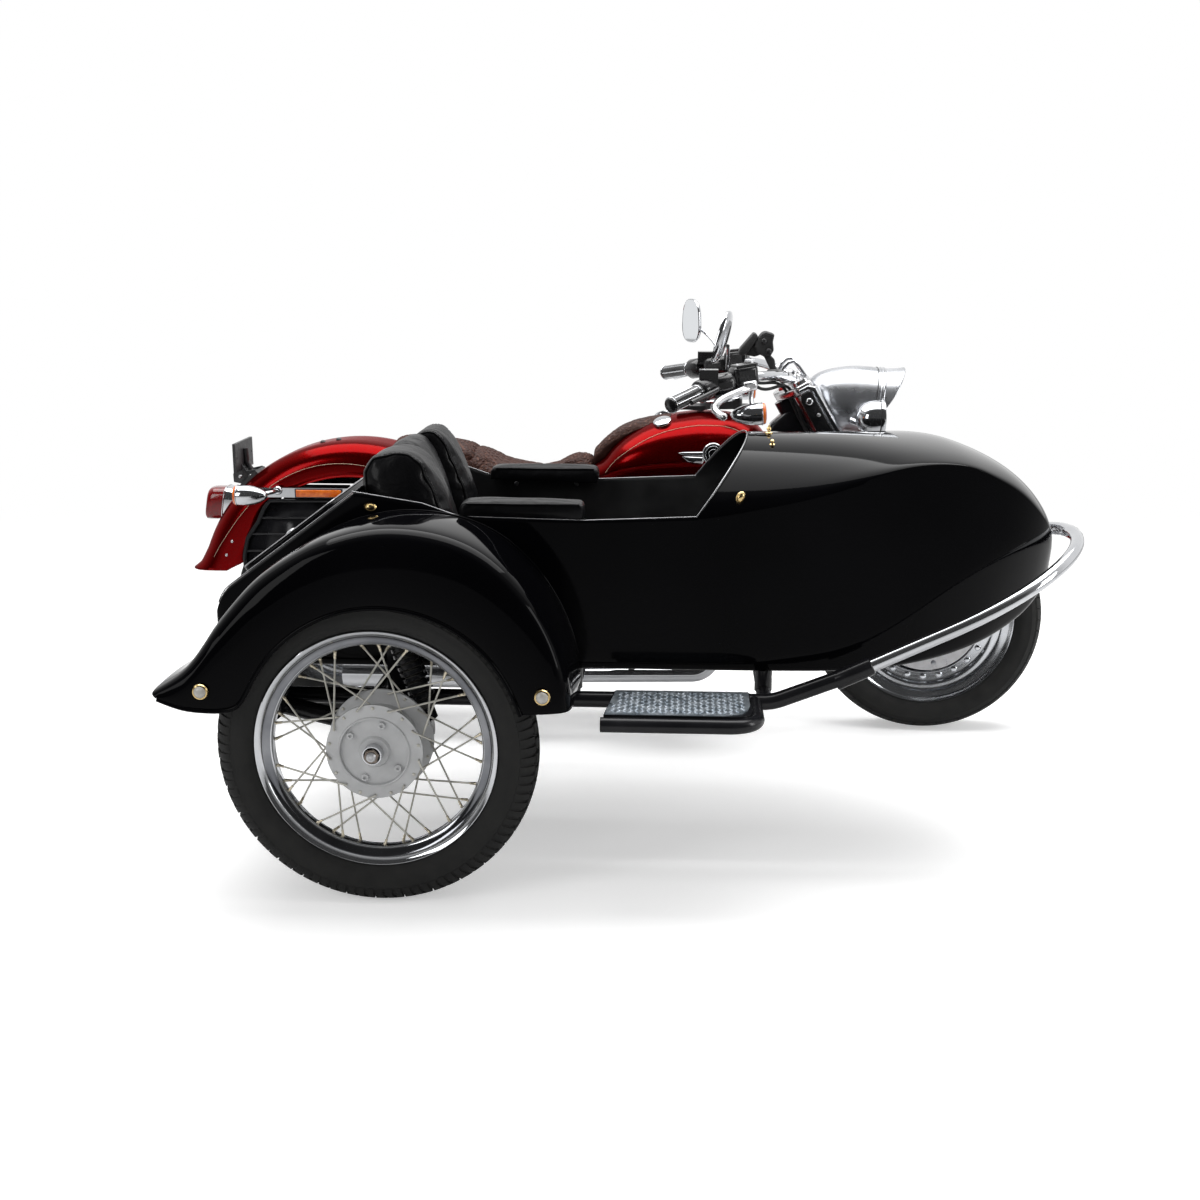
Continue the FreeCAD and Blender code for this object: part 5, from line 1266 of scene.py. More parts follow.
NUT_SIZES = (  # distance of its corners from the axle, and how far out
    (15.6, 64.3), (16.6, 65.2), (16.6, 72.6), (15.2, 74.4), (10.6, 74.6), (10.6, 64.3),
)
for radius, out in NUT_SIZES:
    for s in range(6):
        points.append(round_wheel(CAR_AXLE, radius, -out, math.radians(60 * s + 12)))
tidy(piece("axle_nut", points, grid_faces(len(NUT_SIZES), 6, True), nut_steel, "chassis", 30))
threads = []
for k in range(5):
    threads += [(9.9, 72.2 + k * 1.6), (9.2, 73.0 + k * 1.6)]
lathe(
    "axle_stud", threads + [(8.6, 80.6), (5, 81.2), (4, 80.2), (0.01, 79.8)],
    hub_at, (0, -1, 0), bare_steel, "chassis", 36,
)


# ---- Passenger's seat: black leather over foam -------------------------------------------
# The backrest is two stout bolsters with a thinner panel between them, upholstered in black
# hide over foam on a plywood back.  The covers are sewn with welted seams and pull into
# creases beside them.  The cushion and the two armrests are made the same way.
from mathutils.bvhtree import BVHTree


def leather(name, colour, second, rough, shine, mirror, crease=0.35):
    """Hide with its pores, soft creases and paler rubbed patches."""
    made = finish(name, colour, second, rough, spread=7.0, coat=shine, mirror=mirror)
    tree = made.node_tree
    shader = tree.nodes["Principled BSDF"].inputs
    shader["Coat Roughness"].default_value = 0.14
    where = node_of(tree, "ShaderNodeTexCoord").outputs["Object"]
    pores = node_of(tree, "ShaderNodeTexVoronoi", {"Scale": 620.0}, {"Vector": where})
    folds = node_of(
        tree, "ShaderNodeTexNoise", {"Scale": 16.0, "Detail": 3.0, "Distortion": 1.6},
        {"Vector": where},
    )
    fine = bump_normal(tree, None, pores.outputs["Distance"], 0.25, 0.0006)
    bump_normal(tree, shader, folds.outputs["Fac"], crease, 0.012, fine)
    return made


black_hide = leather(
    "black_hide", (0.0022, 0.0022, 0.0027), (0.0046, 0.0046, 0.0054), (0.36, 0.48), 0.12, 0.08,
)


def evaluated(made):
    """The mesh of a piece with its modifiers applied, which are then removed."""
    bpy.context.view_layer.update()
    graph = bpy.context.evaluated_depsgraph_get()
    result = bpy.data.meshes.new_from_object(made.evaluated_get(graph))
    made.modifiers.clear()
    old = made.data
    made.data = result
    bpy.data.meshes.remove(old)


def stuffed(name, blank, material, body, pressure, limit, voxel=0.006, edge=0.022, settle=20):
    """A sewn cover blown up over its stuffing: blank is (points, faces) in metres."""
    made = piece(name, blank[0], blank[1], material, body, 180)
    tidy(made)
    rounded(made, "cut_edge", edge, 5)
    grid = made.modifiers.new("even_grid", "REMESH")
    grid.mode = "VOXEL"
    grid.voxel_size = voxel
    evaluated(made)
    start = [vertex.co.copy() for vertex in made.data.vertices]
    air = made.modifiers.new("stuffing", "CLOTH")
    cloth = air.settings
    cloth.quality = 4
    cloth.mass = 0.25
    cloth.tension_stiffness = cloth.compression_stiffness = 18.0
    cloth.bending_stiffness = 1.2
    cloth.use_pressure = True
    cloth.uniform_pressure_force = pressure
    cloth.effector_weights.gravity = 0.0
    air.point_cache.frame_end = settle
    for step in range(1, settle + 1):
        scene.frame_set(step)
    evaluated(made)
    for vertex, before in zip(made.data.vertices, start):
        moved = vertex.co - before
        if moved.length > limit:
            vertex.co = before + moved * (limit / moved.length)
    scene.frame_set(1)
    softened = made.modifiers.new("smooth_cover", "SMOOTH")
    softened.factor = 0.5
    softened.iterations = 6
    subdivide(made, "finer", 1)
    evaluated(made)
    soften(made.data)
    made.data.materials.clear()
    made.data.materials.append(material)
    return made


def side_blank(outline, y0, y1):
    """A closed block from a side outline of (x, z) between two y values."""
    return [place(x, y, z) for y in (y0, y1) for x, z in outline], prism_faces(len(outline))


def surface_of(made):
    """Search tree of a piece's surface, for laying seams on it."""
    work = bmesh.new()
    work.from_mesh(made.data)
    tree = BVHTree.FromBMesh(work)
    work.free()
    return tree


def crumple(made, seams, depth=0.0028, reach=0.055):
    """Creases that run out from the seams, deepest beside them."""
    work = bmesh.new()
    work.from_mesh(made.data)
    work.normal_update()
    for vertex in work.verts:
        near = min((vertex.co - seam).length for seam in seams)
        pull = max(0.0, 1 - near / reach)
        if pull > 0:
            fold = noise.noise(Vector((vertex.co.x * 34, vertex.co.y * 60, vertex.co.z * 34)))
            vertex.co += vertex.normal * (depth * pull * fold)
        broad = noise.noise(vertex.co * 11.0)
        vertex.co += vertex.normal * (0.0022 * broad)
    work.to_mesh(made.data)
    work.free()


def laid_on(made, path, lift):
    """A path in metres brought down onto a cover, lifted off along its outward side."""
    search = surface_of(made)
    laid = []
    for point in path:
        at, normal, _, _ = search.find_nearest(point)
        laid.append(at + normal * lift)
    return laid


def welt(name, made, path, closed=False):
    """Sewn welt of black hide laid on a cover."""
    wire(name, laid_on(made, path, 0.0012), 0.0023, black_hide, closed=closed)


def stitches(name, made, path):
    """A row of thread stitches laid along a path on a cover."""
    pitch = 0.0065
    laid = laid_on(made, path, 0.0009)
    data = bpy.data.curves.new(name, "CURVE")
    data.dimensions = "3D"
    data.bevel_depth = 0.0008
    data.bevel_resolution = 1
    data.materials.append(thread)
    for start, end in zip(laid, laid[1:]):
        count = max(1, int((end - start).length / pitch))
        for k in range(count):
            spline = data.splines.new("POLY")
            spline.points.add(1)
            spline.points[0].co = (*start.lerp(end, (k + 0.15) / count), 1.0)
            spline.points[1].co = (*start.lerp(end, (k + 0.80) / count), 1.0)
    set_out(name, data, "chassis")


BOLSTER = (
    (262, 648), (256, 790), (258, 866), (278, 900), (326, 912), (366, 910), (394, 884),
    (418, 836), (440, 780), (456, 724), (462, 690), (452, 648),
)
FAR_BOLSTER = (
    (268, 648), (272, 790), (286, 862), (310, 898), (338, 920), (370, 920), (397, 890),
    (420, 836), (442, 780), (456, 724), (462, 690), (452, 648),
)
MIDDLE_PAD = (
    (266, 648), (266, 850), (282, 892), (318, 916), (350, 912), (370, 882), (388, 826),
    (406, 764), (420, 700), (424, 648),
)
thread = finish(
    "waxed_thread", (0.030, 0.030, 0.031), (0.06, 0.06, 0.06), (0.5, 0.7), spread=200.0,
    grain=(0.2, 2000.0),
)
for name, outline, y0, y1 in (
    ("seat_back_bolster_near", BOLSTER, -228.0, -84.0),
    ("seat_back_bolster_far", FAR_BOLSTER, 84.0, 228.0),
    ("seat_back_middle", MIDDLE_PAD, -88.0, 88.0),
):
    blank = side_blank(outline, BODY_Y + y0, BODY_Y + y1)
    pad = stuffed(name, blank, black_hide, "chassis", pressure=5.0, limit=0.024)
    rims = [[place(x, BODY_Y + y, z) for x, z in outline] for y in (y0, y1)]
    crumple(pad, rims[0] + rims[1])
    if name == "seat_back_bolster_near":
        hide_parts("seat_back")
    if name == "seat_back_middle":
        continue
    for number, (rim, inset) in enumerate(zip(rims, (0.009, -0.009))):
        path = []
        for a, b in zip(rim[1:-1], rim[2:]):
            path += [a.lerp(b, k / 4) for k in range(4)]
        welt(name + "_welt_" + str(number), pad, path)
        beside = [point + Vector((0, inset, 0)) for point in path]
        stitches(name + "_stitches_" + str(number), pad, beside)

cushion_plan = ((304, -262), (304, 262), (780, 262), (792, 250), (792, -250), (780, -262))
points = [place(x, BODY_Y + y, z) for z in (518, 622) for x, y in cushion_plan]
blank = (points, prism_faces(len(cushion_plan)))
cushion = stuffed("seat_cushion_cover", blank, black_hide, "chassis", 5.0, 0.022, 0.008)


def back_to_mm(spot):
    """The x and y of a point in metres as millimetres from the rear axle."""
    return (spot.x + MIDDLE_X / 1000) * 1000, (spot.y + MIDDLE_Y / 1000) * 1000


# Sewn channels: two along the cushion and one across its front, pulled down into the foam.
CHANNEL_START_Z = 580
BOARD_TOP = 0.5128
for vertex in cushion.data.vertices:
    x, y = back_to_mm(vertex.co)
    share = min(1.0, max(0.0, vertex.co.z * 1000 - CHANNEL_START_Z) / 40.0)
    for channel in (-88.0, 88.0):
        vertex.co.z -= 0.007 * share * math.exp(-(((y - BODY_Y - channel) / 9.0) ** 2))
    vertex.co.z -= 0.004 * share * math.exp(-(((x - 690.0) / 8.0) ** 2))
    vertex.co.z = max(vertex.co.z, BOARD_TOP)
crumple(cushion, [place(x, BODY_Y + y, 600) for x, y in cushion_plan], 0.002)
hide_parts("seat_cushion")
rim = []
for a, b in zip(cushion_plan, cushion_plan[1:] + cushion_plan[:1]):
    for k in range(12):
        x, y = (a[i] + (b[i] - a[i]) * k / 12 for i in range(2))
        rim.append(place(x, BODY_Y + y, 624))
welt("seat_cushion_welt", cushion, rim, closed=True)

ARM_OFFSET, ARM_HALF = 258.5, 30
ARM_OUTLINE = ((478, 770), (742, 767), (747, 800), (740, 810), (492, 813), (478, 804))
for name, side in SIDES:
    y = BODY_Y + side * ARM_OFFSET
    blank = side_blank(ARM_OUTLINE, y - ARM_HALF, y + ARM_HALF)
    rest = stuffed(
        "armrest_" + name, blank, black_hide, "chassis", 5.0, 0.009, 0.005, edge=0.014
    )
    for vertex in rest.data.vertices:  # it rests on the cockpit's edge
        at_x, at_y = back_to_mm(vertex.co)
        if abs(at_y - BODY_Y) < 293.5:
            vertex.co.z = max(vertex.co.z, edge_z(at_x) / 1000 + 0.0006)
    crumple(rest, [place(490, y, 795), place(744, y, 795)], 0.0015, 0.04)
    if side < 0:
        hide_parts("armrests")
    for edge_side in (-1, 1):
        path = [place(x, y + edge_side * 27, 806) for x in range(496, 742, 12)]
        welt("armrest_welt_" + name + str(edge_side + 1), rest, path)


# ---- Rear fender, its lamps and rails ----------------------------------------------------
# A deep pressed-steel mudguard in candy red over a silver base, with a hand-drawn pale
# pinstripe each side.  Chrome rails bolt to it through black brackets, and it carries a red
# tail lamp, two bullet indicators and a folded number plate holder with no plate.
def candy(name):
    """Candy lacquer: deep red with metal flake under clear coat."""
    made = finish(
        name, (0.118, 0.0005, 0.0009), (0.168, 0.001, 0.0016), (0.17, 0.23), metal=0.85,
        coat=0.06, spread=900.0, mirror=0.15,
    )
    tree = made.node_tree
    shader = tree.nodes["Principled BSDF"].inputs
    shader["Specular Tint"].default_value = (0.55, 0.02, 0.03, 1)
    where = node_of(tree, "ShaderNodeTexCoord").outputs["Object"]
    flake = node_of(tree, "ShaderNodeTexVoronoi", {"Scale": 2600.0}, {"Vector": where})
    bump_normal(tree, shader, flake.outputs["Distance"], 0.05, 0.0003)
    return made


candy_red = candy("candy_red")
pinstripe = finish(
    "pale_pinstripe", (0.40, 0.29, 0.20), (0.52, 0.40, 0.29), (0.3, 0.4), spread=300.0,
)
black_fixings = finish(
    "black_fixings", (0.012, 0.012, 0.013), (0.024, 0.024, 0.026), (0.3, 0.5), spread=80.0,
    grain=(0.1, 700.0),
)
under_seal = finish(
    "under_seal", (0.008, 0.008, 0.008), (0.018, 0.017, 0.016), (0.7, 0.85), spread=30.0,
    grain=(0.4, 300.0), mirror=0.2,
)


def arch(name, centre, radius_at, half_width, corner, skirt_at, angles, lowest, material, body):
    """A mudguard: its crown and rounded shoulders carried round a wheel."""
    cx, cy, cz = centre
    steps = 90
    rows = []
    for step in range(steps + 1):
        degrees = angles[0] + (angles[1] - angles[0]) * step / steps
        angle = math.radians(degrees)
        radius = radius_at(degrees)
        skirt = skirt_at(degrees)
        outline = [
            (-half_width, radius - skirt),
            (-half_width, radius - corner - (skirt - corner) * 0.5),
        ]
        for k in range(9):
            turn = math.pi / 2 * k / 8
            outline.append((
                -half_width + corner - corner * math.cos(turn),
                radius - corner + corner * math.sin(turn),
            ))
        for k in range(1, 8):
            across = -(half_width - corner) + 2 * (half_width - corner) * k / 8
            outline.append((across, radius + 1.5 * (1 - (across / half_width) ** 2)))
        outline += [(-y, r) for y, r in reversed(outline[:11])]
        rows.append([
            place(cx + r * math.cos(angle), cy + y, cz + r * math.sin(angle)) for y, r in outline
        ])
    points = [point for row in rows for point in row]
    made = piece(name, points, grid_faces(len(rows), len(rows[0])), material, body, 180)
    work = bmesh.new()
    work.from_mesh(made.data)
    bmesh.ops.bisect_plane(
        work, geom=work.verts[:] + work.edges[:] + work.faces[:], dist=0.00001,
        plane_co=place(cx, cy, lowest), plane_no=(0, 0, -1), clear_outer=True,
    )
    work.to_mesh(made.data)
    work.free()
    made.data.materials.append(under_seal)
    thicken(made, 0.0022).material_offset = 1
    return made


GUARD_X, GUARD_Z = 38.0, 366.0
GUARD_BY_ANGLE = (  # degrees, crown radius, depth of the side
    (50, 445.5, 92), (120, 445.5, 92), (131, 445.5, 80), (146, 445.5, 112), (156, 445.5, 125),
    (160, 446, 118), (164, 451, 100), (167, 458, 86), (169.4, 474, 74),
)
GUARD_HALF = 117.5
GUARD_CORNER = 60.0
fender = arch(
    "rear_mudguard", (GUARD_X, 0.0, GUARD_Z), lambda angle: between(GUARD_BY_ANGLE, angle, 1),
    GUARD_HALF, GUARD_CORNER, lambda angle: between(GUARD_BY_ANGLE, angle, 2), (50.0, 169.4),
    452.0, candy_red, "chassis",
)
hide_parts("rear_fender")

STRIPE_BY_ANGLE = ((83, 387), (98, 393), (108, 395), (139, 394), (149, 397), (163, 413))
for label, side in SIDES:
    run = []
    for step in range(61):
        degrees = 70 + (163 - 70) * step / 60
        reach = between(STRIPE_BY_ANGLE, degrees, 1)
        over = max(0.0, reach - (445.5 - GUARD_CORNER))
        y = GUARD_HALF - GUARD_CORNER + math.sqrt(GUARD_CORNER ** 2 - over * over) + 0.6
        bearing = math.radians(degrees)
        x, z = GUARD_X + reach * math.cos(bearing), GUARD_Z + reach * math.sin(bearing)
        run.append(place(x, side * y, z))
    stripe = wire("rear_pinstripe_" + label, run, 0.0007, pinstripe, sides=2)


def fender_crown(x, lift=2.5):
    """Height of the rear fender's crown at x, with a little air above it."""
    return GUARD_Z + lift + math.sqrt(446.0 ** 2 - (x - GUARD_X) ** 2)


crown_bolts = [place(x, -20.0, fender_crown(x, -1.0)) for x in (-55.0, -10.0)]
studs("rear_fender_bolts", crown_bolts, (0, 0, 1), 0.0085, 0.008, black_fixings, steps=14)
tail_spots = [
    place(x, side * 118.0, z) for x, z in ((-300, 536), (-318, 497)) for side in (-1, 1)
]
studs("rear_fender_rivets", tail_spots, (0, -1, 0), 0.0042, 0.0022, chrome, steps=14)


# ---- Guards and rails beside the rear wheel ----------------------------------------------
# Bent black tube with three cross rods and a sheet behind it, one each side, that keeps a
# pannier off the wheel.  The chromed strut rail above carries an amber reflector.
GUARD_LOOP = (
    (-20, 655), (-184, 654), (-200, 634), (-220, 594), (-252, 548), (-263, 500), (-264, 468),
    (-20, 468),
)
for label, side in SIDES:
    path = [place(x, side * 127, z) for x, z in GUARD_LOOP]
    wire("pannier_guard_" + label, path, 0.0062, enamel, closed=True)
    corners = [place(x, side * 120.6, z) for x, z in GUARD_LOOP]
    sheet = piece("pannier_guard_sheet_" + label, corners, [tuple(range(8))], enamel)
    thicken(sheet, 0.0016, 0.0)
    for number, (x0, z) in enumerate(((-214, 606), (-244, 560), (-262, 512))):
        rod = [place(x0, side * 126, z), place(-22, side * 126, z)]
        wire("pannier_rod_" + label + "_" + str(number), rod, 0.0036, enamel)

coat_node("fender_rails", chrome, edge=0.0014, angle=35)
amber = finish(
    "amber_lens", (0.62, 0.10, 0.008), (0.85, 0.20, 0.015), (0.08, 0.15), coat=0.6, spread=90.0,
    grain=(0.35, 260.0), mirror=0.3,
)
ruby = finish(
    "ruby_lens", (0.13, 0.0010, 0.002), (0.22, 0.002, 0.0035), (0.06, 0.12), coat=0.5,
    spread=60.0, grain=(0.3, 240.0), mirror=0.3,
)
for label, side in SIDES:
    for name, y, (x0, x1), (z0, z1), material in (
        ("reflector_holder_", 131.0, (-113, 20), (663, 689), black_fixings),
        ("side_reflector_", 134.0, (-109, 17), (666, 686), amber),
    ):
        face = [place(x, side * y, z) for x, z in ((x0, z0), (x1, z0), (x1, z1), (x0, z1))]
        bar = panel(name + label, face, 0.005, material, bend=0.002)


# ---- Tail lamp and bullet indicators -----------------------------------------------------
# The lamp is a red lens in a chromed cup that sits on the fender at a slant.  The
# indicators are chromed spun bullets on short stems from the rails, with amber lenses.
TAIL_CUP = (  # x, lowest z, highest z, half width
    (-285, 588, 664, 40), (-312, 583, 668, 44), (-330, 581, 673, 46), (-343, 580, 675, 46),
)
TAIL_LENS = (
    (-342, 582, 673, 44), (-356, 581, 673, 44), (-376, 581, 673, 44), (-388, 582, 672, 43),
    (-392, 586, 668, 40), (-394, 594, 660, 33), (-394.5, 610, 644, 15),
)
LAMP_LEAN = 0.16


def squared(angle, power, upright=None):
    """Cosine and sine of an angle drawn out to a rounded square; power 1 leaves a circle."""
    c, s = math.cos(angle), math.sin(angle)
    return math.copysign(abs(c) ** power, c), math.copysign(abs(s) ** (upright or power), s)


def cup_ring(x, middle, half, tall, steps):
    """One rounded-square ring of the lamp, which leans back as it rises."""
    made = []
    for a in turns(steps):
        c, s = squared(a, 0.6)
        made.append(place(x + LAMP_LEAN * (tall * s), half * c, middle + tall * s))
    return made


def cup(name, table, material):
    """A lamp body lofted through rounded-square sections kept in a table."""
    points = []
    for x, low, high, half in table:
        points += cup_ring(x, (low + high) / 2, half, (high - low) / 2, 44)
    faces = grid_faces(len(table), 44, True)
    faces.append(tuple(range(len(points) - 44, len(points))))
    made = piece(name, points, faces, material, "chassis", 40)
    tidy(made)
    return made


lamp_cup = cup("tail_lamp_cup", TAIL_CUP, chrome)
lens = cup("tail_lamp_lens", TAIL_LENS, ruby)
wire("tail_lamp_bezel", cup_ring(-343, 627.5, 45.5, 47.0, 48), 0.0024, chrome, closed=True)
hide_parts("rear_lamps")

BULLET = (
    (27.0, -20.0), (28.2, -16.0), (28.4, 0.0), (27.2, 14.0), (24.0, 29.0), (18.5, 44.0),
    (12.5, 55.0), (8.0, 60.0), (3.5, 62.5), (0.1, 63.0),
)
BULLET_LENS = ((26.9, -17.0), (26.8, -24.0), (24.8, -27.0), (15.0, -29.0), (0.1, -30.0))


def circle(centre, turn, radius, height, steps):
    """Points of a circle about a turned axis, at a height along it, in metres."""
    return [
        centre + turn @ Vector((radius * math.cos(a), radius * math.sin(a), height))
        for a in turns(steps)
    ]


def bullet(name, centre, forward, body):
    """A spun bullet lamp with its lens and rim; forward points from lens to tip."""
    shell = lathe(name, BULLET, centre, forward, chrome, body, steps=44, sharp=35)
    cap = lathe(name + "_lens", BULLET_LENS, centre, forward, amber, body, steps=44, sharp=60)
    rim = wire(
        name + "_rim", circle(centre, facing(forward), 0.0276, -0.0185, 44), 0.0017, chrome,
        body, closed=True,
    )
    return shell


for label, side in SIDES:
    bullet("rear_bullet_" + label, place(-233, side * 200, 680), (1, 0, 0), "chassis")
    path = ((-200, 192, 681), (-176, 176, 683), (-162, 150, 683), (-160, 131, 683))
    path = [place(x, side * y, z) for x, y, z in path]
    stem = wire("rear_bullet_stem_" + label, path, 0.0058, chrome, smooth=True)
    cap = studs(
        "rear_bullet_screw_" + label, [place(-160, side * 131.5, 683)], (0, side, 0), 0.0125,
        0.008, chrome, steps=22,
    )

coat_node("plate_bracket", black_fixings, edge=0.0010)
CHEEK = (
    (-311, 690), (-276, 683), (-238, 716), (-246, 728), (-272, 722), (-286, 742), (-288, 792),
    (-294, 800), (-297, 745), (-312, 712),
)
for label, side in SIDES:
    corners = [place(x, side * 33, z) for x, z in CHEEK]
    name = "plate_bracket_cheek_" + label
    cheek = piece(name, corners, [tuple(range(len(CHEEK)))], black_fixings)
    thicken(cheek, 0.003, 0.0)
    rounded(cheek, "round_edge", 0.001)
nut_spots = [place(x, side * 35, z) for x, z in ((-291, 706), (-262, 708)) for side in (-1, 1)]
studs("plate_bracket_nuts", nut_spots, (0, -1, 0), 0.0065, 0.006, bare_steel, steps=6)


# ---- Rider's saddle and pillion pad ------------------------------------------------------
# Dark brown leather over foam on a steel pan, quilted in diamonds with paler thread.  The
# pan's edge tucks in under the pad, and the pillion pad follows the fender's crown.
def quilted(name, colour, second, thread_colour):
    """Hide whose stitched channels carry a paler thread, told by the seam attribute."""
    made = leather(name, colour, second, (0.50, 0.66), 0.03, 0.15, crease=0.12)
    tree = made.node_tree
    shader = tree.nodes["Principled BSDF"].inputs
    plain = shader["Base Color"].links[0].from_socket
    seam = node_of(tree, "ShaderNodeAttribute", attribute_name="seam")
    pick = node_of(
        tree, "ShaderNodeMix", {7: (*thread_colour, 1)}, {0: seam.outputs["Fac"], 6: plain},
        data_type="RGBA",
    )
    tree.links.new(pick.outputs[2], shader["Base Color"])
    return made


brown_hide = quilted(
    "brown_hide", (0.026, 0.0088, 0.0062), (0.046, 0.016, 0.0105), (0.15, 0.068, 0.046)
)
DIAMOND = 0.034
CHANNEL_WIDTH = 0.14  # share of a diamond
THREAD_WIDTH = 0.055


def quilt(made, depth=0.0040):
    """Presses diamond channels into a pad's top and marks their thread."""
    work = bmesh.new()
    work.from_mesh(made.data)
    work.normal_update()
    shares = []
    for vertex in work.verts:
        slope = math.copysign(max(0.0, 1 - abs(vertex.normal.z)), vertex.normal.x)
        u = (vertex.co.x + 0.6 * slope * vertex.co.z) / DIAMOND
        v = vertex.co.y / DIAMOND
        near = min(abs(slanted - round(slanted)) for slanted in (u + v, u - v))
        face_up = max(0.0, min(1.0, vertex.normal.z * 3.0))
        shares.append(0.8 * math.exp(-((near / THREAD_WIDTH) ** 2)) * face_up)
        vertex.co += vertex.normal * (-depth * math.exp(-((near / CHANNEL_WIDTH) ** 2)) * face_up)
    work.to_mesh(made.data)
    work.free()
    seam = made.data.attributes.new("seam", "FLOAT", "POINT")
    seam.data.foreach_set("value", shares)


def closed_loft(rows, ring):
    """Faces of a body lofted through closed rings, with its two ends closed."""
    ends = [tuple(range(ring)), tuple(range(rows * ring - 1, (rows - 1) * ring - 1, -1))]
    return grid_faces(rows, ring, True) + ends


def pad_blank(rows, floor):
    """A closed block from rows of (x, top z, half width, crown drop) over a floor."""
    points = []
    across = [-1 + k / 4 for k in range(9)]
    for x, top, half, drop in rows:
        points += [place(x, share * half, top - drop * share * share) for share in across]
        points += [place(x, -share * half * 0.96, floor(x)) for share in across]
    return points, closed_loft(len(rows), 2 * len(across))


# The pads' rows: x, height of the top, half width and how far the sides drop below the crown.
PILLION = (
    (146, 811, 92, 8), (180, 815, 97, 14), (220, 816, 99, 18), (260, 815, 99, 20),
    (300, 808, 99, 20), (340, 801, 98, 20), (376, 792, 95, 16),
)
pillion = stuffed(
    "pillion_pad", pad_blank(PILLION, fender_crown), brown_hide, "chassis", 4.0, 0.008, 0.006,
    edge=0.012,
)
SADDLE = (
    (350, 796, 104, 20), (384, 787, 122, 20), (404, 776, 132, 20), (428, 763, 144, 20),
    (452, 749, 152, 18), (480, 739, 156, 15), (520, 731, 150, 12), (562, 727, 134, 12),
    (604, 738, 114, 12), (636, 760, 96, 16), (656, 776, 84, 20), (676, 783, 74, 22),
    (694, 780, 64, 22), (706, 770, 58, 20),
)


def saddle_floor(x):
    """Underside of the saddle, which steps up over the back of the tank."""
    return between(((386, 706), (560, 695), (640, 688), (672, 700), (706, 738)), x, 1)


saddle = stuffed(
    "rider_saddle", pad_blank(SADDLE, saddle_floor), brown_hide, "chassis", 5.0, 0.012, 0.006,
    edge=0.014,
)
for pad, node, fill in ((pillion, "pillion_seat", 0.7), (saddle, "rider_seat", 0.8)):
    quilt(pad)
    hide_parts(node)
for vertex in pillion.data.vertices:
    vertex.co.z = max(vertex.co.z, fender_crown(back_to_mm(vertex.co)[0]) / 1000)


# ---- Fuel tank with its bib and console --------------------------------------------------
# A pressed and welded steel tank in the same candy red, with a pinstripe each side and a
# plain round medallion.  A quilted hide bib lies over its back, ahead of a black console.
TANK = (  # x, top z, half width, lowest z
    (662, 714, 62, 712), (676, 726, 78, 712), (700, 744, 96, 712), (735, 771, 117, 711),
    (765, 808, 131, 711), (800, 838, 142, 711), (850, 865, 151, 711), (900, 881, 156, 711),
    (950, 890, 157.5, 711), (1000, 895, 157.5, 711), (1060, 893, 154, 711),
    (1110, 883, 144, 711), (1145, 866, 128, 711), (1170, 842, 106, 716), (1186, 812, 78, 740),
    (1193, 792, 48, 762),
)


def tank_section(x):
    """One section of the tank at x: half outline from keel to crown, as (y, z)."""
    top, half, low = (between(TANK, x, column) for column in (1, 2, 3))
    belly = low + 0.36 * (top - low)
    made = []
    for k in range(7):
        a = math.pi / 2 * k / 6
        made.append((half * (1 - 0.10 * math.cos(a)), low + (belly - low) * math.sin(a)))
    for k in range(1, 15):
        a = math.pi / 2 * k / 14
        made.append((half * math.cos(a) ** 0.72, belly + (top - belly) * math.sin(a) ** 0.86))
    return made


TANK_BACK, TANK_FRONT = TANK[0][0], TANK[-1][0]
stations = [TANK_BACK + (TANK_FRONT - TANK_BACK) * k / 64 for k in range(65)]
points = []
for x in stations:
    half_ring = tank_section(x)
    ring = [(-y, z) for y, z in half_ring] + [(y, z) for y, z in reversed(half_ring[:-1])]
    points += [place(x, y, z) for y, z in ring]
faces = closed_loft(len(stations), len(points) // len(stations))
tank = piece("fuel_tank_shell", points, faces, candy_red, "chassis", 50)
tidy(tank)
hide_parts("fuel_tank")
tank_skin = surface_of(tank)
SKIN_GAP = 0.0006  # of what lies on the tank


def on_tank(x, y_side, z):
    """Point of the tank's skin straight in from the side at x and z."""
    start = place(x, y_side * 400, z)
    hit, normal, _, _ = tank_skin.ray_cast(start, Vector((0, -y_side, 0)))
    return hit + normal * SKIN_GAP if hit else None


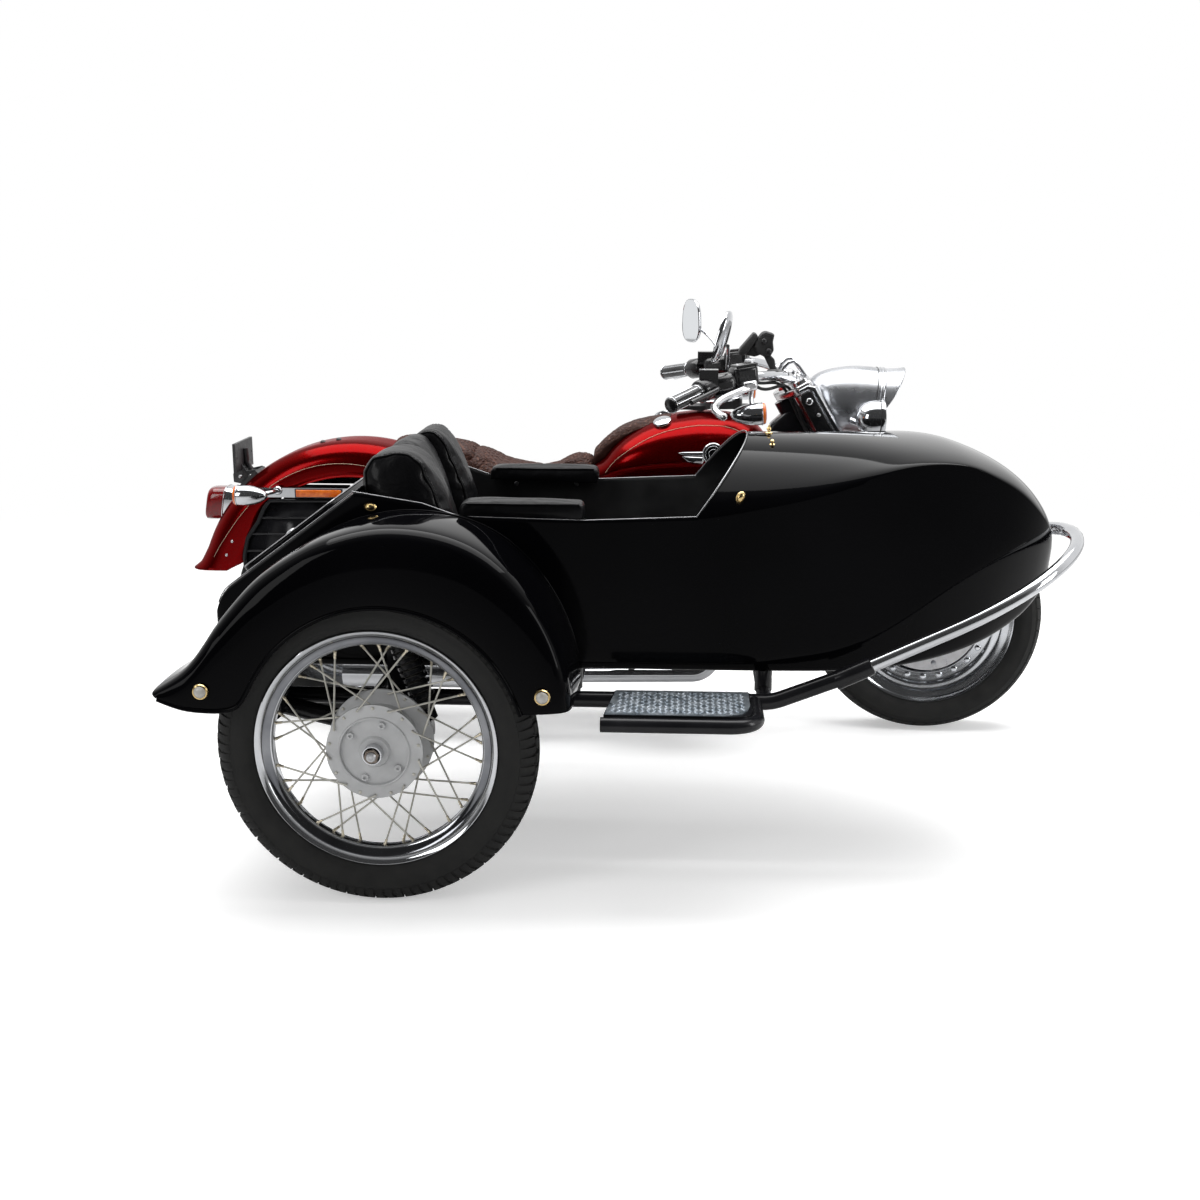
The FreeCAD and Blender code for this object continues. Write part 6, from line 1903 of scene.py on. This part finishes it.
TANK_STRIPE = (
    (742, 738), (765, 768), (800, 797), (850, 829), (900, 850), (950, 862), (1000, 868),
    (1050, 867), (1095, 856), (1130, 834), (1150, 808),
)
STRIPE_BACK, STRIPE_FRONT = TANK_STRIPE[0][0], TANK_STRIPE[-1][0]
MEDALLION_X, MEDALLION_Z = 1033, 797
SPEARS = (  # the two blades behind the medallion: three rows of x, upper z, lower z
    ("upper", ((940, 799.5, 798.0), (955, 800.5, 793.0), (1007, 802.0, 791.5))),
    ("lower", ((952, 789.5, 787.5), (972, 789.0, 772.5), (1007, 788.0, 768.0))),
)
for label, side in SIDES:
    line = []
    for k in range(70):
        x = STRIPE_BACK + (STRIPE_FRONT - STRIPE_BACK) * k / 69
        point = on_tank(x, side, between(TANK_STRIPE, x, 1))
        if point:
            line.append(point)
    stripe = wire("tank_pinstripe_" + label, line, 0.0008, pinstripe, sides=2)
    badge_at = on_tank(MEDALLION_X, side, MEDALLION_Z)
    badge_at.y -= side * 0.001
    disc = lathe(
        "tank_medallion_" + label,
        ((0.1, 6.0), (15.0, 5.6), (22.5, 4.6), (23.0, 3.4), (24.0, 3.4), (24.4, 5.4), (27.0, 6.2),
         (29.0, 4.6), (29.5, 0.5), (29.5, -3.0)),
        badge_at, (0, side, 0.12), chrome, steps=56, sharp=28,
    )
    lathe(
        "tank_medallion_field_" + label,
        ((0.1, 6.9), (8.0, 6.7), (8.4, 7.2), (10.6, 7.2), (11.0, 6.5), (21.6, 5.3), (22.4, 4.5)),
        badge_at, (0, side, 0.12), lacquer, steps=56, sharp=28,
    )
    for ring_at, inset in ((21.0, 6.2), (12.5, 7.6)):
        ring = []
        for a in turns(36):
            x, z = ring_at / 1000 * math.cos(a), ring_at / 1000 * math.sin(a)
            ring.append(badge_at + Vector((x, side * inset / 1000, z)))
        wire("tank_medallion_ring_" + label, ring, 0.0009, chrome, closed=True, sides=2)
    for blade, rows in SPEARS:
        points = []
        for k in range(13):
            x = rows[0][0] + (rows[2][0] - rows[0][0]) * k / 12
            high, low = (between(rows, x, column) for column in (1, 2))
            points += [on_tank(x, side, low + (high - low) * j / 3) for j in range(4)]
        bar = piece("tank_spear_" + blade + "_" + label, points, grid_faces(13, 4), chrome)
        thicken(bar, 0.003, 1.0 if side > 0 else -1.0)

BIB = (
    (708, 784, 52, 14), (724, 800, 58, 14), (742, 818, 64, 14), (762, 834, 70, 14),
    (786, 850, 74, 14), (820, 864, 77, 13), (860, 873, 77, 12), (900, 880, 74, 11),
    (926, 884, 70, 10),
)
bib = stuffed(
    "tank_bib", pad_blank(BIB, lambda x: between(TANK, x, 1) - 10), brown_hide, "chassis", 3.0,
    0.006, 0.005, edge=0.006,
)
quilt(bib, 0.0032)
for vertex in bib.data.vertices:
    at, normal, _, _ = tank_skin.find_nearest(vertex.co)
    if (vertex.co - at).dot(normal) < SKIN_GAP:
        vertex.co = at + normal * SKIN_GAP

coat_node("tank_console", black_fixings, edge=0.0018)
dial_centre = place(1055, 0, 928)
DIAL_AXIS = (-0.12, 0, 1)
for name, profile, material in (
    ("dial_bezel", ((50.0, -6.0), (58.0, -4.0), (59.5, 1.0), (57.0, 4.0), (52.0, 4.6),
                    (50.0, 2.0)), chrome),
    ("dial_face", ((50.5, 1.4), (20.0, 1.6), (0.1, 1.6)), black_fixings),
):
    lathe(name, profile, dial_centre, DIAL_AXIS, material, steps=72)
lean = facing(DIAL_AXIS)
points = []
for number in range(31):
    a = math.radians(-135 + 270 * number / 30)
    long, wide = (10, 1.4) if number % 5 == 0 else (5, 0.7)
    out = Vector((math.cos(a), math.sin(a), 0.0))
    across = Vector((-math.sin(a), math.cos(a), 0.0))
    for reach, slip in ((47, -wide), (47, wide), (47 - long, wide), (47 - long, -wide)):
        spot = lean @ (out * reach + across * slip * 0.5 + Vector((0, 0, 2.1)))
        points.append(dial_centre + spot / 1000)
ticks = [tuple(range(base, base + 4)) for base in range(0, len(points), 4)]
piece("dial_ticks", points, ticks, pinstripe)
cap_profile = (
    (23.0, -8.0), (25.0, 0.0), (25.5, 4.0), (24.5, 8.0), (21.0, 10.5), (12.0, 12.0), (0.1, 12.4),
)
for label, side in SIDES:
    hit, normal, _, _ = tank_skin.ray_cast(place(896, side * 86, 1200), Vector((0, 0, -1)))
    lid = lathe("fuel_cap_" + label, cap_profile, hit, normal, chrome)





# ---- Fork, clamps and its covers ---------------------------------------------------------
# Polished alloy sliders on chromed stanchions, held by two forged clamps.  A flat black
# panel with a bright edge is bolted to the outside of each shroud.
STEER_ALONG = Vector((-0.4924, 0.0, 0.8704))
STEER_AHEAD = Vector((0.8704, 0.0, 0.4924))
FORK_FOOT = Vector((1640.0, 0.0, 321.0))


def on_fork(along, ahead, side):
    """Point given along the fork from the front axle, ahead of it and to one side."""
    spot = FORK_FOOT + STEER_ALONG * along + STEER_AHEAD * ahead
    return place(spot.x, side, spot.z)


polished_alloy = finish(
    "polished_alloy", (0.60, 0.60, 0.61), (0.74, 0.74, 0.75), (0.16, 0.26), metal=0.95,
    spread=25.0, grain=(0.04, 350.0),
)
switch_black = finish(
    "switch_black", (0.007, 0.007, 0.0075), (0.015, 0.015, 0.016), (0.16, 0.30), coat=0.35,
    spread=40.0, grain=(0.06, 800.0), mirror=0.3,
)
coat_node("fork_legs", polished_alloy, edge=0.0012)
coat_node("fork_covers", chrome, edge=0.0015)
coat_node("front_fender", candy_red, edge=0.0012)
coat_node("passing_lamps", chrome)
PANEL_Y = 154.0
PANEL_PLAN = (  # along the fork and ahead of it
    (430, -26), (720, -26), (738, -18), (736, 6), (728, 12), (430, 12),
)
PANEL_EDGE = (
    (430, 15), (730, 15), (742, 6), (744, -18), (752, -18), (752, 10), (738, 26), (430, 32),
)
RISER_HOOP = ((1212, 1000), (1222, 1020), (1234, 1033), (1247, 1036), (1262, 1020), (1294, 976))
for label, side in SIDES:
    y = side * PANEL_Y
    corners = [on_fork(along, ahead, y) for along, ahead in PANEL_PLAN]
    plate = panel("fork_panel_" + label, corners, 0.007, switch_black, "steering", bend=0.003)
    strip = [on_fork(along, ahead, y) for along, ahead in PANEL_EDGE]
    edge_bar = panel("fork_panel_edge_" + label, strip, 0.009, chrome, "steering", bend=0.003)
    bolt = [on_fork(712, -6, y + side * 3)]
    studs("fork_panel_bolt_" + label, bolt, (0, side, 0), 0.010, 0.005, chrome, "steering")
    screw = [on_fork(669, -1, y + side * 3)]
    studs(
        "fork_panel_screw_" + label, screw, (0, side, 0), 0.006, 0.004, bare_steel, "steering", 6
    )
    path = [place(x, side * 60, z) for x, z in RISER_HOOP]
    hoop = wire("bar_riser_hoop_" + label, path, 0.0052, chrome, "steering")
    pedestal = lathe(
        "bar_riser_" + label,
        ((0.1, -34.0), (15.0, -34.0), (19.0, -28.0), (17.0, -8.0), (20.0, 2.0), (20.5, 12.0),
         (16.0, 18.0), (0.1, 19.0)),
        place(1262, side * 60, 972), (-0.35, 0, 0.93), polished_alloy, "steering", steps=36,
    )
    for number, (x, y_at, z) in enumerate(((1246, 74, 988), (1222, 112, 1000))):
        lathe(
            "bar_collar_" + label + "_" + str(number),
            ((13.0, -9.0), (16.5, -8.0), (17.5, 0.0), (16.5, 8.0), (13.0, 9.0)),
            place(x, side * y_at, z), (0.55, -0.75 * side, -0.3), polished_alloy, "steering",
            steps=36, sharp=50,
        )
CLAMP_PLAN = (  # ahead of the fork, and to the side
    (-80, -30), (-80, 30), (-34, 128), (-20, 141), (14, 143), (24, 134), (26, 60), (26, -60),
    (24, -134), (14, -143), (-20, -141), (-34, -128),
)
for name, along in (("lower", 574), ("upper", 748)):
    spots = [on_fork(along, ahead, y) for ahead, y in CLAMP_PLAN]
    clamp = panel("fork_clamp_" + name, spots, 0.024, polished_alloy, "steering", bend=0.007)
    if name == "upper":
        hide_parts("triple_clamps")
BAR_PATH = (
    (1264, 0, 974), (1262, 40, 976), (1256, 66, 983), (1236, 92, 994), (1200, 160, 1006),
    (1160, 236, 1012), (1120, 268, 1010), (1072, 292, 1001), (1022, 312, 991), (968, 372, 971),
    (924, 424, 955),
)
run = [place(x, -y, z) for x, y, z in reversed(BAR_PATH)]
run += [place(x, y, z) for x, y, z in BAR_PATH[1:]]
bar = wire("handlebar_tube", run, 0.0122, chrome, "steering", smooth=True, sides=8)
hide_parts("handlebar")
NECK = ((1210, 958), (1236, 966), (1262, 930), (1300, 862), (1262, 850), (1226, 900))
GUSSET = ((1180, 838), (1192, 862), (1232, 898), (1268, 902), (1306, 850), (1300, 828))
neck = [place(x, 0, z) for x, z in NECK]
neck = panel("steering_head_cover", neck, 0.052, candy_red, bend=0.008)
gusset = [place(x, 0, z) for x, z in GUSSET]
gusset = panel("steering_head_gusset", gusset, 0.070, enamel, bend=0.010)
CABLES = (
    ((1126, -262, 1002), (1138, -244, 984), (1160, -214, 972), (1190, -160, 974),
     (1218, -118, 980), (1240, -98, 964), (1254, -86, 930), (1272, -78, 880), (1306, -74, 808)),
    ((1116, -268, 1006), (1140, -226, 990), (1176, -160, 988), (1206, -112, 984),
     (1230, -90, 956), (1250, -76, 914), (1276, -66, 862), (1310, -60, 806)),
    ((1116, 268, 1006), (1144, 226, 982), (1180, 166, 978), (1214, 120, 978),
     (1240, 96, 954), (1258, 84, 910), (1282, 78, 860), (1308, 74, 806)),
)
for number, cable in enumerate(CABLES):
    run = [place(*spot) for spot in cable]
    name = "control_cable_" + str(number)
    hose = wire(name, run, 0.0042, moulded_rubber, "steering", smooth=True)


# ---- Headlamp in its nacelle -------------------------------------------------------------
# A polished pressing spans the fork and closes on a seam ring, ahead of which a flared peak
# shades the glass.  Two chromed passing lamps stand beside it.
NACELLE = (  # x, crown z, half width, lowest z
    (1296, 980, 30, 905), (1304, 991, 52, 880), (1320, 1002, 72, 862), (1345, 1011, 88, 848),
    (1376, 1017, 97, 838), (1410, 1020, 102, 832), (1440, 1018.5, 104, 829),
    (1466, 1015, 104, 828), (1484, 1011, 103, 828),
)
SHELL_BACK, SHELL_FRONT = NACELLE[0][0], NACELLE[-1][0]
SHELL_LEAN = 0.16  # the mouth leans forward as it rises
SHELL_ACROSS, SHELL_UP = 0.86, 0.92  # powers that square its round section a little


def shell_at(x):
    """Crown, half width, lowest point and middle height of the lamp's shell at x."""
    crown, half, low = (between(NACELLE, x, column) for column in (1, 2, 3))
    return crown, half, low, low + 0.46 * (crown - low)


def lamp_ring(x, grow, steps):
    """Points round the shell at x, grown outward by grow mm."""
    crown, half, low, middle = shell_at(x)
    lean = (x - SHELL_BACK) / (SHELL_FRONT - SHELL_BACK) * SHELL_LEAN
    made = []
    for a in turns(steps):
        c, s = squared(a, SHELL_ACROSS, SHELL_UP)
        z = middle + ((crown - middle if math.sin(a) > 0 else middle - low) + grow) * s
        made.append(place(x + lean * (z - middle), (half + grow) * c, z))
    return made


points = []
for k in range(49):
    points += lamp_ring(SHELL_BACK + (SHELL_FRONT - SHELL_BACK) * k / 48, 0, 64)
faces = grid_faces(49, 64, True) + [tuple(range(64))]
polished_shell = finish(
    "polished_shell", (0.38, 0.39, 0.41), (0.58, 0.59, 0.61), (0.22, 0.38), metal=0.84,
    spread=13.0, grain=(0.25, 22.0),
)
nacelle = piece("headlamp_shell", points, faces, polished_shell, "steering", 60)
tidy(nacelle)
thicken(nacelle, 0.002)
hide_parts("headlamp_nacelle")
for name, x, grow, radius, material in (
    ("headlamp_seam", 1463, 0.4, 0.0013, black_fixings),
    ("headlamp_rim", 1480, 1.2, 0.0036, chrome),
):
    wire(name, lamp_ring(x, grow, 64), radius, material, "steering", closed=True)

# The peak: rows forward from the mouth, longest and most flared over the middle.
PEAK_LENGTH = 64
PEAK_FLARE = 10.0
PEAK_OVERLAP = 0.14  # radians it reaches below level at each side
points = []
for k in range(13):
    t = k / 12
    crown, half, low, middle = shell_at(1466 + 18 * t)
    for s in range(49):
        a = math.radians(-8 + 196 * s / 48)
        share = (a + PEAK_OVERLAP) * math.pi / (math.pi + 2 * PEAK_OVERLAP)
        lift = math.sin(max(0.0, min(math.pi, share)))
        reach = (1 + PEAK_LENGTH * t) * lift ** 0.55
        flare = PEAK_FLARE * t * t * lift
        c, up = squared(a, SHELL_ACROSS, SHELL_UP)
        z = middle + (crown - middle - 5 * t + flare) * up
        y = (half + 1.5 + flare * 0.4) * c
        points.append(place(1470 + reach + 0.15 * (z - middle), y, z))
peak = piece("headlamp_peak", points, grid_faces(13, 49), polished_shell, "steering", 60)
thicken(peak, 0.0018)

lamp_glass = finish(
    "fluted_glass", (0.80, 0.82, 0.84), (0.92, 0.93, 0.94), (0.02, 0.06), spread=12.0,
    grain=(0.2, 60.0),
)
lamp_glass.node_tree.nodes["Principled BSDF"].inputs["Transmission Weight"].default_value = 0.9
lamp_at = place(1480, 0, 924)
lathe(
    "headlamp_reflector",
    ((94.0, 6.0), (84.0, -12.0), (66.0, -30.0), (40.0, -46.0), (16.0, -52.0), (14.0, -34.0),
     (9.0, -28.0), (0.1, -26.0)),
    lamp_at, (1, 0, 0), chrome, "steering", steps=64, sharp=50,
)
glass = lathe(
    "headlamp_glass",
    ((93.0, 4.0), (92.0, 8.0), (80.0, 14.0), (58.0, 20.0), (30.0, 24.0), (0.1, 25.5)),
    lamp_at, (1, 0, 0), lamp_glass, "steering", steps=64, sharp=60,
)
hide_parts("headlamp_lens")
PASSING = (
    (0.1, -42.0), (14.0, -40.0), (28.0, -33.0), (38.0, -21.0), (44.0, -6.0), (46.0, 8.0),
    (46.0, 20.0), (45.2, 20.6), (45.2, 22.4), (47.0, 23.0), (47.5, 28.0), (46.0, 33.0),
    (42.0, 34.5), (41.0, 31.0),
)
STALK = ((1400, 118, 885), (1424, 140, 878), (1440, 162, 872))
for label, side in SIDES:
    at = place(1447, side * 165, 897)
    can = lathe("passing_lamp_" + label, PASSING, at, (1, 0, 0), chrome, "steering", steps=56)
    front = lathe(
        "passing_glass_" + label,
        ((41.5, 30.5), (38.0, 33.0), (26.0, 37.0), (12.0, 39.0), (0.1, 39.6)), at, (1, 0, 0),
        lamp_glass, "steering", steps=56, sharp=60,
    )
    if side < 0:
        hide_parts("passing_lamps")
    stalk = [place(x, side * y, z) for x, y, z in STALK]
    wire("passing_stalk_" + label, stalk, 0.009, chrome, "steering", smooth=True)
    ring = [
        at + Vector((0.0215, 0.0455 * math.cos(a), 0.0455 * math.sin(a))) for a in turns(48)
    ]
    wire("passing_seam_" + label, ring, 0.0012, black_fixings, "steering", closed=True)


# ---- Handlebar grips, switches, levers and indicators ------------------------------------
# Rubber grips are banded with chromed strips and closed with a dished cap.  Cast housings
# clamp on inboard of them, with the fluid reservoir above and a forged lever in front.
GRIP_ENDS = {-1: (918.0, -430.0, 953.0), 1: (890.0, 430.0, 962.0)}
GRIP_KNEE = (1022.0, 312.0, 991.0)
BAR_KNEE = (1168.0, 250.0, 1010.0)
LEVER = (
    (1128, 300, 990), (1106, 312, 984), (1080, 338, 975), (1052, 368, 966), (1034, 396, 957),
    (1027, 424, 948), (1034, 448, 938), (1050, 466, 931),
)
BULLET_ARM = ((1130, 322, 934), (1118, 300, 964), (1126, 276, 984), (1138, 262, 1001))


def cast_block(name, centre, along, size, material, bend):
    """A rounded housing: size is its length along, its depth and its height, in mm."""
    length, depth, height = (value / 2000 for value in size)
    run = Vector(along).normalized()
    over = run.cross(Vector((0, 0, 1))).normalized()
    rise = over.cross(run).normalized()
    points = []
    for a, narrowed in ((-1, 1.0), (1, 0.86)):
        for b in (-1, 1):
            side = centre + run * length * a + over * depth * b * narrowed
            points += [side + rise * height * c for c in (-1, 1)]
    faces = [(0, 1, 3, 2), (4, 6, 7, 5), (0, 4, 5, 1), (2, 3, 7, 6), (0, 2, 6, 4), (1, 5, 7, 3)]
    made = piece(name, points, faces, material, "steering", 60)
    tidy(made)
    rounded(made, "cast_round", bend, 4)


for label, side in SIDES:
    end = place(*GRIP_ENDS[side])
    knee, inner = (place(x, side * y, z) for x, y, z in (GRIP_KNEE, BAR_KNEE))
    outward = (end - knee).normalized()
    grip = lathe(
        "grip_sleeve_" + label,
        ((0.1, 1.0), (13.0, 0.5), (17.8, -1.5), (19.6, -6.0), (19.4, -60.0), (19.8, -104.0),
         (22.0, -110.0), (22.4, -116.0), (12.0, -118.0)),
        end, outward, switch_black, "steering", steps=48,
    )
    if side < 0:
        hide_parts("hand_grips")
    turn = facing(outward)
    for number in range(7):
        a = 2 * math.pi * number / 7 + 0.3
        out = Vector((0.0192 * math.cos(a), 0.0192 * math.sin(a), 0.0))
        strip = [end + turn @ (out + Vector((0, 0, -d))) for d in (0.012, 0.05, 0.098)]
        wire("grip_strip_" + label + "_" + str(number), strip, 0.0017, chrome, "steering", sides=3)
    for name, depth, radius in (("outer", 0.007, 0.0197), ("inner", 0.104, 0.0201)):
        band = circle(end, turn, radius, -depth, 40)
        wire("grip_band_" + name + "_" + label, band, 0.0019, chrome, "steering", closed=True)
    lathe(
        "grip_collar_" + label,
        ((18.0, -112.0), (27.0, -113.0), (29.0, -117.0), (29.0, -150.0), (26.0, -158.0),
         (12.0, -160.0)),
        end, outward, switch_black, "steering", steps=48,
    )
    bar_run = (inner - knee).normalized()
    for name, along, aside, size, material, bend in (
        ("switch_pod_", 0.030, (0, 0, -0.002), (80, 54, 60), switch_black, 0.020),
        ("fluid_reservoir_", 0.092, (0, 0, 0.012), (70, 48, 56), switch_black, 0.012),
        ("reservoir_cap_", 0.090, (0.002, 0, 0.041), (60, 42, 7), switch_black, 0.002),
        ("switch_button_", 0.01, (-0.020, 0, 0.014), (20, 16, 12), moulded_rubber, 0.003),
    ):
        at = knee + bar_run * along + Vector(aside)
        cast_block(name + label, at, bar_run, size, material, bend)
    screws = [knee + bar_run * along + Vector((0.002, 0, 0.0445)) for along in (0.070, 0.112)]
    studs(
        "reservoir_screws_" + label, screws, (0, 0, 1), 0.0036, 0.002, bare_steel, "steering", 10
    )
    path = [place(x, side * y, z) for x, y, z in LEVER]
    lever = wire(
        "hand_lever_" + label, path, 0.0102, polished_alloy, "steering", smooth=True
    )
    lathe(
        "lever_ball_" + label,
        ((0.1, 11.0), (6.0, 9.0), (9.6, 4.0), (9.6, -4.0), (6.0, -9.0), (0.1, -11.0)), path[-1],
        (0.7, 0.7 * side, 0), polished_alloy, "steering", steps=28, sharp=80,
    )
    cast_block(
        "lever_bracket_" + label, place(1118, side * 302, 992), bar_run, (40, 30, 26),
        polished_alloy, 0.007,
    )
    lamp_spot = place(1134, side * 322, 922)
    front_shell = bullet("front_bullet_" + label, lamp_spot, (-1, 0, -0.06), "steering")
    if side < 0:
        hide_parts("front_indicators")
    path = [place(x, side * y, z) for x, y, z in BULLET_ARM]
    arm = wire("front_bullet_arm_" + label, path, 0.0062, chrome, "steering", smooth=True)
coat_node("hand_controls", switch_black, edge=0.002)


# ---- Mirrors -----------------------------------------------------------------------------
# Chromed die-cast backs with round-cornered glass pressed in, on bent plated stems that
# screw into the hand controls' housings.
mirror_glass = finish(
    "mirror_glass", (0.70, 0.72, 0.74), (0.76, 0.78, 0.80), (0.015, 0.03), metal=1.0, spread=3.0,
)
MIRROR_STEPS = 56
MIRROR_LAYERS = (  # share of the outline, mm behind the glass
    (0.955, 1.0), (0.985, 0.0), (1.0, 2.0), (1.0, 6.0), (0.94, 11.0), (0.78, 15.5),
    (0.5, 18.5), (0.2, 19.5), (0.01, 19.6),
)
MIRRORS = (  # which one, side, x, lean, degrees turned outward, stem
    ("near", -1, 1040.0, 0.27, 11,
     ((1062, -300, 1034), (1064, -308, 1062), (1062, -352, 1086), (1060, -392, 1098))),
    ("far", 1, 968.0, 0.0, 28,
     ((1050, 300, 1032), (1046, 312, 1068), (1006, 372, 1092), (984, 396, 1104))),
)


def mirror_outline(head, across, outward, lean, scale, depth):
    """Outline of a mirror head, scaled, at a depth in mm behind its glass."""
    made = []
    for a in turns(MIRROR_STEPS):
        c, s = squared(a, 0.72, 0.78)
        u, v = 52 * c * scale, 64 * s * scale
        spot = head + across * u * (1 - 0.08 * v / 64) + Vector((lean * v, 0, v))
        made.append(place(*(spot + outward * depth)))
    return made


for label, side, x, lean, turned, stem_path in MIRRORS:
    yaw = math.radians(turned)
    pose = (
        Vector((x, side * 398.0, 1120.0)), Vector((-side * math.sin(yaw), math.cos(yaw), 0)),
        Vector((math.cos(yaw), side * math.sin(yaw), 0)), lean,
    )
    points = [point for layer in MIRROR_LAYERS for point in mirror_outline(*pose, *layer)]
    faces = grid_faces(len(MIRROR_LAYERS), MIRROR_STEPS, True)
    shell = piece("mirror_shell_" + label, points, faces, chrome, "steering", 40)
    tidy(shell)
    disc = mirror_outline(*pose, 0.955, 0.9)
    whole = [tuple(range(MIRROR_STEPS))]
    face = piece("mirror_glass_" + label, disc, whole, mirror_glass, "steering")
    if label == "near":
        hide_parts("mirrors")
    path = [place(*spot) for spot in stem_path]
    stem = wire("mirror_stem_" + label, path, 0.0046, chrome, "steering", smooth=True)


# ---- Phone holder ------------------------------------------------------------------------
# A moulded black cradle with two sprung jaws, on a ball arm that a clamp holds to the bar.
# Two round knobs on its face tighten the jaws.
PHONE_PARTS = (  # name, y, thickness, outline as (x, z)
    ("jaw_back", -80, 0.058, ((1096, 1060), (1100, 1072), (1136, 1114), (1145, 1110),
                              (1148, 1100), (1134, 1080), (1118, 1058), (1104, 1054))),
    ("bridge", -80, 0.040, ((1112, 1078), (1112, 1056), (1140, 1050), (1156, 1056),
                            (1152, 1084), (1134, 1088))),
    ("jaw_front", -80, 0.058, ((1148, 1100), (1158, 1113), (1168, 1117), (1191, 1110),
                               (1187, 1090), (1190, 1068), (1180, 1050), (1166, 1050),
                               (1146, 1060), (1138, 1078))),
    ("arm", -92, 0.024, ((1178, 1058), (1193, 1044), (1196, 1024), (1206, 1012),
                         (1204, 998), (1186, 1000), (1180, 1020), (1164, 1052))),
)
for name, y, thick, outline in PHONE_PARTS:
    corners = [place(x, y, z) for x, z in outline]
    part = panel("phone_" + name, corners, thick, moulded_rubber, "steering")
    if name == "jaw_back":
        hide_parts("phone_mount")
cast_block(
    "phone_bar_clamp", place(1198, -134, 1004), (0.35, 0.9, -0.1), (90, 32, 30), switch_black,
    0.006,
)
knob_spots = [place(1163, -109, 1092), place(1176, -109, 1066)]
studs("phone_knobs", knob_spots, (0, -1, 0), 0.008, 0.005, black_fixings, "steering", 12)


# ---- Engine dress: rocker boxes, pushrod tubes, covers and their screws -------------------
# Plated covers are screwed over the castings; thin tubes carry the pushrods up the right
# side of each barrel.  The left side carries the long primary cover with its round lid.
MID_X = 890
for foot_x, lean in ((950.0, 22.5), (830.0, -22.5)):
    tilt = math.radians(lean)
    up = Vector((math.sin(tilt), 0, math.cos(tilt)))
    foot = Vector((foot_x, 0, 432.0))
    label = "front" if lean > 0 else "rear"
    top = foot + up * 226
    box = lathe(
        "rocker_box_" + label,
        ((73.5, -34.0), (74.5, -26.0), (74.5, -6.0), (70.0, 3.0), (58.0, 8.0), (52.0, 12.0),
         (20.0, 15.0), (0.1, 15.5)),
        place(top.x, 0, top.z), up, chrome, steps=56,
    )
    for number, shift in enumerate((-22, 22)):
        low = Vector((MID_X + (foot_x - MID_X) * 0.5 + shift, 0, 400.0))
        high = foot + up * 184 + Vector((shift * 0.5, 0, 0))
        path = [place(spot.x, -79, spot.z) for spot in (low, high)]
        tube = wire("pushrod_tube_" + label + "_" + str(number), path, 0.0075, chrome)
for name, at, way, profile, sharp in (
    ("cam_cover", place(MID_X, -77, 325), -1,
     ((76.0, -4.0), (76.0, 4.0), (72.0, 8.0), (50.0, 10.0), (46.0, 13.0), (20.0, 14.5),
      (0.1, 15.0)), 30),
    ("air_cleaner_lid", place(MID_X, -131, 560), -1,
     ((84.0, -2.0), (86.5, 2.0), (82.0, 7.0), (60.0, 9.0), (56.0, 5.5), (30.0, 6.5),
      (0.1, 9.0)), 28),
    ("clutch_lid", place(748, 137, 325), 1,
     ((62.0, -2.0), (62.0, 5.0), (58.0, 8.0), (40.0, 8.5), (36.0, 5.5), (10.0, 6.5),
      (0.1, 7.0)), 28),
):
    lid = lathe(name, profile, at, (0, way, 0), chrome, steps=64, sharp=sharp)
    if name == "cam_cover":
        screw_spots = [
            place(MID_X + 62 * math.cos(a), -85, 325 + 62 * math.sin(a)) for a in turns(6)
        ]
        studs("cam_cover_screws", screw_spots, (0, -1, 0), 0.0045, 0.003, bare_steel, steps=6)
rim_spots = [place(x, 137.5, z) for x, z in (
    (690, 268), (668, 325), (690, 386), (780, 396), (890, 396), (952, 364), (980, 320),
    (950, 280), (890, 248), (780, 256),
)]
studs("primary_cover_screws", rim_spots, (0, 1, 0), 0.0055, 0.004, bare_steel, steps=6)


# ---- Sizes: the finished vehicle's box ---------------------------------------------------
# The finished vehicle's box takes in every piece, as low and high corners in metres.
low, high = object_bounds()
